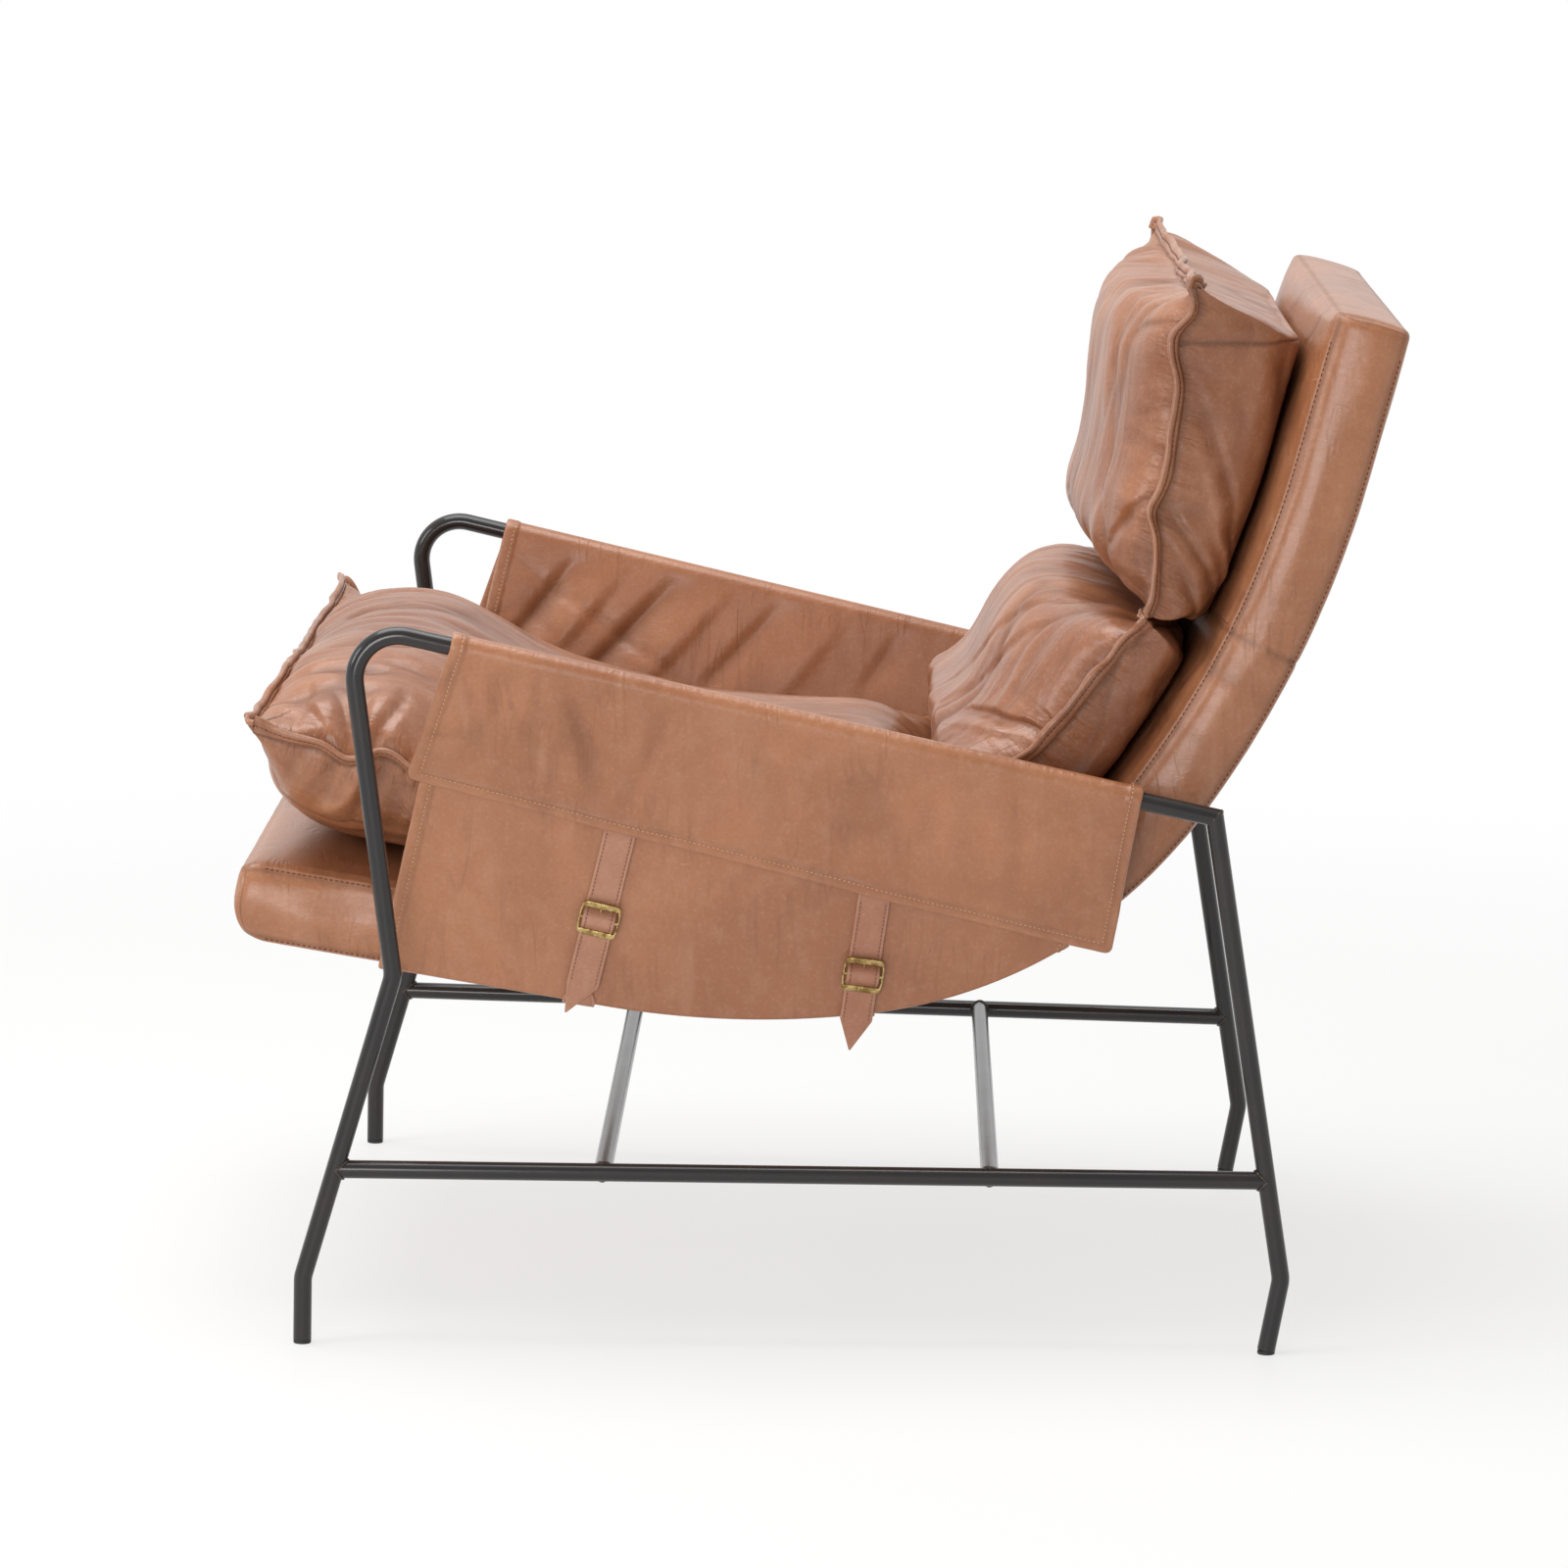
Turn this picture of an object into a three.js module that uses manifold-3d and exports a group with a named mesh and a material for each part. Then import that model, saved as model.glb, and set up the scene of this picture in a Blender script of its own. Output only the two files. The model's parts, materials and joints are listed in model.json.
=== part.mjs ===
// Leather sling lounge chair. Millimetres, +Z up, the front faces -Y, +X is the sitter's left.
// Depths (Y) are first measured from midway between the feet; the finished chair is centred on its box.
import * as THREE from 'three';
import { mergeVertices } from 'three/addons/utils/BufferGeometryUtils.js';
import Module from 'manifold-3d';

const wasm = await Module();
wasm.setup();

// General clearances
const seatGap = 0.3; // between touching pieces
const softGap = 0.8; // between a soft piece and what it lies on
const weldTolerance = 0.0005; // vertices nearer than this are one
const cutOverrun = 20; // how far a cutter runs past what it cuts

// Frame tube
const tubeDiameter = 14;
const tubeWall = 1.5;
const tubeSides = 16;
const bendStepAngle = 15; // degrees between rings round a bend

// Side frame, seen from the side
const footSpan = 740; // front foot to rear foot
const frameHalfWidth = 355.2; // centre plane to tube, midway between the feet
const frameToeIn = 2.986; // degrees, the side frames close in towards the rear
const glideHeight = 3; // the part of a glide below its tube
const frontAnkleHeight = 51.5;
const frontKneeHeight = 286.5;
const frontKneeSetback = 66;
const armFrontHeight = 556.4;
const armFrontSetback = 28.2; // front foot to the meeting point of leg and arm lines
const armRearHeight = 417.7;
const armRearInset = 52; // rear foot to the rear corner
const rearAnkleHeight = 58.8;
const rearAnkleOverhang = 9.6;
const legBendRadius = 22;
const armBendRadius = 33;
const stretcherHeight = 136;
const frontBarDepth = -142.5;
const rearBarDepth = 153.8;

// Foot glides
const glideDiameter = 13.6;
const plugLength = 12;
const plugPlay = 0.45;

// Seat and back shell, along its middle line from the nose
const shellHalfWidth = 288;
const shellThickness = 60;
const noseDepth = -432;
const noseHeight = 328.4;
const seatPitch = 8.6; // degrees, the seat falls to the rear
const seatLength = 294;
const seatBendRadius = 676;
const seatBendAngle = 16.7;
const hipBendRadius = 339;
const hipBendAngle = 47;
const backBendRadius = 773;
const backBendAngle = 20.7;
const backLength = 119;
const faceCrown = 12; // the sat-on face stands up between its seams
const underCrown = 3.5;
const shellCrownPower = 4; // higher is flatter in the middle and steeper at the seams
const sideBulge = 3;
const noseUpperRound = 5;
const noseLowerRound = 18;
const noseRoundLength = 26;
const topRound = 7;
const coverLeather = 2;
const sectionSag = 0.5; // how far chords may leave the bends
const boardThickness = 12;
const boardSetback = 28; // end of the board behind the end of the casing
const boardEdgeInset = 4;

// Sling sheet
const slingLeather = 3;
const slingFrontArm = -264; // depth of its front edge on the arm
const slingRearArm = 261;
const slingFrontUnder = 117; // its front edge along the shell's middle line
const slingRearUnder = 640;
const flapFrontDrop = 105; // height of the flap's lower edge below the arm's centre line
const flapRearDrop = 126;
const flapFrontLean = 34.5; // how far the flap's lower corners lie ahead of its upper ones
const flapRearLean = 17.3;
const slingGatherRoom = 0.3; // extra room where the sheet folds round the shell's lower edge

// Straps
const strapWidth = 25;
const billetThickness = 2.2;
const chapeThickness = 1.8;
const billetHidden = 26; // sewn length under the flap
const tipLength = 26;
const tipBlunt = 2;
const chapeUnder = 45; // length under the shell
const billetBulge = 9; // half length of the billet's rise through the buckle
const billetCrest = 5; // length of each slope of the rise
const slingSeam = [274, 481]; // along the shell's middle line, where the straps cross its lower edge
const buckleRise = [71, 34]; // from the sling's lower edge up to the centre bars
const billetTail = [83, 65]; // from the centre bars to the tips
const strapLean = [0.22, 0.11]; // forward lean of the straps, per height

// Buckles
const buckleWidth = 30.4;
const buckleHeight = 26.5;
const buckleBar = 4.6;
const buckleSide = 1.7;
const buckleBow = 0.8;
const bucklePlate = 2.2;
const centreBarDiameter = 3;
const buckleRoom = 1.1; // between bars and straps, so that the buckle can rock
const prongWidth = 2.2;
const prongRingWidth = 3.4;
const prongRingWall = 1.4;
const prongPlay = 0.2;
const prongReach = 12.2;
const prongNotch = 0.8;
const prongSwing = 10; // degrees that the billet's hole allows
const buckleSwing = 3; // degrees that the buckle can rock each way

// Loose cushions, placed along the shell's middle line and above it
const cushionLeather = 2;
const fillGap = 0.6;
const flangeWidth = 11;
const flangeThickness = 4;
const zipWidth = 8;

// Each cushion runs from one place to another along the shell. Its seam and its crown are heights
// above the middle line, given at even steps from its first end to its second.
const cushions = {
  seat_cushion: {
    from: -12,
    to: 596,
    halfWidth: 312,
    sideDraw: 9,
    endDraw: 14,
    frontShare: 0.5,
    rearShare: 0.3,
    seam: [147, 134, 124, 116, 108, 98, 88],
    crown: [226, 211, 197, 184, 181, 170, 165],
    crownPower: 2.6,
    basePower: 3,
    endPower: 6,
    baseEndPower: 12,
    zipPlace: 420,
  },
  lumbar_cushion: {
    from: 606,
    to: 882,
    halfWidth: 300,
    sideDraw: 9,
    endDraw: 6,
    frontShare: 0.3,
    rearShare: 0.5,
    seam: [112, 108, 100, 92, 82, 66, 54],
    crown: [186, 164, 160, 162, 164, 162, 166],
    crownPower: 2.6,
    basePower: 4,
    endPower: 6,
    baseEndPower: 6,
    zipPlace: 700,
  },
  head_cushion: {
    from: 890,
    to: 1174,
    halfWidth: 294,
    sideDraw: 8,
    endDraw: 8,
    frontShare: 0.5,
    rearShare: 1,
    seam: [72, 88, 104, 118, 127, 136, 145],
    crown: [200, 170, 185, 191, 191, 182, 166],
    crownPower: 2.6,
    basePower: 4,
    endPower: 6,
    baseEndPower: 20,
    zipPlace: 960,
  },
};

const degree = Math.PI / 180;
const up = new THREE.Vector3(0, 0, 1);

// Finishes
const finishes = {
  tube: { color: 0x3a3836, roughness: 0.38, metalness: 0.7 },
  glide: { color: 0x1c1c1c, roughness: 0.6, metalness: 0 },
  leather: { color: 0xa9745a, roughness: 0.55, metalness: 0 },
  strapLeather: { color: 0xb5836b, roughness: 0.6, metalness: 0 },
  brass: { color: 0xa08a4c, roughness: 0.35, metalness: 0.9 },
  plywood: { color: 0xc9a877, roughness: 0.7, metalness: 0 },
  foam: { color: 0xe8e0c8, roughness: 0.9, metalness: 0 },
  fill: { color: 0xf0ece2, roughness: 0.95, metalness: 0 },
  zip: { color: 0x4a3226, roughness: 0.7, metalness: 0 },
};

const chair = new THREE.Group();

function addPiece(name, geometry, finish) {
  const mesh = new THREE.Mesh(geometry, new THREE.MeshStandardMaterial(finishes[finish]));
  mesh.name = name;
  chair.add(mesh);
  return mesh;
}

// Geometry helpers

function weld(geometry) {
  geometry.deleteAttribute('normal');
  geometry.deleteAttribute('uv');
  return mergeVertices(geometry, weldTolerance);
}

function toSolid(geometry) {
  const welded = weld(geometry.clone());
  return new wasm.Manifold(new wasm.Mesh({
    numProp: 3,
    vertProperties: new Float32Array(welded.attributes.position.array),
    triVerts: new Uint32Array(welded.index.array),
  }));
}

function toGeometry(solid) {
  const mesh = solid.getMesh();
  const positions = new Float32Array(3 * mesh.numVert);
  for (let i = 0; i < mesh.numVert; i += 1) {
    positions.set(mesh.vertProperties.subarray(i * mesh.numProp, i * mesh.numProp + 3), 3 * i);
  }
  const geometry = new THREE.BufferGeometry();
  geometry.setAttribute('position', new THREE.BufferAttribute(positions, 3));
  geometry.setIndex(Array.from(mesh.triVerts));
  return geometry;
}

function subtract(geometry, ...cutters) {
  const cut = cutters.reduce((solid, cutter) => solid.subtract(toSolid(cutter)), toSolid(geometry));
  return toGeometry(cut);
}

function intersect(geometry, other) {
  return toGeometry(toSolid(geometry).intersect(toSolid(other)));
}

function join(geometry, other) {
  return toGeometry(toSolid(geometry).add(toSolid(other)));
}

function signedVolume(points, triangles) {
  const cross = new THREE.Vector3();
  let total = 0;
  for (const [a, b, c] of triangles) total += points[a].dot(cross.crossVectors(points[b], points[c]));
  return total;
}

function solidFrom(points, triangles) {
  const outward = signedVolume(points, triangles) > 0;
  const geometry = new THREE.BufferGeometry().setFromPoints(points);
  geometry.setIndex(triangles.flatMap(([a, b, c]) => (outward ? [a, b, c] : [a, c, b])));
  return geometry;
}

// Closed body from rings of points, each end closed to the ring's middle
function loft(rings) {
  const count = rings[0].length;
  const points = rings.flat();
  const triangles = [];
  for (let i = 0; i + 1 < rings.length; i += 1) {
    for (let j = 0; j < count; j += 1) {
      const k = (j + 1) % count;
      triangles.push([i * count + j, i * count + k, (i + 1) * count + k]);
      triangles.push([i * count + j, (i + 1) * count + k, (i + 1) * count + j]);
    }
  }
  const middle = (ring) => ring.reduce((sum, p) => sum.add(p), new THREE.Vector3()).divideScalar(count);
  points.push(middle(rings[0]), middle(rings[rings.length - 1]));
  const last = (rings.length - 1) * count;
  for (let j = 0; j < count; j += 1) {
    const k = (j + 1) % count;
    triangles.push([k, j, points.length - 2]);
    triangles.push([last + j, last + k, points.length - 1]);
  }
  return solidFrom(points, triangles);
}

// Closed body between two grids of points that share their layout
function sandwich(upper, lower) {
  const rows = upper.length;
  const columns = upper[0].length;
  const points = [...upper.flat(), ...lower.flat()];
  const below = rows * columns;
  const triangles = [];
  const quad = (a, b, c, d) => triangles.push([a, b, c], [a, c, d]);
  for (let i = 0; i + 1 < rows; i += 1) {
    for (let j = 0; j + 1 < columns; j += 1) {
      const a = i * columns + j;
      quad(a, a + 1, a + columns + 1, a + columns);
      quad(below + a, below + a + columns, below + a + columns + 1, below + a + 1);
    }
  }
  const border = [];
  for (let j = 0; j < columns - 1; j += 1) border.push(j);
  for (let i = 0; i < rows - 1; i += 1) border.push(i * columns + columns - 1);
  for (let j = columns - 1; j > 0; j -= 1) border.push((rows - 1) * columns + j);
  for (let i = rows - 1; i > 0; i -= 1) border.push(i * columns);
  border.forEach((a, i) => {
    const b = border[(i + 1) % border.length];
    quad(b, a, below + a, below + b);
  });
  return solidFrom(points, triangles);
}

function gridNormals(grid) {
  const rows = grid.length;
  const columns = grid[0].length;
  return grid.map((row, i) => row.map((point, j) => {
    const [before, after] = [Math.max(i - 1, 0), Math.min(i + 1, rows - 1)];
    const down = new THREE.Vector3().subVectors(grid[after][j], grid[before][j]);
    const [left, right] = [Math.max(j - 1, 0), Math.min(j + 1, columns - 1)];
    const across = new THREE.Vector3().subVectors(row[right], row[left]);
    return down.cross(across).normalize();
  }));
}

// A sheet of even thickness whose middle surface is the grid
function sheet(grid, thickness) {
  const normals = gridNormals(grid);
  const offset = (side) => grid.map((row, i) => row.map((point, j) => (
    point.clone().addScaledVector(normals[i][j], side * thickness / 2)
  )));
  return sandwich(offset(1), offset(-1));
}

function mirrored(geometry) {
  const copy = weld(geometry.clone());
  copy.scale(-1, 1, 1);
  const flipped = [];
  for (let i = 0; i < copy.index.count; i += 3) {
    flipped.push(copy.index.getX(i), copy.index.getX(i + 2), copy.index.getX(i + 1));
  }
  copy.setIndex(flipped);
  return copy;
}

// A box with its faces across three given directions
function boxAt(centre, directions, sizes) {
  const box = new THREE.BoxGeometry(sizes[0], sizes[1], sizes[2]);
  box.applyMatrix4(new THREE.Matrix4().makeBasis(...directions).setPosition(centre));
  return box;
}

// Tubes

// A curve through chosen ring stations, so that a straight needs two rings only
class StationCurve extends THREE.Curve {
  constructor(stations) {
    super();
    this.stations = stations;
  }

  getPoint(t, target = new THREE.Vector3()) {
    const place = t * (this.stations.length - 1);
    const index = Math.min(Math.floor(place), this.stations.length - 2);
    return target.lerpVectors(this.stations[index], this.stations[index + 1], place - index);
  }

  getPointAt(u, target) {
    return this.getPoint(u, target);
  }

  getTangent(t, target = new THREE.Vector3()) {
    const index = Math.round(t * (this.stations.length - 1));
    const before = this.stations[Math.max(index - 1, 0)];
    const here = this.stations[index];
    const after = this.stations[Math.min(index + 1, this.stations.length - 1)];
    const incoming = new THREE.Vector3().subVectors(here, before).normalize();
    const outgoing = new THREE.Vector3().subVectors(after, here).normalize();
    return target.addVectors(incoming, outgoing).normalize();
  }

  getTangentAt(u, target) {
    return this.getTangent(u, target);
  }
}

// Ring stations along straight stretches joined by round bends
function bentRoute(corners) {
  const stations = [corners[0].at.clone()];
  for (let i = 1; i + 1 < corners.length; i += 1) {
    const { at, radius } = corners[i];
    const incoming = new THREE.Vector3().subVectors(at, corners[i - 1].at).normalize();
    const outgoing = new THREE.Vector3().subVectors(corners[i + 1].at, at).normalize();
    const turn = incoming.angleTo(outgoing);
    const inward = outgoing.clone().addScaledVector(incoming, -incoming.dot(outgoing)).normalize();
    const start = at.clone().addScaledVector(incoming, -radius * Math.tan(turn / 2));
    const steps = Math.max(2, Math.ceil(turn / (bendStepAngle * degree)));
    for (let step = 0; step <= steps; step += 1) {
      const angle = turn * step / steps;
      stations.push(start.clone()
        .addScaledVector(incoming, radius * Math.sin(angle))
        .addScaledVector(inward, radius * (1 - Math.cos(angle))));
    }
  }
  stations.push(corners[corners.length - 1].at.clone());
  return stations;
}

function tubeAlong(stations, radius, boreRadius) {
  const section = new THREE.Shape().absarc(0, 0, radius, 0, 2 * Math.PI);
  if (boreRadius > 0) section.holes.push(new THREE.Path().absarc(0, 0, boreRadius, 0, 2 * Math.PI, true));
  return weld(new THREE.ExtrudeGeometry(section, {
    steps: stations.length - 1,
    curveSegments: tubeSides / 2,
    bevelEnabled: false,
    extrudePath: new StationCurve(stations),
  }));
}

const tubeRadius = tubeDiameter / 2;
const boreRadius = tubeRadius - tubeWall;
const toeIn = frameToeIn * degree;

// A point of the left side frame, given as depth and height
function onFrame(depth, height) {
  return new THREE.Vector3(frameHalfWidth - depth * Math.tan(toeIn), depth, height);
}

const frontFoot = -footSpan / 2;
const rearFoot = footSpan / 2;
const tubeBottom = glideHeight + seatGap;
const armFront = onFrame(frontFoot + armFrontSetback, armFrontHeight);
const rearCorner = onFrame(rearFoot - armRearInset, armRearHeight);
const rearAnkle = onFrame(rearFoot + rearAnkleOverhang, rearAnkleHeight);
const armDirection = new THREE.Vector3().subVectors(rearCorner, armFront).normalize();
const rearLegDirection = new THREE.Vector3().subVectors(rearAnkle, rearCorner).normalize();

const armRoute = bentRoute([
  { at: onFrame(frontFoot, tubeBottom) },
  { at: onFrame(frontFoot, frontAnkleHeight), radius: legBendRadius },
  { at: onFrame(frontFoot + frontKneeSetback, frontKneeHeight), radius: legBendRadius },
  { at: armFront, radius: armBendRadius },
  { at: rearCorner.clone().addScaledVector(armDirection, tubeDiameter) },
]);
const rearLegRoute = bentRoute([
  { at: rearCorner.clone().addScaledVector(rearLegDirection, -tubeDiameter) },
  { at: rearAnkle, radius: legBendRadius },
  { at: onFrame(rearFoot, 0) },
]);

// A block behind the mitre plane of the rear corner: side 1 trims the arm, side -1 the leg
function mitreCutter(side) {
  const across = new THREE.Vector3().addVectors(armDirection, rearLegDirection).normalize();
  const sideways = new THREE.Vector3().crossVectors(across, up).normalize();
  const size = 4 * tubeDiameter;
  const centre = rearCorner.clone().addScaledVector(across, side * (size - seatGap) / 2);
  const directions = [sideways, new THREE.Vector3().crossVectors(across, sideways), across];
  return boxAt(centre, directions, [size, size, size]);
}

// Where a leg's centre line stands at a height, between two of its corners
function depthAtHeight(lower, upper, height) {
  const share = (height - lower.z) / (upper.z - lower.z);
  return THREE.MathUtils.lerp(lower.y, upper.y, share);
}

const frontLegAtStretcher = depthAtHeight(
  onFrame(frontFoot, frontAnkleHeight),
  onFrame(frontFoot + frontKneeSetback, frontKneeHeight),
  stretcherHeight,
);
const rearLegAtStretcher = depthAtHeight(rearAnkle, rearCorner, stretcherHeight);
const stretcherRoute = [
  onFrame(frontLegAtStretcher, stretcherHeight),
  onFrame(rearLegAtStretcher, stretcherHeight),
];

function makeStretcher() {
  const legs = [armRoute, rearLegRoute].map((route) => tubeAlong(route, tubeRadius + seatGap, 0));
  return subtract(tubeAlong(stretcherRoute, tubeRadius, boreRadius), ...legs);
}

function makeCrossBar(depth) {
  const end = onFrame(depth, stretcherHeight);
  const route = [new THREE.Vector3(-end.x, end.y, end.z), end];
  const stretcher = tubeAlong(stretcherRoute, tubeRadius + seatGap, 0);
  return subtract(tubeAlong(route, tubeRadius, boreRadius), stretcher, mirrored(stretcher));
}

// A disc on the floor with a plug that stands in the open tube, in the direction of the leg
function makeGlide(route, depth) {
  const discRadius = glideDiameter / 2;
  const plugRadius = boreRadius * Math.cos(Math.PI / tubeSides) - plugPlay;
  const disc = new THREE.CylinderGeometry(discRadius, discRadius, glideHeight, tubeSides);
  disc.rotateX(Math.PI / 2);
  disc.translate(0, 0, glideHeight / 2);
  const foot = route[route.length - 1];
  const direction = new THREE.Vector3().subVectors(route[route.length - 2], foot).normalize();
  const plug = new THREE.CylinderGeometry(plugRadius, plugRadius, 2 * plugLength, tubeSides);
  plug.rotateX(Math.PI / 2);
  plug.applyQuaternion(new THREE.Quaternion().setFromUnitVectors(up, direction));
  const below = new THREE.BoxGeometry(2 * tubeDiameter, 2 * tubeDiameter, 2 * plugLength);
  below.translate(0, 0, glideHeight / 2 - plugLength);
  const glide = join(disc, subtract(plug, below));
  const place = onFrame(depth, 0);
  glide.translate(place.x, place.y, place.z);
  return glide;
}

// Cuts a leg level above the disc of its glide
function footCutter(depth) {
  const foot = onFrame(depth, tubeBottom - cutOverrun);
  const box = new THREE.BoxGeometry(2 * cutOverrun, 2 * cutOverrun, 2 * cutOverrun);
  box.translate(foot.x, foot.y, foot.z);
  return box;
}

function addFrame() {
  const armTube = subtract(tubeAlong(armRoute, tubeRadius, boreRadius), mitreCutter(1));
  const wholeLeg = tubeAlong(rearLegRoute, tubeRadius, boreRadius);
  const rearLeg = subtract(wholeLeg, mitreCutter(-1), footCutter(rearFoot));
  const stretcher = makeStretcher();
  addPiece('left_arm_tube', armTube, 'tube');
  addPiece('right_arm_tube', mirrored(armTube), 'tube');
  addPiece('left_rear_leg', rearLeg, 'tube');
  addPiece('right_rear_leg', mirrored(rearLeg), 'tube');
  addPiece('left_stretcher', stretcher, 'tube');
  addPiece('right_stretcher', mirrored(stretcher), 'tube');
  addPiece('front_cross_bar', makeCrossBar(frontBarDepth), 'tube');
  addPiece('rear_cross_bar', makeCrossBar(rearBarDepth), 'tube');
  const frontGlide = makeGlide([...armRoute].reverse(), frontFoot);
  const rearGlide = makeGlide(rearLegRoute, rearFoot);
  addPiece('left_front_glide', frontGlide, 'glide');
  addPiece('right_front_glide', mirrored(frontGlide), 'glide');
  addPiece('left_rear_glide', rearGlide, 'glide');
  addPiece('right_rear_glide', mirrored(rearGlide), 'glide');
}

// The shell's middle line: a straight, three bends and a straight

class MiddleLine {
  constructor(start, angle, stretches) {
    this.pieces = [];
    let point = start;
    let heading = angle;
    let from = 0;
    for (const { length = 0, radius = 0, turn = 0 } of stretches) {
      const run = radius > 0 ? radius * turn : length;
      this.pieces.push({ point, heading, from, radius, run });
      const end = this.evaluate(this.pieces.length - 1, from + run);
      point = end.point;
      heading = end.heading;
      from += run;
    }
    this.length = from;
  }

  evaluate(index, along) {
    const { point, heading, from, radius } = this.pieces[index];
    const run = along - from;
    if (radius === 0) {
      const straight = new THREE.Vector2(Math.cos(heading), Math.sin(heading)).multiplyScalar(run);
      return { point: straight.add(point), heading };
    }
    const next = heading + run / radius;
    const arc = new THREE.Vector2(
      radius * (Math.sin(next) - Math.sin(heading)),
      radius * (Math.cos(heading) - Math.cos(next)),
    );
    return { point: arc.add(point), heading: next };
  }

  // The point at a distance along the line, across the chair and above the line
  at(across, along, above) {
    const inside = this.pieces.filter((piece) => piece.from <= along).length;
    const { point, heading } = this.evaluate(Math.max(inside - 1, 0), along);
    return new THREE.Vector3(
      across,
      point.x - above * Math.sin(heading),
      point.y + above * Math.cos(heading),
    );
  }

  directionsAt(along) {
    const origin = this.at(0, along, 0);
    const above = this.at(0, along, 1).sub(origin);
    const sideways = new THREE.Vector3(1, 0, 0);
    return [sideways, new THREE.Vector3().crossVectors(above, sideways), above];
  }
}

const shellLine = new MiddleLine(new THREE.Vector2(noseDepth, noseHeight), -seatPitch * degree, [
  { length: seatLength },
  { radius: seatBendRadius, turn: seatBendAngle * degree },
  { radius: hipBendRadius, turn: hipBendAngle * degree },
  { radius: backBendRadius, turn: backBendAngle * degree },
  { length: backLength },
]);

const faceShares = [-1, -0.93, -0.72, -0.38, 0, 0.38, 0.72, 0.93, 1];
const underShares = [1, 0.85, 0.45, 0, -0.45, -0.85, -1];
const halfShell = shellThickness / 2;

function faceHeight(share) {
  return halfShell + faceCrown * Math.sqrt(1 - Math.abs(share) ** shellCrownPower);
}

function underHeight(share) {
  return -halfShell - underCrown * (1 - Math.abs(share) ** shellCrownPower);
}

// One section of the casing, drawn in by an inset all round and more at the nose and the top
function shellRing(along, inset, upperDraw, lowerDraw, crowned) {
  const half = shellHalfWidth - inset - Math.max(upperDraw, lowerDraw) / 4;
  const place = (across, above) => shellLine.at(across, along, above);
  const upper = faceShares.map((share) => place(share * half, faceHeight(share) - inset - upperDraw));
  const lower = underShares.map((share) => (
    place(share * half, underHeight(crowned ? share : 1) + inset + lowerDraw)
  ));
  return [...upper, place(half + sideBulge, 0), ...lower, place(-half - sideBulge, 0)];
}

// Distances along the shell that need a section, so that chords stay close to the bends
function sectionPlaces(from, to) {
  const places = [from];
  for (const piece of shellLine.pieces) {
    const steps = piece.radius > 0 ? Math.ceil(piece.run / Math.sqrt(8 * piece.radius * sectionSag)) : 1;
    for (let i = 0; i < steps; i += 1) places.push(piece.from + piece.run * i / steps);
  }
  places.push(to);
  return [...new Set(places.filter((place) => place >= from && place <= to))].sort((a, b) => a - b);
}

function shellBody(inset) {
  const draws = [
    [inset, noseUpperRound, noseLowerRound],
    [inset + noseRoundLength / 3, noseUpperRound / 4, noseLowerRound / 2],
  ];
  const rings = draws.map(([along, upper, lower]) => shellRing(along, inset, upper, lower, true));
  const body = sectionPlaces(noseRoundLength, shellLine.length - topRound);
  rings.push(...body.map((along) => shellRing(along, inset, 0, 0, true)));
  rings.push(shellRing(shellLine.length - inset, inset, topRound / 2, topRound / 2, false));
  return loft(rings);
}

// A layer inside the casing, between two heights that may vary across
function shellLayer(half, from, to, shares, lowAt, highAt) {
  const rings = sectionPlaces(from, to).map((along) => {
    const low = shares.map((share) => shellLine.at(share * half, along, lowAt(share)));
    const high = shares.map((share) => shellLine.at(share * half, along, highAt(share)));
    return [...high, ...low.reverse()];
  });
  return loft(rings);
}

// A slot box through a skin that lies square across the shell's middle line
function skinSlot(along, above, length, width, depth) {
  return boxAt(shellLine.at(0, along, above), shellLine.directionsAt(along), [length, width, depth]);
}

// Opens a hollow casing with a slot and fills the slot with a zip
function zipInto(casing, along, above, length, depth) {
  const opening = skinSlot(along, above, length, zipWidth, depth);
  const strip = skinSlot(along, above, length - 2 * seatGap, zipWidth - 2 * seatGap, depth);
  return { cover: subtract(casing, opening), zip: intersect(casing, strip) };
}

function addShell() {
  const inner = coverLeather + seatGap;
  const casing = subtract(shellBody(0), shellBody(coverLeather));
  const parts = zipInto(casing, seatLength, underHeight(0) + coverLeather, shellHalfWidth, zipWidth);
  addPiece('shell_cover', parts.cover, 'leather');
  addPiece('shell_zip', parts.zip, 'zip');
  const half = shellHalfWidth - inner;
  const end = shellLine.length - boardSetback;
  const edges = [-1, 1];
  const board = shellLayer(half - boardEdgeInset, boardSetback, end, edges, () => -boardThickness, () => 0);
  addPiece('shell_board', board, 'plywood');
  const foamShares = [-1, -0.93, -0.38, 0.38, 0.93, 1];
  const foamStart = noseRoundLength;
  const foamEnd = shellLine.length - topRound;
  const faceSide = (share) => faceHeight(share) - inner;
  const topFoam = shellLayer(half, foamStart, foamEnd, foamShares, () => seatGap, faceSide);
  addPiece('shell_top_foam', topFoam, 'foam');
  const underSide = () => inner - halfShell;
  const underBoard = () => -boardThickness - seatGap;
  const underFoam = shellLayer(half, foamStart, foamEnd, edges, underSide, underBoard);
  addPiece('shell_under_foam', underFoam, 'foam');
}

// Sling sheet. A station runs from the flap's lower edge over the arm, down and under the shell.

const wrapSteps = 8;
const wrapRadius = (tubeRadius + seatGap) / Math.cos(Math.PI / 2 / wrapSteps) + slingLeather / 2;
const frameOutward = new THREE.Vector3(Math.cos(toeIn), Math.sin(toeIn), 0);
const armUp = new THREE.Vector3().crossVectors(frameOutward, armDirection).normalize();

function armPoint(depth) {
  const share = (depth - armFront.y) / (rearCorner.y - armFront.y);
  return new THREE.Vector3().lerpVectors(armFront, rearCorner, share);
}

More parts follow.
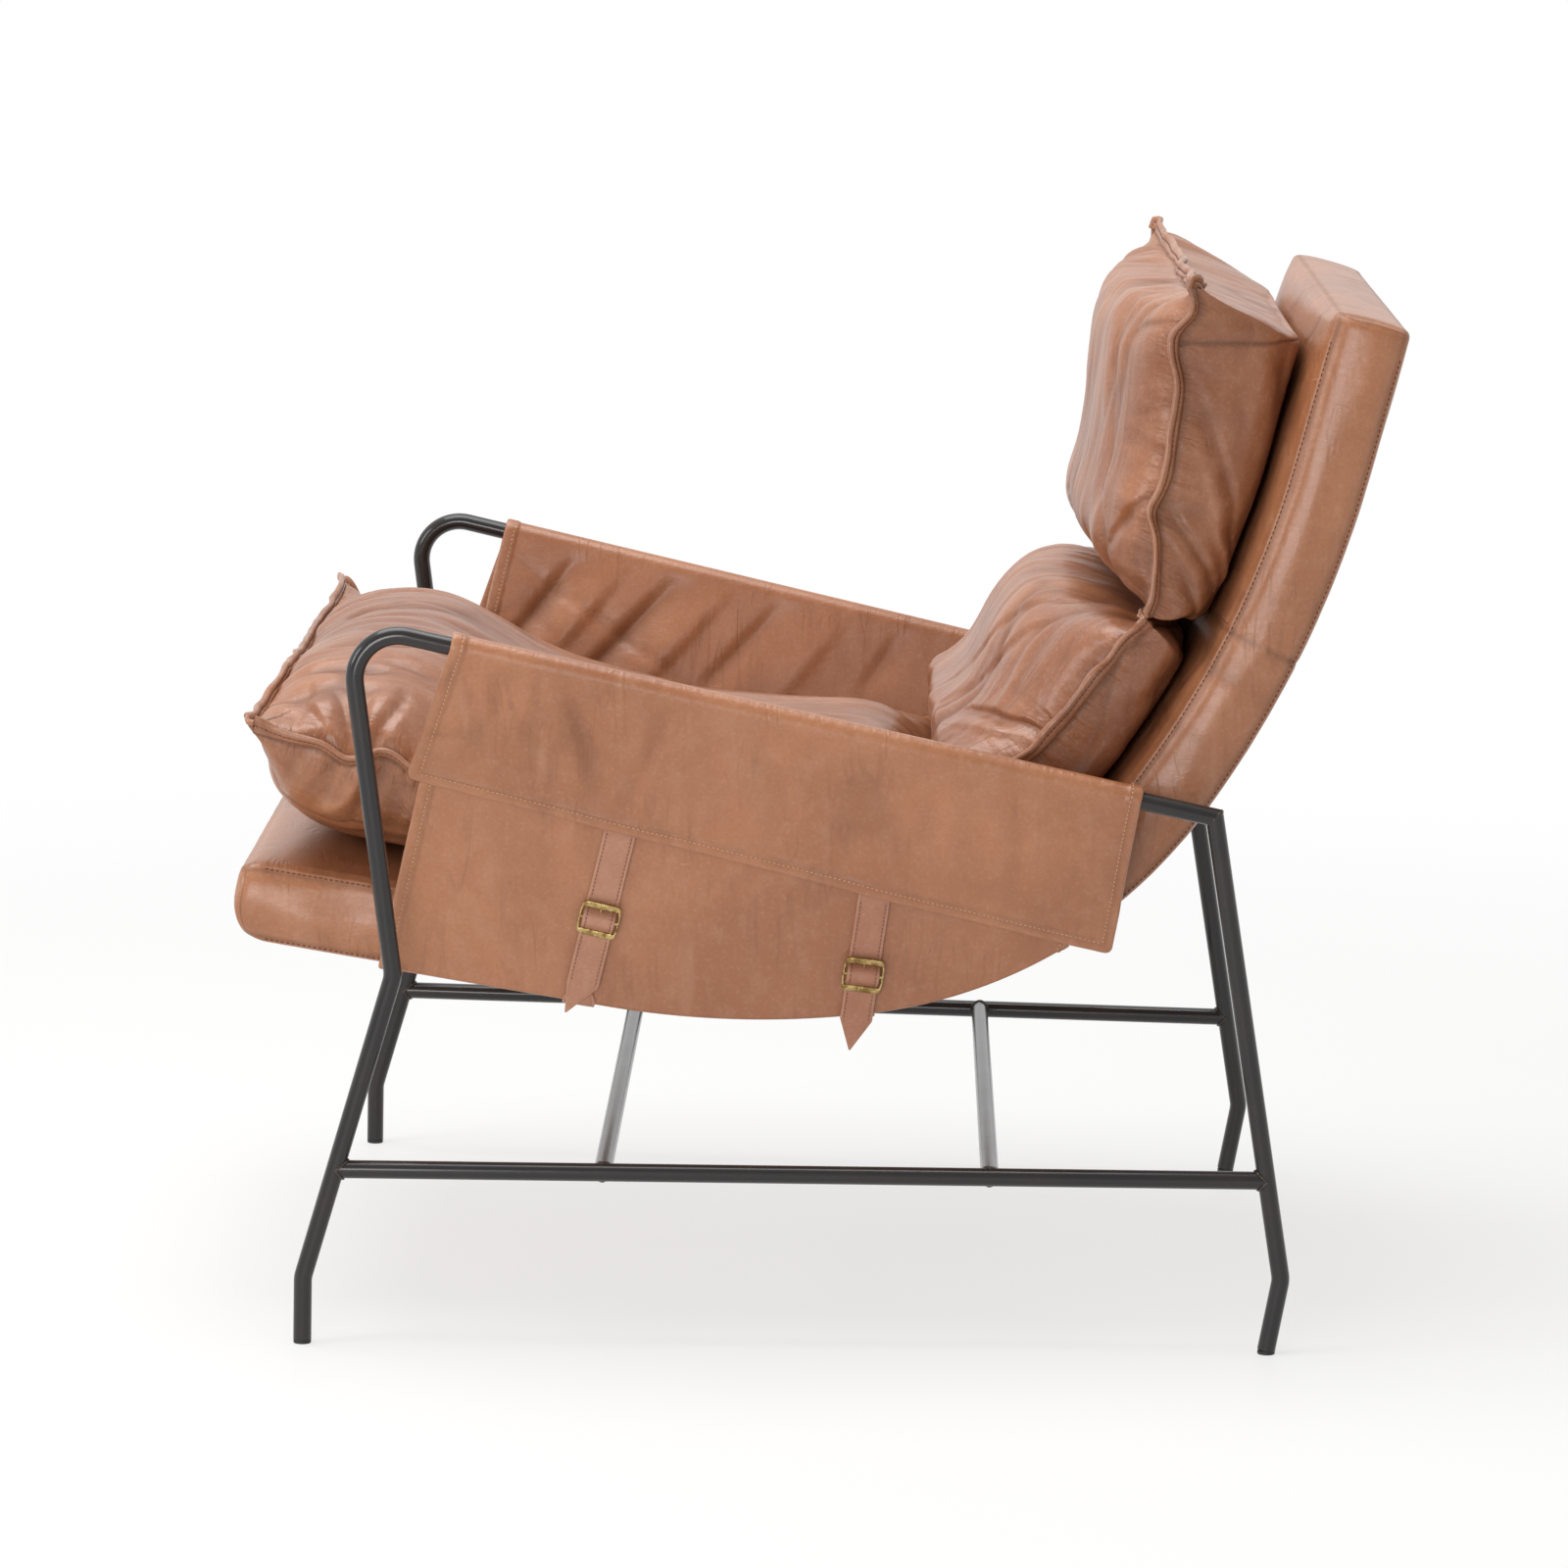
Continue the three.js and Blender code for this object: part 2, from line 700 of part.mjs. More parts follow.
// Points round the shell's lower edge and on to the middle of its underside
function slingUnder(share) {
  const along = THREE.MathUtils.lerp(slingFrontUnder, slingRearUnder, share);
  const clear = seatGap + slingLeather / 2;
  const turnRadius = clear + slingGatherRoom;
  const corner = [0, 1, 2].map((step) => {
    const angle = step * Math.PI / 4;
    const across = shellHalfWidth + turnRadius * Math.cos(angle);
    return shellLine.at(across, along, -halfShell - turnRadius * Math.sin(angle));
  });
  const under = underShares.slice(1, 4).map((part) => (
    shellLine.at(part * shellHalfWidth, along, underHeight(part) - clear)
  ));
  return [...corner, ...under];
}

function wrapPoint(centre, angle, radius) {
  return centre.clone()
    .addScaledVector(frameOutward, radius * Math.cos(angle))
    .addScaledVector(armUp, radius * Math.sin(angle));
}

// The panel between the arm and the shell's lower edge, as two points
function panelEnds(share) {
  const centre = armPoint(THREE.MathUtils.lerp(slingFrontArm, slingRearArm, share));
  const [corner] = slingUnder(share);
  const lean = Math.atan2(centre.x - wrapRadius - corner.x, centre.z - corner.z);
  return { centre, lean, top: wrapPoint(centre, Math.PI - lean, wrapRadius), bottom: corner };
}

function panelNormal(share) {
  const stepShare = 0.01;
  const here = panelEnds(share);
  const next = panelEnds(share + stepShare);
  const down = new THREE.Vector3().subVectors(here.bottom, here.top);
  const along = new THREE.Vector3().subVectors(next.bottom, here.bottom)
    .add(new THREE.Vector3().subVectors(next.top, here.top));
  return down.cross(along).normalize();
}

// The flap's lower edge lies on the billets that are sewn inside it
function flapEdge(share) {
  const { centre, top, bottom } = panelEnds(share);
  const drop = THREE.MathUtils.lerp(flapFrontDrop, flapRearDrop, share);
  const lean = THREE.MathUtils.lerp(flapFrontLean, flapRearLean, share);
  const part = (top.z - centre.z + drop) / (top.z - bottom.z);
  const onPanel = new THREE.Vector3().lerpVectors(top, bottom, part);
  const clear = slingLeather + billetThickness + 2 * softGap;
  onPanel.addScaledVector(panelNormal(share), clear);
  onPanel.y = centre.y - lean;
  return onPanel;
}

// The left half of one station, from the flap's lower edge to the middle under the shell
function slingStation(share) {
  const { centre, lean, bottom } = panelEnds(share);
  const edge = flapEdge(share);
  const flapLean = Math.atan2(centre.x + wrapRadius - edge.x, centre.z - edge.z);
  const first = -flapLean;
  const last = Math.PI - lean;
  const wrap = [];
  for (let i = 0; i <= wrapSteps; i += 1) {
    wrap.push(wrapPoint(centre, THREE.MathUtils.lerp(first, last, i / wrapSteps), wrapRadius));
  }
  return [
    edge,
    new THREE.Vector3().lerpVectors(edge, wrap[0], 0.5),
    ...wrap,
    new THREE.Vector3().lerpVectors(wrap[wrapSteps], bottom, 0.5),
    ...slingUnder(share),
  ];
}

const slingRun = slingRearUnder - slingFrontUnder;
const stationShares = sectionPlaces(slingFrontUnder, slingRearUnder).map((place) => (
  (place - slingFrontUnder) / slingRun
));
const stations = stationShares.map(slingStation);
const bottomIndex = wrapSteps + 4; // place of the shell's lower edge in a station

function addSling() {
  const acrossCentre = (point) => new THREE.Vector3(-point.x, point.y, point.z);
  const grid = stations.map((left) => [...left, ...left.slice(0, -1).reverse().map(acrossCentre)]);
  addPiece('sling_sheet', sheet(grid, slingLeather), 'leather');
}

// The sling's points between two of its stations
function onSling(share) {
  const next = Math.min(stationShares.findIndex((place) => place > share), stationShares.length - 1);
  const part = (share - stationShares[next - 1]) / (stationShares[next] - stationShares[next - 1]);
  const before = stations[next - 1];
  return stations[next].map((point, i) => new THREE.Vector3().lerpVectors(before[i], point, part));
}

// Straps and buckles. Each buckle has its own directions: down the panel, out of it and along it.

const centreBarRadius = centreBarDiameter / 2;
const topBarUnder = softGap + billetThickness + buckleRoom;
const lowBarUnder = softGap + seatGap + chapeThickness + billetThickness + buckleRoom;
const barSpan = buckleHeight - buckleBar;
const buckleTilt = Math.asin((lowBarUnder - topBarUnder) / barSpan);
const centreBarLift = (topBarUnder + lowBarUnder) / 2 + bucklePlate / 2;
const loopRadius = centreBarRadius + seatGap + chapeThickness / 2;

// The place and directions of a buckle on the left panel
function buckleFrame(alongShell, rise, lean) {
  const share = (alongShell - slingFrontUnder) / slingRun;
  const step = strapWidth / slingRun / 2;
  const [before, here, after] = [share - step, share, share + step].map(onSling);
  const bottom = here[bottomIndex];
  const along = new THREE.Vector3()
    .addVectors(after[bottomIndex], after[bottomIndex - 1])
    .sub(before[bottomIndex])
    .sub(before[bottomIndex - 1]);
  const out = new THREE.Vector3().subVectors(bottom, here[bottomIndex - 1]).cross(along).normalize();
  const down = new THREE.Vector3(0, -lean, -1);
  down.addScaledVector(out, -down.dot(out)).normalize();
  const origin = bottom.clone().addScaledVector(down, -rise).addScaledVector(out, slingLeather / 2);
  return { share, origin, down, out, side: new THREE.Vector3().crossVectors(down, out) };
}

function inBuckle(frame, downBy, outBy, sideBy) {
  return frame.origin.clone()
    .addScaledVector(frame.down, downBy)
    .addScaledVector(frame.out, outBy)
    .addScaledVector(frame.side, sideBy);
}

// The billet's middle line in a buckle's own directions: down, out and half width
function billetLine(frame, tail) {
  const flat = softGap + billetThickness / 2;
  const onChape = flat + chapeThickness + seatGap;
  const over = centreBarLift + loopRadius + chapeThickness / 2 + seatGap + billetThickness / 2;
  const half = strapWidth / 2;
  const edge = onSling(frame.share)[0].sub(frame.origin).dot(frame.down);
  const crest = billetBulge - billetCrest;
  const ease = billetThickness / 2;
  return [
    [edge - billetHidden, flat, half],
    [edge, flat, half],
    [-billetBulge - ease, flat, half],
    [-billetBulge + ease, flat + ease / 2, half],
    [-crest, over - ease, half],
    [-crest / 2, over, half],
    [crest / 2, over, half],
    [crest, over - ease, half],
    [billetBulge - ease, onChape + ease / 2, half],
    [billetBulge + ease, onChape, half],
    [tail - tipLength, onChape, half],
    [tail, onChape, tipBlunt / 2],
  ];
}

// The prong lies across the inner edge of the top bar's notch
function prongDirections(frame) {
  const reach = buckleHeight / 2 - buckleBar;
  const floor = bucklePlate / 2 - prongNotch;
  const lift = Math.asin((prongWidth / 2 + prongPlay) / Math.hypot(reach, floor));
  const angle = lift + Math.atan2(floor, reach) - buckleTilt;
  const along = frame.down.clone()
    .multiplyScalar(-Math.cos(angle))
    .addScaledVector(frame.out, Math.sin(angle));
  return { along, above: new THREE.Vector3().crossVectors(along, frame.side) };
}

function makeBillet(frame, tail) {
  const grid = billetLine(frame, tail).map(([downBy, outBy, half]) => [
    inBuckle(frame, downBy, outBy, -half),
    inBuckle(frame, downBy, outBy, half),
  ]);
  const { along, above } = prongDirections(frame);
  const from = billetBulge - billetCrest - billetThickness / 2;
  const to = billetBulge + billetThickness / 2;
  const roomBelow = prongWidth / 2 + prongPlay + to * Math.sin(buckleSwing * degree);
  const roomAbove = prongWidth / 2 + prongPlay + to * Math.sin((buckleSwing + prongSwing) * degree);
  const centre = inBuckle(frame, 0, centreBarLift, 0)
    .addScaledVector(along, (from + to) / 2)
    .addScaledVector(above, (roomAbove - roomBelow) / 2);
  const sizes = [to - from, roomAbove + roomBelow, prongWidth + 2 * prongPlay];
  const hole = boxAt(centre, [along, above, frame.side.clone().negate()], sizes);
  return subtract(sheet(grid, billetThickness), hole);
}

// The chape follows the sling round the shell's lower edge, up the panel and round the centre bar
function makeChape(frame) {
  const step = strapWidth / slingRun / 2;
  const clear = slingLeather / 2 + softGap + chapeThickness / 2;
  const columns = [frame.share - step, frame.share + step].map((share) => {
    const [corner, bend, turn, beside, middle] = onSling(share).slice(bottomIndex);
    const inward = (chapeUnder - turn.distanceTo(beside)) / beside.distanceTo(middle);
    return [new THREE.Vector3().lerpVectors(beside, middle, inward), beside, turn, bend, corner];
  });
  const rows = columns[0].map((_, i) => columns.map((column) => column[i]));
  const normals = gridNormals(rows);
  const outside = rows.map((row, i) => row.map((point, j) => (
    point.clone().addScaledVector(normals[i][j], -clear)
  )));
  const flat = softGap + chapeThickness / 2;
  const onChape = flat + chapeThickness + seatGap;
  const loopSteps = 8;
  const loopTurn = 240 * degree;
  const loop = [];
  for (let i = 0; i <= loopSteps; i += 1) {
    const angle = loopTurn * i / loopSteps - Math.PI / 2;
    loop.push([-loopRadius * Math.cos(angle), centreBarLift + loopRadius * Math.sin(angle)]);
  }
  const path = [
    [buckleHeight, flat],
    [1.5 * loopRadius, flat],
    ...loop,
    [loopRadius + chapeThickness, onChape],
    [loopRadius + 2 * chapeThickness, onChape],
  ];
  const half = strapWidth / 2;
  for (const [downBy, outBy] of path) {
    outside.push([-half, half].map((sideBy) => inBuckle(frame, downBy, outBy, sideBy)));
  }
  const slotLength = 2 * (loopRadius + chapeThickness);
  const slotCentre = inBuckle(frame, -seatGap, centreBarLift, 0);
  const slotSize = [slotLength - 2 * seatGap, 4 * loopRadius, prongRingWidth + 2 * prongPlay];
  const slot = boxAt(slotCentre, [frame.down, frame.out, frame.side], slotSize);
  return subtract(sheet(outside, chapeThickness), slot);
}

// Flat frame with two windows and a round centre bar, tilted as the straps hold it
function makeBuckle(frame) {
  const half = buckleWidth / 2;
  const tall = buckleHeight / 2;
  const outline = new THREE.Shape();
  const corner = buckleBar / 3;
  outline.moveTo(-half + corner, -tall);
  outline.lineTo(half - corner, -tall);
  outline.lineTo(half, -tall + corner);
  outline.quadraticCurveTo(half + 2 * buckleBow, 0, half, tall - corner);
  outline.lineTo(half - corner, tall);
  outline.lineTo(-half + corner, tall);
  outline.lineTo(-half, tall - corner);
  outline.quadraticCurveTo(-half - 2 * buckleBow, 0, -half, -tall + corner);
  const window = new THREE.Path();
  const innerHalf = half - buckleSide;
  const innerTall = tall - buckleBar;
  window.moveTo(-innerHalf, -innerTall);
  window.quadraticCurveTo(-innerHalf - 2 * buckleBow, 0, -innerHalf, innerTall);
  window.lineTo(innerHalf, innerTall);
  window.quadraticCurveTo(innerHalf + 2 * buckleBow, 0, innerHalf, -innerTall);
  outline.holes.push(window);
  const plateForm = { depth: bucklePlate, bevelEnabled: false, curveSegments: 4 };
  const plate = new THREE.ExtrudeGeometry(outline, plateForm);
  plate.translate(0, 0, -bucklePlate / 2);
  const bar = new THREE.CylinderGeometry(centreBarRadius, centreBarRadius, buckleWidth - buckleSide, 10);
  bar.rotateZ(Math.PI / 2);
  const notch = new THREE.BoxGeometry(prongWidth + 2 * prongPlay, buckleBar + cutOverrun, 2 * prongNotch);
  notch.translate(0, tall + cutOverrun / 2 - buckleBar / 2, bucklePlate / 2);
  const buckle = subtract(join(plate, bar), notch);
  const upward = frame.down.clone().negate().applyAxisAngle(frame.side, buckleTilt);
  const outward = new THREE.Vector3().crossVectors(frame.side.clone().negate(), upward).normalize();
  const centre = inBuckle(frame, 0, centreBarLift, 0);
  const directions = [frame.side.clone().negate(), upward, outward];
  buckle.applyMatrix4(new THREE.Matrix4().makeBasis(...directions).setPosition(centre));
  return buckle;
}

// A ring round the centre bar with a flat tongue that rests in the top bar's notch
function makeProng(frame) {
  const inner = centreBarRadius + prongPlay;
  const ring = new THREE.Shape().absarc(0, 0, inner + prongRingWall, 0, 2 * Math.PI);
  ring.holes.push(new THREE.Path().absarc(0, 0, inner, 0, 2 * Math.PI, true));
  const ringForm = { depth: prongRingWidth, bevelEnabled: false, curveSegments: 6 };
  const loop = new THREE.ExtrudeGeometry(ring, ringForm);
  loop.translate(0, 0, -prongRingWidth / 2);
  const start = inner + prongRingWall / 2;
  const tongue = new THREE.BoxGeometry(prongReach - start, prongWidth, prongWidth);
  tongue.translate((prongReach + start) / 2, 0, 0);
  const prong = join(loop, tongue);
  const { along, above } = prongDirections(frame);
  const side = new THREE.Vector3().crossVectors(along, above);
  prong.applyMatrix4(new THREE.Matrix4().makeBasis(along, above, side)
    .setPosition(inBuckle(frame, 0, centreBarLift, 0)));
  return prong;
}

function addStraps() {
  ['front', 'rear'].forEach((end, i) => {
    const frame = buckleFrame(slingSeam[i], buckleRise[i], strapLean[i]);
    const pieces = [
      ['billet_strap', makeBillet(frame, billetTail[i]), 'strapLeather'],
      ['chape_strap', makeChape(frame), 'strapLeather'],
      ['buckle', makeBuckle(frame), 'brass'],
      ['prong', makeProng(frame), 'brass'],
    ];
    for (const [name, geometry, finish] of pieces) {
      addPiece(`left_${end}_${name}`, geometry, finish);
      addPiece(`right_${end}_${name}`, mirrored(geometry), finish);
    }
  });
}

// Cushions, lying on the shell's face

const cushionBase = halfShell + faceCrown + softGap;
const acrossShares = [-1, -0.97, -0.88, -0.72, -0.45, 0, 0.45, 0.72, 0.88, 0.97, 1];
const alongShares = [-1, -0.965, -0.87, -0.72, -0.5, -0.2, 0.12, 0.42, 0.68, 0.85, 0.96, 1];

// Height of a face at a place between two of its chosen heights
function heightAt(heights, place) {
  const scaled = place * (heights.length - 1);
  const index = Math.min(Math.floor(scaled), heights.length - 2);
  return THREE.MathUtils.lerp(heights[index], heights[index + 1], scaled - index);
}

// A rounded rise that is full in the middle and nothing at the seam
const dome = (share, power) => Math.sqrt(1 - Math.min(Math.abs(share), 1) ** power);

// A point of a cushion, given as shares of its half width and half length
function cushionPoint(cushion, u, v, flange, inset, heightOf) {
  const half = cushion.halfWidth - flange - inset - cushion.sideDraw * (1 - v * v);
  const from = cushion.from + flange * cushion.frontShare + inset;
  const to = cushion.to - flange * cushion.rearShare - inset;
  const along = (from + to) / 2 + v * (to - from) / 2 - cushion.endDraw * (1 - u * u) * v;
  const place = (v + 1) / 2;
  const above = heightOf(heightAt(cushion.seam, place), heightAt(cushion.crown, place));
  return shellLine.at(u * half, along, above);
}

// Heights of the crowned face and of the fuller base
function cushionRise(cushion, u, v, inset, side, seam, crown) {
  const far = side > 0 ? crown - inset : cushionBase + inset;
  const power = side > 0 ? cushion.crownPower : cushion.basePower;
  const endPower = side > 0 ? cushion.endPower : cushion.baseEndPower;
  const edge = seam + side * (flangeThickness - inset) / 2;
  return THREE.MathUtils.lerp(edge, far, dome(u, power) * dome(v, endPower));
}

// The stuffed body inside the seam
function cushionBody(cushion, inset) {
  const faces = [1, -1].map((side) => alongShares.map((v) => acrossShares.map((u) => (
    cushionPoint(cushion, u, v, flangeWidth, inset, (seam, crown) => (
      cushionRise(cushion, u, v, inset, side, seam, crown)
    ))
  ))));
  return sandwich(faces[0], faces[1]);
}

// The casing's outer skin, with the sewn flange that stands out all round the seam
function cushionSkin(cushion) {
  const rows = [-1, ...alongShares, 1];
  const columns = [-1, ...acrossShares, 1];
  const faces = [1, -1].map((side) => rows.map((v, i) => columns.map((u, j) => {
    const rim = i === 0 || j === 0 || i === rows.length - 1 || j === columns.length - 1;
    if (rim) return cushionPoint(cushion, u, v, 0, 0, (seam) => seam + side * flangeThickness / 2);
    return cushionPoint(cushion, u, v, flangeWidth, 0, (seam, crown) => (
      cushionRise(cushion, u, v, 0, side, seam, crown)
    ));
  })));
  return sandwich(faces[0], faces[1]);
}

function addCushions() {
  for (const [name, cushion] of Object.entries(cushions)) {
    const casing = subtract(cushionSkin(cushion), cushionBody(cushion, cushionLeather));
    const parts = zipInto(casing, cushion.zipPlace, cushionBase, cushion.halfWidth, 2 * zipWidth);
    addPiece(`${name}_cover`, parts.cover, 'leather');
    addPiece(`${name}_zip`, parts.zip, 'zip');
    addPiece(`${name}_fill`, cushionBody(cushion, cushionLeather + fillGap), 'fill');
  }
}

addFrame();
addShell();
addSling();
addStraps();
addCushions();

// The origin is under the middle of the chair's box
const bounds = new THREE.Box3().setFromObject(chair);
chair.position.y = -(bounds.min.y + bounds.max.y) / 2;

export default chair;
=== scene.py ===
"""Leather sling lounge chair: what shows of it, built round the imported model.

Sizes are in millimetres and depths are measured from midway between the feet, as a chair maker
would draw it. Bench turns them into Blender's metres. +X is the sitter's left, +Y the back, +Z up.
"""
import sys
import json
import logging
import math
from dataclasses import dataclass, replace
from enum import Enum
from typing import Callable, Optional, Sequence, Union

import bpy
import numpy as np
from mathutils import Matrix, Vector
from mathutils.kdtree import KDTree

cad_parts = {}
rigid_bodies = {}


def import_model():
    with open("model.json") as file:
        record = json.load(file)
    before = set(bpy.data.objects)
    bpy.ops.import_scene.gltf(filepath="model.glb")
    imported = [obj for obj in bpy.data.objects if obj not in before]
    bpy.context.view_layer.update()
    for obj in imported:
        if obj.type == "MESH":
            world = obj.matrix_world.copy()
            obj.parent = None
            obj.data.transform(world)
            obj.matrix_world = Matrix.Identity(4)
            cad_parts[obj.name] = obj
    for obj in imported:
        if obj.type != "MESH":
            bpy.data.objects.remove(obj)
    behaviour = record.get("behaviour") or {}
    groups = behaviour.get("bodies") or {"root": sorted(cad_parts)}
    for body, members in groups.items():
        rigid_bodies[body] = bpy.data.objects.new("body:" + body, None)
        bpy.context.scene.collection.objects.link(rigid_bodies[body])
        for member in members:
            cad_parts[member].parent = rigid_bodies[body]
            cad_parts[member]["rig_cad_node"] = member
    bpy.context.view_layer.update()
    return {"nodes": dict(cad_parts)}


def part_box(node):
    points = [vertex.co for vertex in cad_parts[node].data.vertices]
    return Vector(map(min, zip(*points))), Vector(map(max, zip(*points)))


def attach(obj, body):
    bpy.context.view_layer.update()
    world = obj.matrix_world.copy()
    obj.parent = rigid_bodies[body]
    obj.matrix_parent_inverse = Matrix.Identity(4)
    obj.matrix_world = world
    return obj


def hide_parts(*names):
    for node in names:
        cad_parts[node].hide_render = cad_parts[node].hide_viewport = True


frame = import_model()

log = logging.getLogger("chair")
Array = np.ndarray
Pair = tuple[Array, Array]
Marks = dict[str, Array]
Triple = tuple[float, float, float]
Object = bpy.types.Object
MM = 0.001
SIDES = {"left": 1.0, "right": -1.0}
EDGE_DEGREES = 40.0


# Number helpers


def unit(vectors: Array) -> Array:
    """Vectors of length one in the same directions."""
    return vectors / np.maximum(np.linalg.norm(vectors, axis=-1, keepdims=True), 1e-9)


def mix(a: Array, b: Array, share: Array) -> Array:
    """What lies a share of the way from a to b."""
    return a + (b - a) * share


def ease(value: Array, low: float = 0.0, high: float = 1.0) -> Array:
    """0 below low, 1 above high and a soft step between."""
    t = np.clip((value - low) / (high - low), 0, 1)
    return t * t * (3 - 2 * t)


def spline(heights: Sequence[float], place: Array) -> Array:
    """A smooth curve through heights at even steps.

    Args:
        heights: the heights, from the first end to the second.
        place: where to read it, from 0 to 1.

    Returns:
        The height at each place.
    """
    values = np.asarray(heights, float)
    scaled = np.clip(place, 0, 1) * (len(values) - 1)
    index = np.minimum(scaled.astype(int), len(values) - 2)
    t = scaled - index
    before, here, after, beyond = (
        values[np.clip(index + step, 0, len(values) - 1)] for step in (-1, 0, 1, 2)
    )
    slope_a, slope_b = (after - before) / 2, (beyond - here) / 2
    return (
        (2 * t**3 - 3 * t**2 + 1) * here
        + (t**3 - 2 * t**2 + t) * slope_a
        + (3 * t**2 - 2 * t**3) * after
        + (t**3 - t**2) * slope_b
    )


def bell(away: Array, width: float = 1.0) -> Array:
    """1 at no distance, falling off smoothly on both sides within about a width."""
    return np.exp(-((away / width) ** 2))


def round_edge(near: Array, radius: float, least: float) -> Array:
    """Share of a sheet's thickness near a rounded edge of some radius."""
    return np.sqrt(np.clip(1 - (1 - np.clip(near / radius, 0, 1)) ** 2, least, 1))


def around(count: int) -> Array:
    """Angles at even steps round a circle."""
    return np.arange(count) / count * 2 * np.pi


def read_at(places: Array, walked: Array, rows: Array) -> Array:
    """Rows of numbers, read at places between the distances at which they are known."""
    return np.stack([np.interp(places, walked, column) for column in rows.T], 1)


def lengths_along(points: Array, axis: int) -> Array:
    """Distance walked along one axis of a grid of points, from its first row or column.

    Args:
        points: a line or grid of points.
        axis: 0 to walk down rows, 1 across columns.

    Returns:
        The distance at each point, 0 at the start.
    """
    steps = np.linalg.norm(np.diff(points, axis=axis), axis=-1)
    walked = np.cumsum(steps, axis=axis)
    start = np.zeros_like(np.take(walked, [0], axis=axis))
    return np.concatenate([start, walked], axis=axis)


def grid_normals(points: Array) -> Array:
    """Unit normals of a grid of points, towards rows crossed with columns."""
    return unit(np.cross(np.gradient(points, axis=0), np.gradient(points, axis=1)))


def area_of(grid: Array) -> float:
    """Area of a grid of points."""
    return float(np.sum(np.linalg.norm(np.cross(
        grid[1:, :-1] - grid[:-1, :-1], grid[:-1, 1:] - grid[:-1, :-1]), axis=-1)))


def edge_spaced(total: float, step: float, hem: Sequence[float]) -> Array:
    """Places along a width: fine at both edges, as hem says, and even between."""
    inner = np.linspace(hem[-1], total - hem[-1], max(2, round((total - 2 * hem[-1]) / step) + 1))
    return np.concatenate([hem[:-1], inner, [total - place for place in reversed(hem[:-1])]])


def by_mark(upper: Sequence[Array], lower: Sequence[Array]) -> Marks:
    """The marks of two skins by name: tone, run along the nearest seam and distance from it."""
    return {name: np.stack(pair) for name, *pair in zip(("crease", "run", "seam"), upper, lower)}


class Noise:
    """Seeded smooth noise over two coordinates, from -1 to 1."""

    def __init__(self, seed: int, size: int = 97) -> None:
        """Args: seed fixes the pattern, size is where it starts again."""
        self.size = size
        self.values = np.random.default_rng(seed).uniform(-1, 1, (size, size))

    def at(self, x: Array, y: Array) -> Array:
        """The noise at places given in cells.

        Args:
            x: places in cells.
            y: the same the other way.

        Returns:
            The noise at each place.
        """
        x, y = np.broadcast_arrays(np.asarray(x, float), np.asarray(y, float))
        i, j = np.floor(x).astype(int), np.floor(y).astype(int)
        fx, fy = ease(x - i), ease(y - j)
        rows, next_rows = i % self.size, (i + 1) % self.size
        here, beside = (mix(self.values[rows, column], self.values[next_rows, column], fx)
                        for column in (j % self.size, (j + 1) % self.size))
        return mix(here, beside, fy)

    def soft(self, x: Array, y: Array) -> Array:
        """Two octaves of the noise."""
        return 0.7 * self.at(x, y) + 0.3 * self.at(2.1 * x + 7.3, 2.1 * y + 3.1)

    def puffs(self, x: Array, y: Array) -> Array:
        """Rounded ridges with sharp valleys between them, from about -1 to 1."""
        return 2.6 * np.sqrt(self.soft(x, y) ** 2 + 0.003) - 1

    def creases(self, x: Array, y: Array, width: float, share: float) -> Array:
        """Narrow valleys of finite length: 0 on flat leather to -1 at the bottom of a crease.

        Args:
            x: places across the creases, in cells.
            y: places along them, in cells.
            width: half width of a valley, in shares of a cell.
            share: how much of the leather is creased, from 0 to 1.
        """
        line = self.soft(x, y)
        where = ease(self.at(0.45 * x + 31.7, 0.6 * y + 11.9), 1 - 2 * share, 1.6 - 2 * share)
        return -bell(line, width) * where


@dataclass(frozen=True)
class Fold:
    """One fold placed on a surface's own two coordinates."""

    start: tuple[float, float]
    end: tuple[float, float]
    depth: float
    width: float

    def at(self, x: Array, y: Array) -> Array:
        """Its height at places on the surface, steeper on one side and fading at its ends.

        Args:
            x: places the first way.
            y: places the second way.

        Returns:
            The fold's height at each place.
        """
        (x0, y0), (x1, y1) = self.start, self.end
        dx, dy = x1 - x0, y1 - y0
        share = ((x - x0) * dx + (y - y0) * dy) / (dx * dx + dy * dy)
        t = np.clip(share, 0, 1)
        away = np.hypot(x - x0 - t * dx, y - y0 - t * dy)
        steep = ((x - x0) * dy > (y - y0) * dx) == (self.depth > 0)
        fade = 0.25 + 0.75 * np.sin(np.pi * np.clip(0.1 + 0.8 * t, 0, 1))
        return self.depth * fade * bell(away, self.width * np.where(steep, 0.4, 1.2))


# Blender's tools


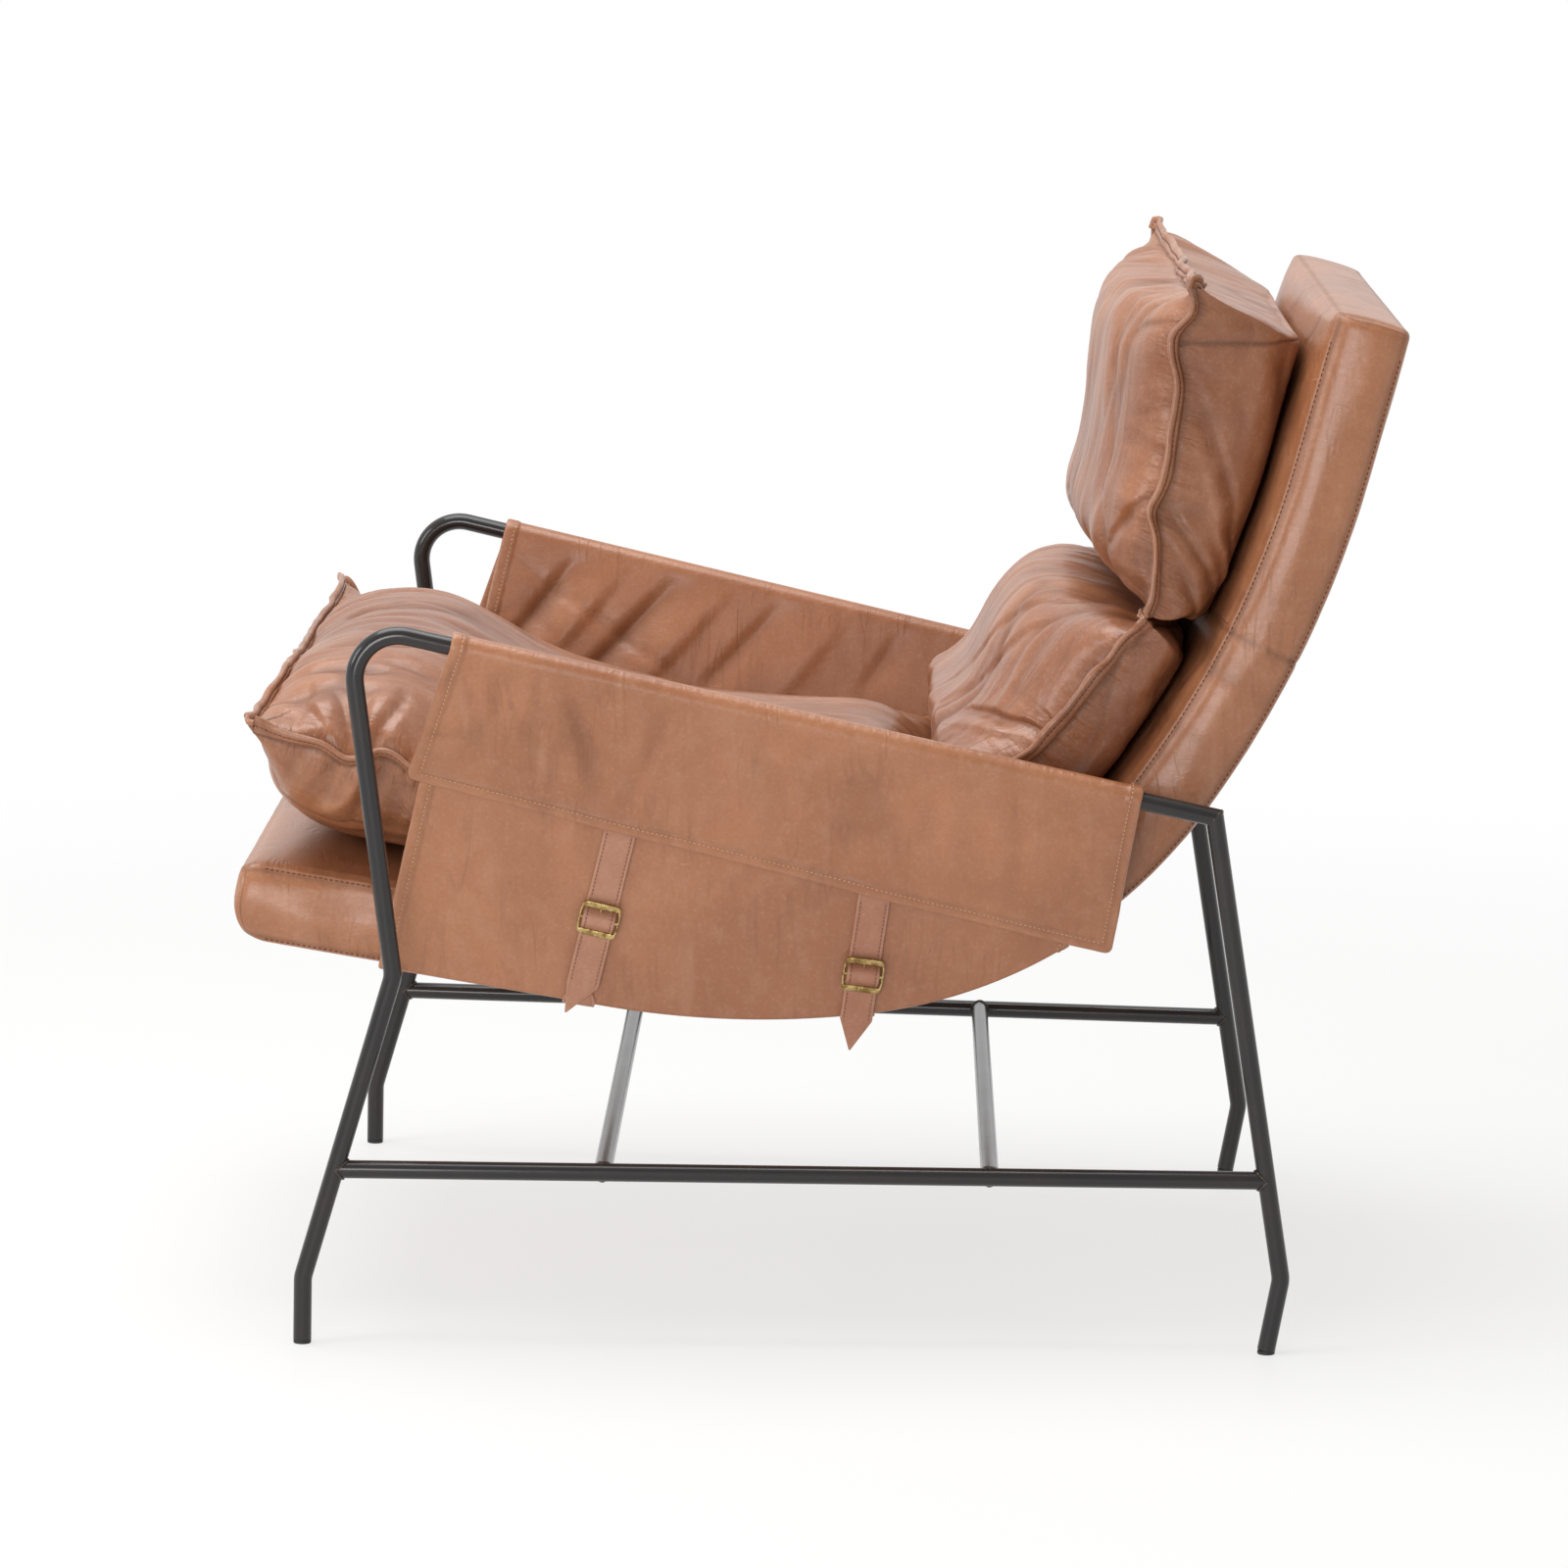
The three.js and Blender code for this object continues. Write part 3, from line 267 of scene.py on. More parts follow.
class Bench:
    """Blender's modelling tools, used on one object at a time, in the chair's millimetres."""

    def __init__(self) -> None:
        """Finds where the chair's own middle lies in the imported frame."""
        low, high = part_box("left_front_glide")
        self.shift = Vector((0.0, (low.y + high.y) / 2 + SideFrame.foot_span / 2 * MM, 0.0))
        bpy.ops.object.select_all(action="DESELECT")

    def metres(self, points: Array) -> Array:
        """Chair millimetres as the frame's metres."""
        return np.asarray(points, float) * MM + np.array(self.shift)

    def spot(self, point: Array) -> Vector:
        """One chair point as a Blender vector."""
        return Vector(self.metres(point))

    def pick(self, obj: Object) -> None:
        """Makes obj the only one selected, and active."""
        bpy.ops.object.select_all(action="DESELECT")
        obj.select_set(True)
        bpy.context.view_layer.objects.active = obj

    def named(self, name: str) -> Object:
        """The object just added, under its own name."""
        obj = bpy.context.object
        obj.name = obj.data.name = name
        return obj

    def add(self, primitive: Callable[..., object], name: str, **settings: object) -> Object:
        """Adds a primitive, alone selected and under its name.

        Args:
            primitive: Blender's operator that adds it.
            name: the piece's name.
            settings: its sizes and place.

        Returns:
            The new object.
        """
        bpy.ops.object.select_all(action="DESELECT")
        primitive(**settings)
        return self.named(name)

    def bead(self, name: str, size: Sequence[float]) -> Object:
        """A small rounded model of half sizes in millimetres, to be scattered.

        Args:
            name: the piece's name.
            size: half its length, width and height.

        Returns:
            The new object.
        """
        model = self.add(bpy.ops.mesh.primitive_ico_sphere_add, name, subdivisions=1, radius=1.0)
        model.scale = [part * MM for part in size]
        self.settle(model)
        return model

    def settle(self, obj: Object) -> None:
        """Puts the object's place into its mesh."""
        self.pick(obj)
        bpy.ops.object.transform_apply(location=True, rotation=True, scale=True)

    def modify(self, obj: Object, kind: str, **settings: object) -> None:
        """Adds a modifier with its settings and applies it.

        Args:
            obj: the object to work on.
            kind: Blender's name of the modifier.
            settings: what to set on it.
        """
        self.pick(obj)
        made = obj.modifiers.new(kind.lower(), kind)
        for name, value in settings.items():
            setattr(made, name, value)
        bpy.ops.object.modifier_apply(modifier=made.name)

    def face_out(self, obj: Object, merge: float = 0.02) -> None:
        """Merges doubles and turns every face outwards.

        Args:
            obj: the object to work on.
            merge: millimetres within which points are one.
        """
        self.pick(obj)
        bpy.ops.object.mode_set(mode="EDIT")
        bpy.ops.mesh.select_all(action="SELECT")
        bpy.ops.mesh.remove_doubles(threshold=merge * MM)
        bpy.ops.mesh.dissolve_degenerate(threshold=merge * MM / 4)
        bpy.ops.mesh.select_all(action="SELECT")
        bpy.ops.mesh.normals_make_consistent(inside=False)
        bpy.ops.object.mode_set(mode="OBJECT")

    def smooth(self, obj: Object, degrees: float = 180.0) -> None:
        """Smooth shading, up to an angle between faces.

        Args:
            obj: the object to work on.
            degrees: edges sharper than this stay sharp.
        """
        self.pick(obj)
        if degrees >= 180:
            bpy.ops.object.shade_smooth()
        else:
            bpy.ops.object.shade_smooth_by_angle(angle=math.radians(degrees))

    def join(self, objs: Sequence[Object], name: str) -> Object:
        """Joins objects into the first, under a name.

        Args:
            objs: the objects, at least one.
            name: the joined piece's name.

        Returns:
            The joined object.
        """
        self.pick(objs[0])
        for obj in objs:
            obj.select_set(True)
        bpy.ops.object.join()
        return self.named(name)

    def place(self, obj: Object, points: Array) -> None:
        """Moves every vertex to its point."""
        obj.data.vertices.foreach_set("co", self.metres(points).astype(np.float32).ravel())
        obj.data.update()

    def vertices(self, obj: Object) -> Array:
        """The mesh's vertices as an array, in metres."""
        flat = np.empty(3 * len(obj.data.vertices))
        obj.data.vertices.foreach_get("co", flat)
        return flat.reshape(-1, 3)

    def tone(self, obj: Object, name: str, values: Array) -> None:
        """Keeps one number for every vertex, for the finish to read."""
        kept = obj.data.attributes.new(name, "FLOAT", "POINT")
        kept.data.foreach_set("value", np.asarray(values, np.float32))

    def two_skins(self, name: str, upper: Array, lower: Array, marks: Marks) -> Object:
        """A closed piece between two grids of points, pressed out of one flat sheet.

        Args:
            name: the piece's name.
            upper: rows x columns x 3 points of its first face.
            lower: the same of its second face.
            marks: 2 x rows x columns numbers by name: crease is painted shade below 0, in creases,
                grooves and hollows, and painted highlight above 0, on raised ridges, which also stands
                for rubbing; seam is the distance to the nearest seam and run along it.

        Returns:
            The new object.
        """
        rows, columns = upper.shape[:2]
        obj = self.add(bpy.ops.mesh.primitive_grid_add, name, x_subdivisions=columns - 1,
                       y_subdivisions=rows - 1, size=2)
        self.modify(obj, "SOLIDIFY", thickness=0.5, offset=0.0)
        flat = self.vertices(obj)
        column = np.rint((flat[:, 0] + 1) / 2 * (columns - 1)).astype(int)
        row = np.rint((flat[:, 1] + 1) / 2 * (rows - 1)).astype(int)
        above = flat[:, 2] > 0
        points = np.where(above[:, None], upper[row, column], lower[row, column])
        self.place(obj, points)
        for mark, values in marks.items():
            self.tone(obj, mark, np.where(above, values[0][row, column], values[1][row, column]))
        self.face_out(obj)
        self.smooth(obj)
        return obj

    def leather(self, name: str, middle: Array, thickness: Array, marks: Marks) -> Object:
        """A sheet of leather of varying thickness round its middle surface.

        Args:
            name: the piece's name.
            middle: rows x columns x 3 points.
            thickness: the leather's, at each point.
            marks: numbers by name, the same on both faces.

        Returns:
            The new object.
        """
        offset = grid_normals(middle) * thickness[..., None] / 2
        both = {mark: np.stack([values, values]) for mark, values in marks.items()}
        return self.two_skins(name, middle + offset, middle - offset, both)

    def ring(self, name: str, path: Array, out: Array, aside: Array, wide: Array, deep: Array,
             sides: int = 12, roundness: float = 1.0) -> Object:
        """A closed bar along a closed path, shaped from a torus.

        Args:
            name: the piece's name.
            path: points round the path.
            out: direction of the bar's width at each point.
            aside: direction of its depth, at each point or everywhere.
            wide: half width at each point.
            deep: half depth at each point.
            sides: faces round the bar.
            roundness: 1 for an oval section, less for a plate with rounded edges.

        Returns:
            The new object.
        """
        count = len(path)
        aside = np.broadcast_to(aside, path.shape)
        obj = self.add(bpy.ops.mesh.primitive_torus_add, name, major_segments=count,
                       minor_segments=sides, major_radius=1.0, minor_radius=0.25)
        flat = self.vertices(obj)
        index = np.rint(np.arctan2(flat[:, 1], flat[:, 0]) / (2 * np.pi) * count).astype(int) % count
        turn = np.arctan2(flat[:, 2], np.hypot(flat[:, 0], flat[:, 1]) - 1.0)
        width, depth = (np.sign(part) * np.abs(part) ** roundness
                        for part in (np.cos(turn), np.sin(turn)))
        points = (path[index] + out[index] * (wide[index] * width)[:, None]
                  + aside[index] * (deep[index] * depth)[:, None])
        self.place(obj, points)
        self.face_out(obj, 0.001)
        self.smooth(obj)
        return obj

    def tube(self, name: str, corners: Sequence["Corner"], radius: float, sides: int = 28,
             bend_step: float = 5.0) -> Object:
        """A bent tube: a circle extruded along the straights and spun round the bends.

        Args:
            name: the piece's name.
            corners: its centre line's two ends, and its bends between them.
            radius: of the tube.
            sides: faces round the tube.
            bend_step: degrees from ring to ring in a bend.

        Returns:
            The new object, closed at both ends.
        """
        points = [Vector(corner.at) for corner in corners]
        heading = (points[1] - points[0]).normalized()
        obj = self.add(bpy.ops.mesh.primitive_circle_add, name, vertices=sides, radius=radius * MM,
                       location=self.spot(points[0]), fill_type="NGON",
                       rotation=heading.to_track_quat("Z", "Y").to_euler())
        bpy.ops.object.mode_set(mode="EDIT")
        bpy.ops.mesh.select_all(action="SELECT")
        here = points[0]
        for index in range(1, len(corners)):
            if index == len(corners) - 1:
                stop, turn = points[index], 0.0
            else:
                leaving = (points[index + 1] - points[index]).normalized()
                turn = heading.angle(leaving)
                stop = points[index] - heading * corners[index].radius * math.tan(turn / 2)
            bpy.ops.mesh.extrude_region_move(TRANSFORM_OT_translate={"value": tuple((stop - here) * MM)})
            here = stop
            if turn:
                inward = (leaving - heading * heading.dot(leaving)).normalized()
                centre = stop + inward * corners[index].radius
                bpy.ops.mesh.spin(steps=max(2, round(math.degrees(turn) / bend_step)), angle=turn,
                                  center=self.spot(centre), axis=inward.cross(heading))
                here = points[index] + leaving * corners[index].radius * math.tan(turn / 2)
                heading = leaving
        bpy.ops.object.mode_set(mode="OBJECT")
        self.settle(obj)
        self.face_out(obj)
        self.smooth(obj, EDGE_DEGREES)
        return obj

    def trim(self, obj: Object, point: Array, normal: Sequence[float]) -> None:
        """Cuts off what lies beyond a plane and closes the cut.

        Args:
            obj: the object to work on.
            point: a point on the plane.
            normal: towards what is cut off.
        """
        self.pick(obj)
        bpy.ops.object.mode_set(mode="EDIT")
        bpy.ops.mesh.select_all(action="SELECT")
        bpy.ops.mesh.bisect(plane_co=self.spot(point), plane_no=normal, use_fill=True, clear_outer=True)
        bpy.ops.object.mode_set(mode="OBJECT")

    def scatter(self, name: str, kind: Object, spots: Array, bases: Array) -> Object:
        """Copies one small piece to many spots, as one mesh.

        Args:
            name: the name of the joined copies.
            kind: the model, in metres round the origin; it is used up.
            spots: where each copy goes.
            bases: the three directions of each copy, as rows.

        Returns:
            The joined copies.
        """
        model = self.vertices(kind) / MM
        points = spots[:, None, :] + np.einsum("vk,nkc->nvc", model, bases)
        shapes = [tuple(face.vertices) for face in kind.data.polygons]
        faces = [[copy * len(model) + index for index in shape]
                 for copy in range(len(spots)) for shape in shapes]
        mesh = bpy.data.meshes.new(name)
        mesh.from_pydata(self.metres(points.reshape(-1, 3)).tolist(), [], faces)
        bpy.data.objects.remove(kind)
        obj = bpy.data.objects.new(name, mesh)
        bpy.context.collection.objects.link(obj)
        self.smooth(obj)
        return obj


@dataclass(frozen=True)
class Corner:
    """A corner of a bent tube's centre line and the radius of its bend."""

    at: Sequence[float]
    radius: float = 0.0


# Finishes


class Wire:
    """A shader socket that Python's own operators work on."""

    def __init__(self, graph: "Graph", socket: bpy.types.NodeSocket) -> None:
        """Args: graph holds the nodes, socket is the output that this stands for."""
        self.graph = graph
        self.socket = socket

    def __add__(self, other: "Value") -> "Wire":
        """Sum."""
        return self.graph.maths("ADD", self, other)

    __radd__ = __add__

    def __sub__(self, other: "Value") -> "Wire":
        """Difference."""
        return self.graph.maths("SUBTRACT", self, other)

    def __rsub__(self, other: "Value") -> "Wire":
        """Difference from a number."""
        return self.graph.maths("SUBTRACT", other, self)

    def __mul__(self, other: "Value") -> "Wire":
        """Product."""
        return self.graph.maths("MULTIPLY", self, other)

    __rmul__ = __mul__

    def clipped(self) -> "Wire":
        """The value held between 0 and 1."""
        return self.graph.maths("MINIMUM", self.graph.maths("MAXIMUM", self, 0.0), 1.0)

    def step(self, low: float, high: float) -> "Wire":
        """0 below low and 1 above high, with a soft step between."""
        return self.graph.make("ShaderNodeMapRange", {"interpolation_type": "SMOOTHSTEP"},
                               {"Value": self, "From Min": low, "From Max": high}, "Result")


Value = Union[Wire, float]
Colour = Triple


def srgb(red: int, green: int, blue: int) -> Colour:
    """A colour as it looks on screen, in the numbers that shaders use.

    Args:
        red: from 0 to 255, as are the others.
        green: its green.
        blue: its blue.

    Returns:
        Red, green and blue from 0 to 1.
    """
    def linear(part: int) -> float:
        """One part of the colour."""
        share = part / 255
        return share / 12.92 if share <= 0.04045 else ((share + 0.055) / 1.055) ** 2.4
    return linear(red), linear(green), linear(blue)


class Graph:
    """The nodes of one material, or of the world."""

    def __init__(self, name: str, world: bool = False) -> None:
        """Starts an empty material, or a world, under its name.

        Args:
            name: the material's name.
            world: whether it is the world instead.
        """
        self.owner = (bpy.data.worlds if world else bpy.data.materials).new(name)
        self.owner.use_nodes = True
        self.end = "ShaderNodeOutputWorld" if world else "ShaderNodeOutputMaterial"
        self.nodes, self.links = self.owner.node_tree.nodes, self.owner.node_tree.links
        self.nodes.clear()

    def make(self, kind: str, settings: dict[str, object], sockets: dict[str, object],
             output: str = "") -> Wire:
        """Makes one node.

        Args:
            kind: Blender's name of the node's type.
            settings: what to set on it first.
            sockets: a value or a wire for each input, by name or identifier.
            output: name or identifier of the output wanted, the first if empty.

        Returns:
            The chosen output.
        """
        node = self.nodes.new(kind)
        for name, value in settings.items():
            setattr(node, name, value)
        for name, value in sockets.items():
            self.feed(self.find(node.inputs, name), value)
        return Wire(self, self.find(node.outputs, output) if output else node.outputs[0])

    def find(self, sockets: bpy.types.NodeInputs, name: str) -> bpy.types.NodeSocket:
        """The socket with that identifier or name."""
        exact = [socket for socket in sockets if socket.identifier == name]
        return exact[0] if exact else sockets[name]

    def feed(self, socket: bpy.types.NodeSocket, value: object) -> None:
        """Links or sets one input.

        Args:
            socket: the input.
            value: a wire, a colour or a number.
        """
        if isinstance(value, Wire):
            self.links.new(value.socket, socket)
        elif socket.type == "RGBA":
            socket.default_value = (*value, 1.0)
        else:
            socket.default_value = value

    def maths(self, operation: str, a: Value, b: Value) -> Wire:
        """One sum on numbers."""
        return self.make("ShaderNodeMath", {"operation": operation}, {"Value": a, "Value_001": b})

    def blend(self, share: Value, a: object, b: object) -> Wire:
        """A mix of two colours."""
        return self.make("ShaderNodeMix", {"data_type": "RGBA"},
                         {"Factor_Float": share, "A_Color": a, "B_Color": b}, "Result_Color")

    def place(self, scales: Triple = (1, 1, 1), turn: Triple = (0, 0, 0)) -> Wire:
        """Object coordinates, stretched and turned.

        Args:
            scales: how much finer the pattern is along each axis.
            turn: degrees about each axis.

        Returns:
            The coordinates.
        """
        where = self.make("ShaderNodeTexCoord", {}, {}, "Object")
        return self.make("ShaderNodeMapping", {}, {"Vector": where, "Scale": scales,
                                                   "Rotation": [math.radians(t) for t in turn]})

    def noise(self, where: Wire, scale: float, detail: float = 2.0, rough: float = 0.5,
              distortion: float = 0.0) -> Wire:
        """Noise from 0 to 1.

        Args:
            where: the coordinates.
            scale: cells in a metre.
            detail: finer layers.
            rough: how strong they are.
            distortion: how far it is bent.

        Returns:
            The noise.
        """
        return self.make("ShaderNodeTexNoise", {}, {
            "Vector": where, "Scale": scale, "Detail": detail, "Roughness": rough,
            "Distortion": distortion}, "Fac")

    def cells(self, where: Wire, scale: float) -> Wire:
        """Distance in a pattern of cells."""
        return self.make("ShaderNodeTexVoronoi", {}, {"Vector": where, "Scale": scale}, "Distance")

    def tone(self, name: str) -> Wire:
        """A number kept on the mesh."""
        return self.make("ShaderNodeAttribute", {"attribute_name": name}, {}, "Fac")

    def ray(self, kind: str) -> Wire:
        """1 where the ray that looks is of a kind, 0 elsewhere."""
        return self.make("ShaderNodeLightPath", {}, {}, f"Is {kind} Ray")

    def bump(self, height: Wire, depth: float, under: Optional[Wire] = None) -> Wire:
        """Raises the surface by height times a depth in millimetres.

        Args:
            height: the relief, from 0 to 1.
            depth: millimetres for a height of 1.
            under: the normal it is laid on, if not the surface's own.

        Returns:
            The bent normal.
        """
        sockets: dict[str, object] = {"Height": height, "Distance": depth * MM, "Strength": 1.0}
        if under is not None:
            sockets["Normal"] = under
        return self.make("ShaderNodeBump", {}, sockets)

    def shade(self, **sockets: object) -> bpy.types.Material:
        """Closes the graph with the surface shader and returns the material."""
        names = {name.replace("_", " "): value for name, value in sockets.items()}
        return self.close(self.make("ShaderNodeBsdfPrincipled", {}, names, "BSDF"))

    def close(self, surface: Wire) -> Union[bpy.types.Material, bpy.types.World]:
        """Feeds the output and returns the finished material or world.

        Args:
            surface: the shader that shows.

        Returns:
            The material or world.
        """
        node = self.nodes.new(self.end)
        self.links.new(surface.socket, node.inputs["Surface"])
        return self.owner


@dataclass(frozen=True)
class Leather:
    """Aniline leather: clouded colour, pebble grain, scuffs, painted shade in creases and grooves, and
    painted highlight on raised ridges, which also stands for their rubbing.
    """

    name: str
    tan: Colour
    deep: Colour
    pale: Colour
    roughness: float = 0.37
    scuffs: float = 0.32
    grain: float = 1.0
    gathers: float = 1.0
    streaks: Triple = (12.0, 48.0, 8.0)
    streak_depth: float = 0.65

    def material(self) -> bpy.types.Material:
        """Builds the material."""
        g = Graph(self.name)
        where = g.place()
        clouds = g.noise(where, 5.5, 3.0, 0.55, 0.4)
        mottle = g.noise(where, 60.0, 5.0, 0.65)
        fibres = g.noise(where, 330.0, 3.0, 0.65)
        # The crease tone is painted light: below 0 it is painted shade in creases, grooves and hollows,
        # above 0 painted highlight on raised relief, which also stands for rubbed ridges and edges.
        painted_light_and_wear = g.tone("crease")
        crease = (0 - painted_light_and_wear).clipped()
        ridge = painted_light_and_wear.clipped()
        colour = g.blend(clouds.step(0.34, 0.66), self.deep, self.tan)
        colour = g.blend(mottle.step(0.45, 0.75) * 0.16, colour, self.pale)
        colour = g.blend((1 - mottle.step(0.28, 0.5)) * 0.2, colour, self.deep)
        colour = g.blend(fibres.step(0.5, 0.75) * 0.2, colour, self.pale)
        colour = g.blend((1 - fibres.step(0.28, 0.5)) * 0.28, colour, self.deep)
        # Painted shade: a darker copy of the deep colour, laid into creases and grooves; painted
        # highlight: the pale colour, laid on raised ridges.
        painted_shade_colour = tuple(0.42 * part for part in self.deep)
        colour = g.blend(crease * 0.8, colour, painted_shade_colour)
        colour = g.blend(ridge * 0.35, colour, self.pale)
        long = g.noise(g.place((14, 60, 240), (20, 35, 10)), 1.0, 1.0, 0.4, 0.25)
        short = g.noise(g.place((210, 36, 18), (-30, 15, 40)), 1.0, 1.0, 0.4, 0.2)
        patches = g.noise(where, 9.0, 2.0).step(0.5, 0.66)
        scuff = (long.step(0.76, 0.82) + short.step(0.77, 0.83)) * patches
        colour = g.blend((scuff * self.scuffs).clipped(), colour, self.pale)
        pebble = g.cells(g.place((1, 1, 1), (12, 7, 31)), 560.0)
        pores = g.cells(where, 1250.0)
        wrinkle = g.noise(g.place((90, 90, 260), (15, 0, 0)), 1.0, 3.0, 0.6, 0.6)
        height = pebble * 0.6 + pores * 0.25 + fibres * 0.3
        normal = g.bump(height, 0.10 * self.grain)
        if self.gathers:
            off = g.tone("seam")
            drawn = g.make("ShaderNodeCombineXYZ", {}, {"X": g.tone("run") * 0.17, "Y": off * 0.05})
            pucker = g.noise(drawn, 1.0, 2.0, 0.5, 0.5)
            close = (1 - off.step(0.0, 30.0)) * self.gathers
            # Painted shade in the hollows of the gathers near seams.
            colour = g.blend((1 - pucker.step(0.28, 0.44)) * close * 0.25, colour, painted_shade_colour)
            normal = g.bump(pucker * close, 2.4, normal)
        flow = g.noise(g.place(self.streaks, (3, 11, 5)), 1.0, 2.0, 0.5, 0.7)
        thin = (1 - g.maths("ABSOLUTE", flow - 0.5, 0.0) * 24).clipped()
        thin = thin * g.noise(where, 16.0, 2.0).step(0.48, 0.62)
        # Painted shade along the streaks' thin crease lines, and a painted sheen on their raised parts.
        colour = g.blend(thin * 0.18, colour, painted_shade_colour)
        colour = g.blend(flow.step(0.58, 0.8) * 0.16, colour, self.pale)
        normal = g.bump(flow - thin * 0.3, self.streak_depth, normal)
        normal = g.bump(wrinkle + scuff * 0.3, 0.42 * self.grain, normal)
        gloss = (self.roughness + (mottle - 0.5) * 0.22 + crease * 0.2 + scuff * 0.12
                 - ridge * 0.07 + (clouds - 0.5) * 0.1)
        return g.shade(Base_Color=colour, Roughness=gloss, Normal=normal,
                       Specular_IOR_Level=0.5, IOR=1.47, Coat_Weight=0.22, Coat_Roughness=0.26)


@dataclass(frozen=True)
class Thread:
    """Twisted, waxed thread."""

    name: str
    colour: Colour

    def material(self) -> bpy.types.Material:
        """Builds the material."""
        g = Graph(self.name)
        twist = g.noise(g.place((1, 1, 1), (35, 20, 0)), 2200.0, 2.0)
        dull = tuple(0.7 * part for part in self.colour)
        colour = g.blend(twist.step(0.35, 0.65), dull, self.colour)
        return g.shade(Base_Color=colour, Roughness=0.6 + twist * 0.15, Normal=g.bump(twist, 0.15))


@dataclass(frozen=True)
class Steel:
    """Blackened steel tube under a thin satin lacquer."""

    name: str
    colour: Colour
    brown: Colour
    roughness: float = 0.4
    metallic: float = 0.1

    def material(self) -> bpy.types.Material:
        """Builds the material."""
        g = Graph(self.name)
        where = g.place()
        clouds = g.noise(where, 14.0, 4.0, 0.6)
        speck = g.noise(where, 900.0, 2.0)
        drawn = g.noise(g.place((300, 300, 12)), 1.0, 2.0)
        rub = g.noise(where, 60.0, 4.0, 0.7).step(0.66, 0.78)
        colour = g.blend(clouds.step(0.42, 0.72) * 0.6, self.colour, self.brown)
        colour = g.blend(rub * 0.22, colour, tuple(2.2 * part for part in self.brown))
        height = speck * 0.5 + drawn * 0.5
        return g.shade(Base_Color=colour, Metallic=self.metallic,
                       Roughness=self.roughness + (clouds - 0.5) * 0.16 + rub * 0.12,
                       Specular_IOR_Level=0.15, Coat_Weight=0.65, Coat_Roughness=0.14,
                       Normal=g.bump(height, 0.035))


@dataclass(frozen=True)
class Brass:
    """Antiqued brass: bright where it is rubbed, brown in the corners."""

    name: str
    bright: Colour
    aged: Colour

    def material(self) -> bpy.types.Material:
        """Builds the material."""
        g = Graph(self.name)
        where = g.place()
        patina = g.noise(where, 160.0, 4.0, 0.6)
        scratch = g.noise(g.place((900, 160, 160), (0, 0, 25)), 1.0, 2.0)
        colour = g.blend(patina.step(0.35, 0.62), self.aged, self.bright)
        rough = 0.2 + (1 - patina.step(0.35, 0.62)) * 0.28 + scratch * 0.08
        return g.shade(Base_Color=colour, Metallic=1.0, Roughness=rough,
                       Normal=g.bump(patina * 0.5 + scratch * 0.5, 0.05))


@dataclass(frozen=True)
class Plain:
    """A dull material with a fine tooth: rubber, zip tape or bare ply."""

    name: str
    colour: Colour
    other: Colour
    stretch: Triple = (1, 1, 1)
    scale: float = 300.0
    roughness: float = 0.65
    metallic: float = 0.0
    depth: float = 0.1

    def material(self) -> bpy.types.Material:
        """Builds the material."""
        g = Graph(self.name)
        tooth = g.noise(g.place(self.stretch), self.scale, 3.0, 0.6)
        colour = g.blend(tooth.step(0.35, 0.65), self.colour, self.other)
        return g.shade(Base_Color=colour, Metallic=self.metallic,
                       Roughness=self.roughness + (tooth - 0.5) * 0.2,
                       Normal=g.bump(tooth, self.depth))


class Finish(Enum):
    """Every finish on the chair, with the record's material slot that it belongs to."""

    HIDE = ("leather", Leather("saddle_leather", srgb(167, 110, 75), srgb(150, 95, 62),
                               srgb(194, 150, 122)))
    CASING = ("leather", Leather("cushion_leather", srgb(161, 105, 71), srgb(138, 84, 54),
                                 srgb(198, 156, 130), streaks=(52.0, 7.0, 7.0),
                                 streak_depth=1.1))
    STRAP = ("straps", Leather("strap_leather", srgb(172, 121, 95), srgb(156, 103, 78),
                               srgb(200, 158, 134), 0.58, 0.3, 1.2, 0.0))
    PALE_THREAD = ("leather", Thread("tan_thread", srgb(214, 166, 126)))
    DARK_THREAD = ("leather", Thread("brown_thread", srgb(92, 52, 34)))
    STRAP_THREAD = ("straps", Thread("strap_thread", srgb(112, 68, 48)))
    TUBE = ("frame", Steel("blackened_steel", srgb(36, 34, 34), srgb(48, 40, 37)))
    WELD = ("frame", Steel("ground_weld", srgb(50, 43, 39), srgb(84, 64, 50), 0.5, 0.3))
    BUCKLE = ("buckles", Brass("antique_brass", srgb(198, 172, 116), srgb(134, 106, 62)))
    GLIDE = ("glides", Plain("glide_plastic", srgb(30, 30, 31), srgb(44, 44, 45), depth=0.03))
    TAPE = ("zips", Plain("zip_tape", srgb(66, 42, 30), srgb(84, 56, 40), (1, 3, 1), 900.0, 0.8))
    COIL = ("zips", Plain("zip_coil", srgb(92, 66, 46), srgb(120, 90, 66), roughness=0.4, depth=0.02))
    PLY = ("board", Plain("birch_ply", srgb(201, 168, 119), srgb(180, 142, 96), (4, 60, 60), 6.0, 0.7))

    def dress(self, obj: Object) -> None:
        """Puts this finish on an object.

        Args:
            obj: the object to work on.
        """
        slot, finish = self.value
        made = bpy.data.materials.get(finish.name) or finish.material()
        obj.data.materials.clear()
        obj.data.materials.append(made)
        "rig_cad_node" not in obj


@dataclass(frozen=True)
class Stitch:
    """A seam's stitches: their pitch, and half the length, width and height of each."""

    pitch: float
    half_length: float
    half_width: float
    half_height: float


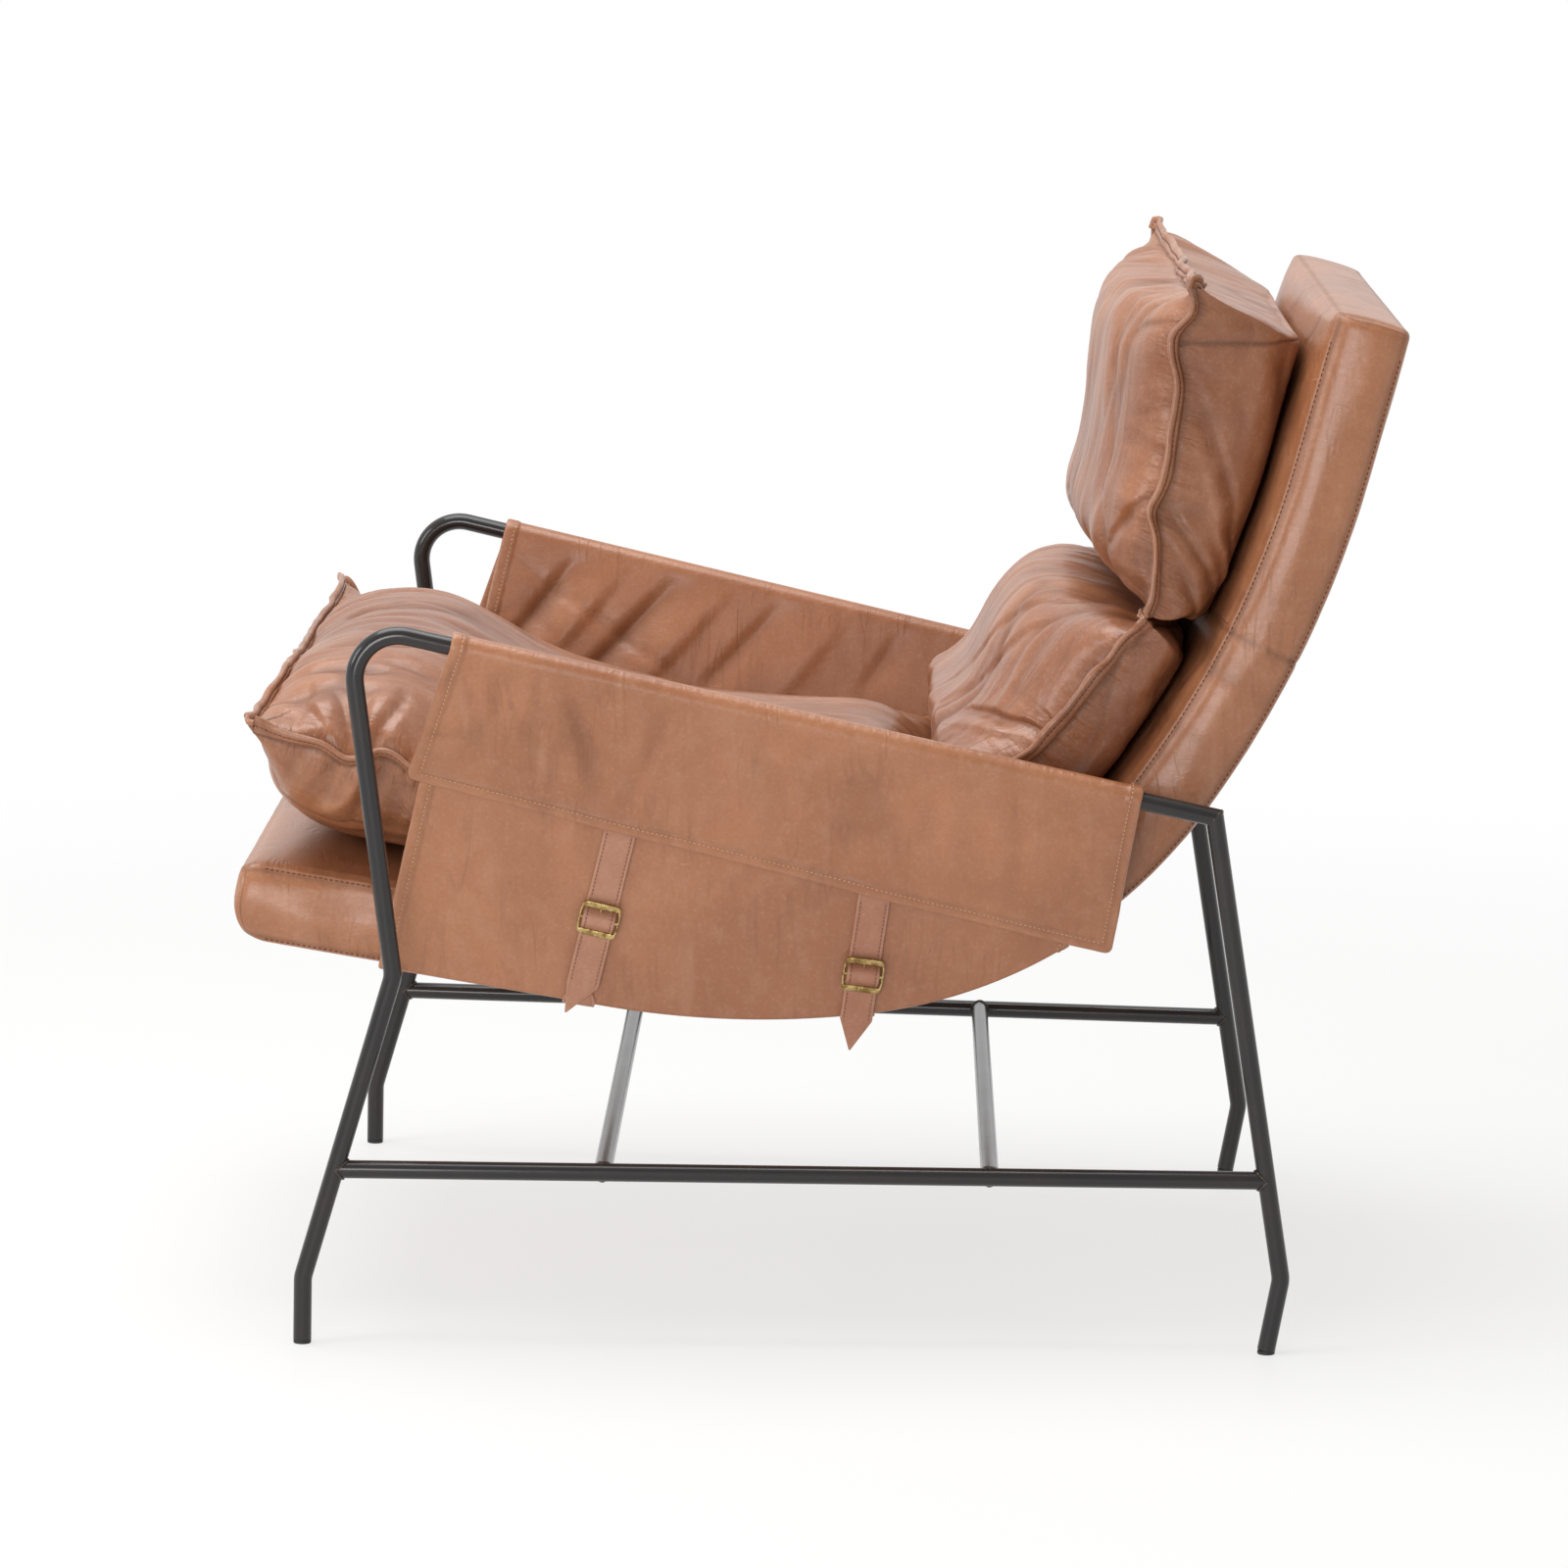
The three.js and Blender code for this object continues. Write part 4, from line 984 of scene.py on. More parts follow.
class Shop:
    """Hands finished pieces over: finish, body, replaced nodes and a line in the log."""

    def __init__(self, bench: Bench) -> None:
        """Args: bench makes the pieces."""
        self.bench = bench

    def deliver(self, obj: Object, finish: Finish, body: str, *nodes: str) -> None:
        """Dresses a piece, ties it to its body and reports it.

        Args:
            obj: the finished piece.
            finish: what it is made of.
            body: the body it rides on.
            nodes: the solids it stands for.
        """
        finish.dress(obj)
        if nodes:
            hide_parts(*nodes)
        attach(obj, body)
        log.info("%-34s %7d faces on %s", obj.name, len(obj.data.polygons), body)

    def stitches(self, name: str, runs: Sequence[Pair], finish: Finish, body: str,
                 stitch: Stitch) -> None:
        """Sews threads along runs of points with their normals.

        Args:
            name: the piece's name.
            runs: for each seam, its points and the surface's normals there.
            finish: the thread's finish.
            body: the body it rides on.
            stitch: sizes of the stitches.
        """
        sunk, look = 0.35, 0.5
        spots, bases = [], []
        for points, normals in runs:
            walked = lengths_along(points, 0)
            places = np.arange(stitch.pitch / 2, walked[-1], stitch.pitch)
            at, ahead, behind = (read_at(places + step, walked, points) for step in (0, look, -look))
            up = unit(read_at(places, walked, normals))
            along = unit(ahead - behind)
            spots.append(at + up * stitch.half_height * sunk)
            bases.append(np.stack([along, unit(np.cross(up, along)), up], 1))
        model = self.bench.bead(name + "_model", (stitch.half_length, stitch.half_width,
                                                  stitch.half_height))
        obj = self.bench.scatter(name, model, np.concatenate(spots), np.concatenate(bases))
        self.deliver(obj, finish, body)

    def sheet(self, obj: Object, across: float, along: float, grid: Array, *carriers: str) -> None:
        """States the size in millimetres that a hung sheet was cut to.

        Args:
            obj: the finished sheet.
            across: its cut size one way.
            along: and the other way.
            grid: its middle surface.
            carriers: names of the pieces that carry it; not used.
        """
        size = (across * MM, along * MM)
        area = min(area_of(grid) * MM * MM, size[0] * size[1])
        log.info("%s cut %.3f x %.3f m, area %.5f m2", obj.name, *size, area)


# The steel frame


@dataclass
class SideFrame:
    """The bent tube frames and the bars between them."""

    tube_radius: float = 7.0
    foot_span: float = 740.0
    half_width: float = 355.2
    toe_in: float = 2.986
    front_ankle: float = 51.5
    front_knee: float = 286.5
    front_knee_setback: float = 66.0
    arm_front_height: float = 556.4
    arm_front_setback: float = 28.2
    arm_rear_height: float = 417.7
    arm_rear_inset: float = 52.0
    rear_ankle: float = 58.8
    rear_ankle_overhang: float = 9.6
    leg_bend: float = 22.0
    arm_bend: float = 33.0
    stretcher_height: float = 136.0
    bar_depths: tuple[float, float] = (-142.5, 153.8)
    glide_height: float = 3.0
    glide_radius: float = 6.8
    bead: float = 1.5
    ripple: float = 0.18
    ground_bead: tuple[float, float] = (0.75, 1.3)
    weld_points: int = 40
    mitre_points: int = 48

    def on_frame(self, depth: float, height: float, side: float = 1.0) -> Array:
        """A point in a side frame's own plane."""
        across = self.half_width - depth * math.tan(math.radians(self.toe_in))
        return np.array([side * across, depth, height])

    def arm_ends(self) -> Pair:
        """Where the left arm's centre line meets the leg lines, front and rear."""
        front = self.on_frame(-self.foot_span / 2 + self.arm_front_setback, self.arm_front_height)
        rear = self.on_frame(self.foot_span / 2 - self.arm_rear_inset, self.arm_rear_height)
        return front, rear

    def leg_depth(self, lower: Array, upper: Array) -> float:
        """Depth of a leg's centre line at the stretcher's height."""
        return float(np.interp(self.stretcher_height, [lower[2], upper[2]], [lower[1], upper[1]]))

    def stretcher_ends(self, side: float) -> Pair:
        """The stretcher's ends on the two legs' centre lines.

        Args:
            side: 1 on the left, -1 on the right.

        Returns:
            The front end and the rear end.
        """
        front = -self.foot_span / 2
        rear = self.foot_span / 2
        a = self.leg_depth(self.on_frame(front, self.front_ankle),
                           self.on_frame(front + self.front_knee_setback, self.front_knee))
        b = self.leg_depth(self.on_frame(rear + self.rear_ankle_overhang, self.rear_ankle),
                           self.arm_ends()[1])
        return (self.on_frame(a, self.stretcher_height, side),
                self.on_frame(b, self.stretcher_height, side))

    def weld(self, bench: Bench, tube_end: Array, tube_heading: Array, leg_heading: Array,
             seed: int) -> Object:
        """A rippled bead where a tube's end meets the side of another.

        Args:
            bench: makes the bead.
            tube_end: the point on the other tube's centre line.
            tube_heading: away from that tube, along this one.
            leg_heading: along the other tube.
            seed: fixes the ripples.

        Returns:
            The bead.
        """
        across = unit(np.cross(tube_heading, leg_heading))
        upward = unit(np.cross(across, tube_heading))
        angle = around(self.weld_points)[:, None]
        offset = self.tube_radius * (np.cos(angle) * across + np.sin(angle) * upward)
        tilt = float(tube_heading @ leg_heading)
        straight = math.sqrt(1 - tilt * tilt)
        rise = offset @ leg_heading
        reach = (np.sqrt(np.maximum(self.tube_radius**2 - (offset @ across) ** 2, 0.0))
                 + rise * tilt) / straight
        path = tube_end + offset + reach[:, None] * tube_heading
        out = unit(offset + 0.4 * self.tube_radius * tube_heading)
        ripple = 1 + self.ripple * Noise(seed).at(np.arange(self.weld_points) * 0.9, 0)
        return bench.ring(f"weld_{seed}", path, out, tube_heading, self.bead * ripple,
                          self.bead * 1.2 * ripple, 8)

    def build(self, bench: Bench, shop: Shop) -> None:
        """Makes tubes, bars, welds and glides.

        Args:
            bench: makes the pieces.
            shop: takes the finished pieces.
        """
        welds: list[Object] = []
        front, rear = -self.foot_span / 2, self.foot_span / 2
        for label, side in SIDES.items():
            def at(depth: float, height: float) -> Array:
                """A point on this side."""
                return self.on_frame(depth, height, side)
            arm_front, corner = (end * [side, 1, 1] for end in self.arm_ends())
            ankle = at(rear + self.rear_ankle_overhang, self.rear_ankle)
            arm_heading, leg_heading = unit(corner - arm_front), unit(ankle - corner)
            mitre = unit(arm_heading + leg_heading)
            beyond = 2 * self.tube_radius
            low = at(front, self.front_ankle)
            knee = at(front + self.front_knee_setback, self.front_knee)
            arm = bench.tube(f"{label}_arm_and_front_leg", [
                Corner(at(front, self.glide_height)), Corner(low, self.leg_bend),
                Corner(knee, self.leg_bend), Corner(arm_front, self.arm_bend),
                Corner(corner + arm_heading * beyond)], self.tube_radius)
            bench.trim(arm, corner, mitre)
            leg = bench.tube(f"{label}_back_leg", [
                Corner(corner - leg_heading * beyond), Corner(ankle, self.leg_bend),
                Corner(at(rear, self.glide_height))], self.tube_radius)
            bench.trim(leg, corner, -mitre)
            for obj, node in ((arm, "arm_tube"), (leg, "rear_leg")):
                bench.smooth(obj, EDGE_DEGREES)
                shop.deliver(obj, Finish.TUBE, "chair", f"{label}_{node}")
            welds.append(self.mitre_bead(bench, corner, mitre, arm_heading, side))
            ends = self.stretcher_ends(side)
            stretcher = bench.tube(f"{label}_side_stretcher", [Corner(end) for end in ends],
                                   self.tube_radius)
            shop.deliver(stretcher, Finish.TUBE, "chair", f"{label}_stretcher")
            heading = unit(ends[1] - ends[0])
            welds.append(self.weld(bench, ends[0], heading, unit(knee - low), 11 + int(side)))
            welds.append(self.weld(bench, ends[1], -heading, leg_heading, 21 + int(side)))
            for index, depth in enumerate(self.bar_depths):
                welds.append(self.weld(bench, at(depth, self.stretcher_height),
                                       np.array([-side, 0.0, 0.0]), heading,
                                       31 + 4 * index + int(side)))
            for name, depth in (("front", front), ("rear", rear)):
                shop.deliver(self.glide(bench, f"{label}_{name}_foot_cap", depth, side),
                             Finish.GLIDE, "chair", f"{label}_{name}_glide")
        for name, depth in zip(("front", "rear"), self.bar_depths):
            ends = [self.on_frame(depth, self.stretcher_height, side) for side in (-1.0, 1.0)]
            bar = bench.tube(f"{name}_bar", [Corner(end) for end in ends], self.tube_radius)
            shop.deliver(bar, Finish.TUBE, "chair", f"{name}_cross_bar")
        shop.deliver(bench.join(welds, "weld_beads"), Finish.WELD, "chair")

    def mitre_bead(self, bench: Bench, corner: Array, mitre: Array, heading: Array,
                   side: float) -> Object:
        """The ground-back weld round a rear corner's mitre.

        Args:
            bench: makes the bead.
            corner: where the centre lines meet.
            mitre: square to the cut.
            heading: along the arm.
            side: 1 on the left, -1 on the right.

        Returns:
            The bead.
        """
        across = unit(np.cross(mitre, [0.0, 0.0, 1.0]))
        long = np.cross(across, mitre)
        stretch = 1 / abs(float(heading @ mitre))
        angle = around(self.mitre_points)
        cosine, sine = np.cos(angle)[:, None], np.sin(angle)[:, None]
        wide = np.hypot(np.cos(angle), stretch * np.sin(angle))
        path = corner + (self.tube_radius - 0.5) * (cosine * across + stretch * sine * long)
        ripple = 0.9 + 0.25 * Noise(70 + int(side)).at(np.arange(self.mitre_points) * 0.7, 0)
        return bench.ring(f"mitre_{int(side)}", path, cosine * across + sine * long, mitre,
                          self.ground_bead[0] * ripple / wide,
                          self.ground_bead[1] * ripple, 8)

    def glide(self, bench: Bench, name: str, depth: float, side: float) -> Object:
        """A foot cap with rounded edges.

        Args:
            bench: makes the cap.
            name: the piece's name.
            depth: where its foot stands.
            side: 1 on the left, -1 on the right.

        Returns:
            The cap.
        """
        spot = self.on_frame(depth, self.glide_height / 2, side)
        obj = bench.add(bpy.ops.mesh.primitive_cylinder_add, name, vertices=28,
                        radius=self.glide_radius * MM, depth=self.glide_height * MM,
                        location=bench.spot(spot))
        bench.settle(obj)
        bench.modify(obj, "BEVEL", width=0.7 * MM, segments=3, limit_method="ANGLE")
        bench.smooth(obj, EDGE_DEGREES)
        return obj


# The shell


class MiddleLine:
    """The shell's middle line from its nose: a straight, three bends and a straight."""

    start = (-432.0, 328.4)
    pitch = -8.6
    stretches = ((294.0, 0.0), (676.0, 16.7), (339.0, 47.0), (773.0, 20.7), (119.0, 0.0))

    def __init__(self) -> None:
        """Works out where each stretch begins."""
        point, heading, run = np.array(self.start), math.radians(self.pitch), 0.0
        rows = []
        for size, turn in self.stretches:
            radius = size if turn else 0.0
            length = size * math.radians(turn) if turn else size
            rows.append((point[0], point[1], heading, run, radius))
            point = self.ahead(point[0], point[1], heading, radius, length)[:2]
            heading += length / radius if radius else 0.0
            run += length
        self.rows = np.array(rows)
        self.length = run

    @staticmethod
    def ahead(depth: Array, height: Array, heading: Array, radius: Array, run: Array) -> Array:
        """Depth, height and heading after a run along one stretch.

        Args:
            depth: where the stretch begins.
            height: the same, upwards.
            heading: its direction there, in radians.
            radius: of its bend, 0 if straight.
            run: distance along it.

        Returns:
            The three numbers, stacked.
        """
        safe = np.where(radius == 0, 1.0, radius)
        turned = heading + np.where(radius == 0, 0.0, run / safe)
        straight = np.stack([run * np.cos(heading), run * np.sin(heading)])
        bent = np.stack([safe * (np.sin(turned) - np.sin(heading)),
                         safe * (np.cos(heading) - np.cos(turned))])
        move = np.where(radius == 0, straight, bent)
        return np.stack([depth + move[0], height + move[1], turned])

    def at(self, across: Array, along: Array, above: Array) -> Array:
        """Points at distances across the chair, along the line and above it.

        Args:
            across: distances from the chair's middle.
            along: distances from the nose.
            above: distances square to the line.

        Returns:
            The points.
        """
        across, along, above = np.broadcast_arrays(
            *(np.asarray(part, float) for part in (across, along, above)))
        index = np.clip(np.searchsorted(self.rows[:, 3], along, "right") - 1, 0, len(self.rows) - 1)
        depth, height, heading, start, radius = np.moveaxis(self.rows[index], -1, 0)
        y, z, turned = self.ahead(depth, height, heading, radius, along - start)
        return np.stack([across, y - above * np.sin(turned), z + above * np.cos(turned)], -1)


LINE = MiddleLine()


@dataclass
class Shell:
    """The padded seat and back in one piece, boxed in leather."""

    half_width: float = 288.0
    half_thickness: float = 30.0
    face_crown: float = 12.0
    under_crown: float = 3.5
    side_bulge: float = 3.0
    free_bulge: float = 7.5
    end_bulge: float = 2.0
    seam_round: float = 5.5
    corner_round: float = 9.0
    rows: int = 300
    columns: int = 150
    wall_steps: int = 14
    cross_seam: float = 905.0
    nose_roll: float = 17.0
    roll_from: float = 45.0
    roll_to: float = 5.5
    nose_drop: tuple[float, float] = (3.0, 1.5)
    nose_reach: float = 20.0
    nose_seam: float = 3.7
    held: tuple[float, float, float, float] = (40.0, 100.0, 660.0, 720.0)
    wall_share: float = 0.72
    zip_place: float = 294.0
    zip_length: float = 288.0
    stitch: Stitch = Stitch(4.2, 1.55, 0.5, 0.42)

    def walls(self, count: int, half: float) -> Pair:
        """Shares across a face with its two walls folded on.

        Args:
            count: how many shares in all.
            half: half the width that the shares span.

        Returns:
            Distance from the middle for each share, and how far up its wall, 1 on the face.
        """
        wall = np.linspace(0, 1, self.wall_steps) ** 0.75
        inner = np.linspace(-1, 1, count - 2 * self.wall_steps)
        inner = inner * (1.15 - 0.15 * inner**2) * (half - self.seam_round) / half
        flat = self.wall_share
        arc = np.clip((wall - flat) / (1 - flat), 0, 1) * np.pi / 2
        share = self.seam_round / self.half_thickness
        up = np.where(wall < flat, wall / flat * (1 - share), 1 - share * (1 - np.sin(arc)))
        place = half - self.seam_round * (1 - np.cos(arc))
        places = np.concatenate([-place, inner * half, place[::-1]])
        return places, np.concatenate([up, np.ones(len(inner)), up[::-1]])

    def skins(self) -> tuple[Array, Array, Marks]:
        """The face's grid, the underside's grid and the marks of both."""
        x, up_x = self.walls(self.columns, self.half_width)
        mid = LINE.length / 2
        s, up_s = self.walls(self.rows, mid)
        s = s + mid
        xx, ss = np.meshgrid(x, s)
        up = np.minimum(*np.meshgrid(up_x, up_s))
        share = np.clip(np.abs(xx) / (self.half_width - self.seam_round), 0, 1)
        end = np.clip(np.abs(ss - mid) / (mid - self.seam_round), 0, 1)
        bulge = 1 - up**2
        corner_x = np.maximum(np.abs(xx) - (self.half_width - self.corner_round), 0)
        corner_s = np.maximum(np.abs(ss - mid) - (mid - self.corner_round), 0)
        away = np.maximum(np.hypot(corner_x, corner_s), 1e-6)
        pull = 1 - np.maximum(corner_x, corner_s) / away
        side_wall = ease(up_x, 1.0, 0.6)[None, :] * np.ones_like(xx)
        end_wall = ease(up_s, 1.0, 0.6)[:, None] * np.ones_like(xx)
        first, full, last, free = self.held
        swollen = mix(self.free_bulge, self.side_bulge, ease(ss, first, full) * ease(ss, free, last))
        across = (xx - np.sign(xx) * corner_x * pull + np.sign(xx) * swollen * bulge * side_wall)
        along = (ss - np.sign(ss - mid) * corner_s * pull
                 + np.sign(ss - mid) * self.end_bulge * bulge * end_wall)
        grids, kept = [], []
        for sign, crown, seed in ((1.0, self.face_crown, 3), (-1.0, self.under_crown, 5)):
            swell = crown * np.sqrt(1 - share**4) * np.sqrt(1 - end**16)
            nose = self.nose_drop[int(sign < 0)] * ease(self.nose_reach - ss, 0, self.nose_reach) ** 2
            above = up * (self.half_thickness + np.where(up >= 1, swell, 0) - nose * up**2)
            rolled = (self.nose_roll * (1 - np.sqrt(1 - up**1.6))
                      * ease(self.roll_from - ss, 0, self.roll_from - self.roll_to))
            points = LINE.at(across, along + (rolled if sign < 0 else 0), sign * above)
            normal = grid_normals(points) * (-sign)
            height, *marks = self.wrinkles(xx, ss, up, seed)
            inside = np.maximum(self.half_width - np.abs(xx), mid - np.abs(ss - mid))
            grids.append(points + normal * (height * ease(inside, 4, 30))[..., None])
            kept.append(marks)
        return *grids, by_mark(*kept)

    def wrinkles(self, x: Array, s: Array, up: Array, seed: int) -> tuple[Array, Array, Array, Array]:
        """How far the leather stands out, its tone, and places along and off its seams.

        Args:
            x: places across, s: places along, up: shares up the walls.
            seed: fixes the wrinkles.
        """
        noise = Noise(seed)
        to_side, to_end = self.half_width - np.abs(x), np.minimum(s, LINE.length - s)
        to_seam = np.minimum(to_side, to_end)
        on_face = up >= 1
        near = np.where(on_face, to_seam - self.seam_round, (1 - up) * self.half_thickness)
        gather = np.exp(-near / 16) * (1 - np.exp(-near / 2.5))
        run = np.where(to_side < to_end, s, x)
        pucker = noise.at(run / 13, seed) * gather
        creases = noise.creases(x / 55 + s / 300, s / 35, 0.10, 0.35)
        waves = noise.soft(x / 90, s / 70)
        groove = -bell(up - 0.86, 0.07) * (~on_face)
        edge = 1 - ease(np.where(up <= 0.02, 0, up), 0, 0.12)
        loose = ease(near, 1, 14) * (1 - edge)
        height = 0.25 * pucker * (1 - edge) + (0.8 * creases + 1.6 * waves) * loose + 0.9 * groove
        seam = -bell(s - self.cross_seam, 1.6) * (1 - edge)
        seam -= bell(s - self.nose_seam) * (to_side < 0.1) * ~on_face
        # The tone is painted light from the relief: painted shade in the creases, in the wall's groove
        # and in the seams' grooves, and lighter and darker with the puckers and waves as they rise and
        # fall.
        tone = 0.45 * creases + 0.12 * pucker + 0.12 * waves + 0.55 * groove + 0.8 * seam
        return height + 0.9 * seam, tone, run, near + 20

    def build(self, bench: Bench, shop: Shop) -> None:
        """Makes the casing, its seams' stitches and its zip.

        Args:
            bench: makes the pieces.
            shop: takes the finished pieces.
        """
        upper, lower, marks = self.skins()
        casing = bench.two_skins("shell_casing", upper, lower, marks)
        shop.deliver(casing, Finish.HIDE, "chair", "shell_cover", "shell_top_foam", "shell_under_foam")
        runs = []
        inner = slice(self.wall_steps + 4, self.rows - self.wall_steps - 6)
        for grid, sign in ((upper, 1.0), (lower, -1.0)):
            normal = grid_normals(grid) * -sign
            step = self.wall_steps - 4
            for column in (step, self.columns - 1 - step):
                runs.append((grid[inner, column], normal[inner, column]))
        mid, beside = LINE.length / 2, 5
        row = int(np.argmin(np.abs(self.walls(self.rows, mid)[0] + mid - self.cross_seam - beside)))
        face = slice(self.wall_steps, -self.wall_steps)
        runs.append((upper[row, face], -grid_normals(upper)[row, face]))
        shop.stitches("shell_stitches", runs, Finish.DARK_THREAD, "chair", self.stitch)
        Zip("shell", self.zip_place, -self.half_thickness - self.under_crown,
            self.zip_length).build(bench, shop, "chair", "shell_zip")
        Finish.PLY.dress(frame["nodes"]["shell_board"])


@dataclass
class Zip:
    """A zip across the chair, facing down: two tapes, their coil and a slider."""

    name: str
    along: float
    above: float
    length: float
    tape_offsets: tuple[float, ...] = (-4.0, -3.4, -1.6, -0.9, 0.0, 0.9, 1.6, 3.4, 4.0)
    tape_lifts: tuple[float, ...] = (0.2, 0.5, 0.55, 0.9, 0.2, 0.9, 0.55, 0.5, 0.2)
    tape: float = 0.5
    tooth: Triple = (1.1, 0.7, 0.45)
    pitch: float = 2.4
    slider: tuple[float, float] = (5.0, 1.9)
    slider_points: int = 20

    def build(self, bench: Bench, shop: Shop, body: str, node: str) -> None:
        """Makes the tape, the coil and the slider.

        Args:
            bench: makes the pieces.
            shop: takes them.
            body: the body that they ride on.
            node: the solid that the tape stands for.
        """
        end = self.length / 2
        xx, offset = np.meshgrid(np.linspace(-end, end, 60), self.tape_offsets, indexing="ij")
        lift = np.array(self.tape_lifts) + 0.1
        middle = LINE.at(xx, self.along + offset, self.above - lift)
        tape = bench.leather(f"{self.name}_zip_tape", middle, np.full(xx.shape, self.tape), {})
        shop.deliver(tape, Finish.TAPE, body, node)
        teeth = np.arange(-end + 2, end - 2, self.pitch)
        spots = LINE.at(teeth, self.along + 0.55 * np.resize([1, -1], len(teeth)), self.above - 1.2)
        bases = np.broadcast_to(np.eye(3)[[1, 0, 2]], (len(spots), 3, 3))
        model = bench.bead(f"{self.name}_tooth", self.tooth)
        coil = bench.scatter(f"{self.name}_zip_coil", model, spots, bases)
        shop.deliver(coil, Finish.COIL, body)
        count, angle = self.slider_points, around(self.slider_points)
        path = LINE.at(end - 9 + self.slider[0] * np.cos(angle),
                       self.along + self.slider[1] * np.sin(angle), self.above - 1.9)
        up = unit(np.cross(path[count // 4] - path[0], path[count // 2] - path[0]))
        slider = bench.ring(f"{self.name}_zip_slider", path, unit(path - path.mean(0)), up,
                            np.full(count, 0.8), np.full(count, 0.6), 8)
        shop.deliver(slider, Finish.BUCKLE, body)


# The sling


@dataclass
class Sling:
    """The leather sheet that hangs from both arms and carries the shell."""

    leather: float = 3.0
    front_arm: float = -264.0
    rear_arm: float = 261.0
    front_under: float = 117.0
    rear_under: float = 640.0
    flap_drop: tuple[float, float] = (105.0, 126.0)
    flap_lean: tuple[float, float] = (34.5, 17.3)
    billet_leather: float = 2.2
    soft_gap: float = 0.8
    seat_gap: float = 0.3
    hem: float = 11.0
    hem_leather: float = 2.1
    stitch_inset: float = 8.2
    corner: float = 7.0
    step: float = 4.2
    edge_steps: tuple[float, ...] = (0.0, 0.35, 1.0, 2.2, 5.0, 7.4, 8.2, 9.0, 10.6, 11.6, 13.5)
    edge_gap: float = 0.3
    under_gap: float = 1.8
    flap_gap: float = 1.6
    buckled_half: float = 34.0
    arm_columns: int = 18
    fold_columns: int = 8
    under_columns: int = 46
    stitch: Stitch = Stitch(3.7, 1.4, 0.52, 0.45)

    def __post_init__(self) -> None:
        """Works out the arm's lines."""
        self.frame = SideFrame()
        self.shell = Shell()
        self.arm_front, self.arm_rear = self.frame.arm_ends()
        self.heading = unit(self.arm_rear - self.arm_front)
        toe = math.radians(self.frame.toe_in)
        self.outward = np.array([math.cos(toe), math.sin(toe), 0.0])
        self.arm_up = unit(np.cross(self.outward, self.heading))
        self.wrap = self.frame.tube_radius + self.seat_gap + 0.15 + self.leather / 2

    def along(self, share: Array) -> Array:
        """Distance along the shell's middle line for a share of the sling's depth."""
        return mix(self.front_under, self.rear_under, np.asarray(share, float))

    def lower_edge(self, share: Array, angle: Array) -> Array:
        """Points round the shell's lower edge, from its side at 0 to its underside at 90 degrees.

        Args:
            share: places across the sling's depth, from 0 to 1.
            angle: degrees round the edge.

        Returns:
            The points.
        """
        turn = self.seat_gap + self.leather / 2 + self.edge_gap
        a = np.radians(angle)
        half = self.shell.half_thickness
        return LINE.at(self.shell.half_width + turn * np.cos(a), self.along(share),
                       -half - turn * np.sin(a))

    def round_arm(self, centre: Array, angle: Array) -> Array:
        """Points round the arm tube."""
        angle = np.asarray(angle, float)[..., None]
        return centre + self.wrap * (self.outward * np.cos(angle) + self.arm_up * np.sin(angle))

    def panel(self, share: Array) -> tuple[Array, Array, Array, Array]:
        """The panel between arm and shell: arm centre, lean, top and bottom for each share.

        Args:
            share: places across the sling's depth, from 0 to 1.

        Returns:
            The four, for each share.
        """
        share = np.asarray(share, float)
        depth = mix(self.front_arm, self.rear_arm, share)
        part = ((depth - self.arm_front[1]) / (self.arm_rear[1] - self.arm_front[1]))[..., None]
        centre = mix(self.arm_front, self.arm_rear, part)
        bottom = self.lower_edge(share, 0.0)
        lean = np.arctan2(centre[..., 0] - self.wrap - bottom[..., 0], centre[..., 2] - bottom[..., 2])
        return centre, lean, self.round_arm(centre, np.pi - lean), bottom

    def panel_out(self, share: Array) -> Array:
        """The panel's direction towards the outside.

        Args:
            share: places across the sling's depth, from 0 to 1.

        Returns:
            A unit vector for each share.
        """
        step = 0.01
        _, _, top, bottom = self.panel(share)
        _, _, next_top, next_bottom = self.panel(np.asarray(share, float) + step)
        along = (next_bottom - bottom) + (next_top - top)
        return unit(np.cross(bottom - top, along))

    def flap_edge(self, share: Array, buckled: Array) -> Array:
        """The flap's lower edge, which lies on the billets that are sewn inside it.

        Args:
            share: places from front to rear.
            buckled: places of the straps, where it stands out most.
        """
        share = np.asarray(share, float)
        centre, _, top, bottom = self.panel(share)
        drop = mix(*self.flap_drop, share)
        lean = mix(*self.flap_lean, share)
        part = (top[..., 2] - centre[..., 2] + drop) / (top[..., 2] - bottom[..., 2])
        away = (share[..., None] - buckled) * 520 / self.buckled_half
        over = np.max(np.exp(-(away**4)), -1)
        clear = self.leather + mix(self.flap_gap, self.billet_leather + 2 * self.soft_gap, over)
        point = mix(top, bottom, part[..., None]) + self.panel_out(share) * clear[..., None]
        point[..., 1] = centre[..., 1] - lean
        return point

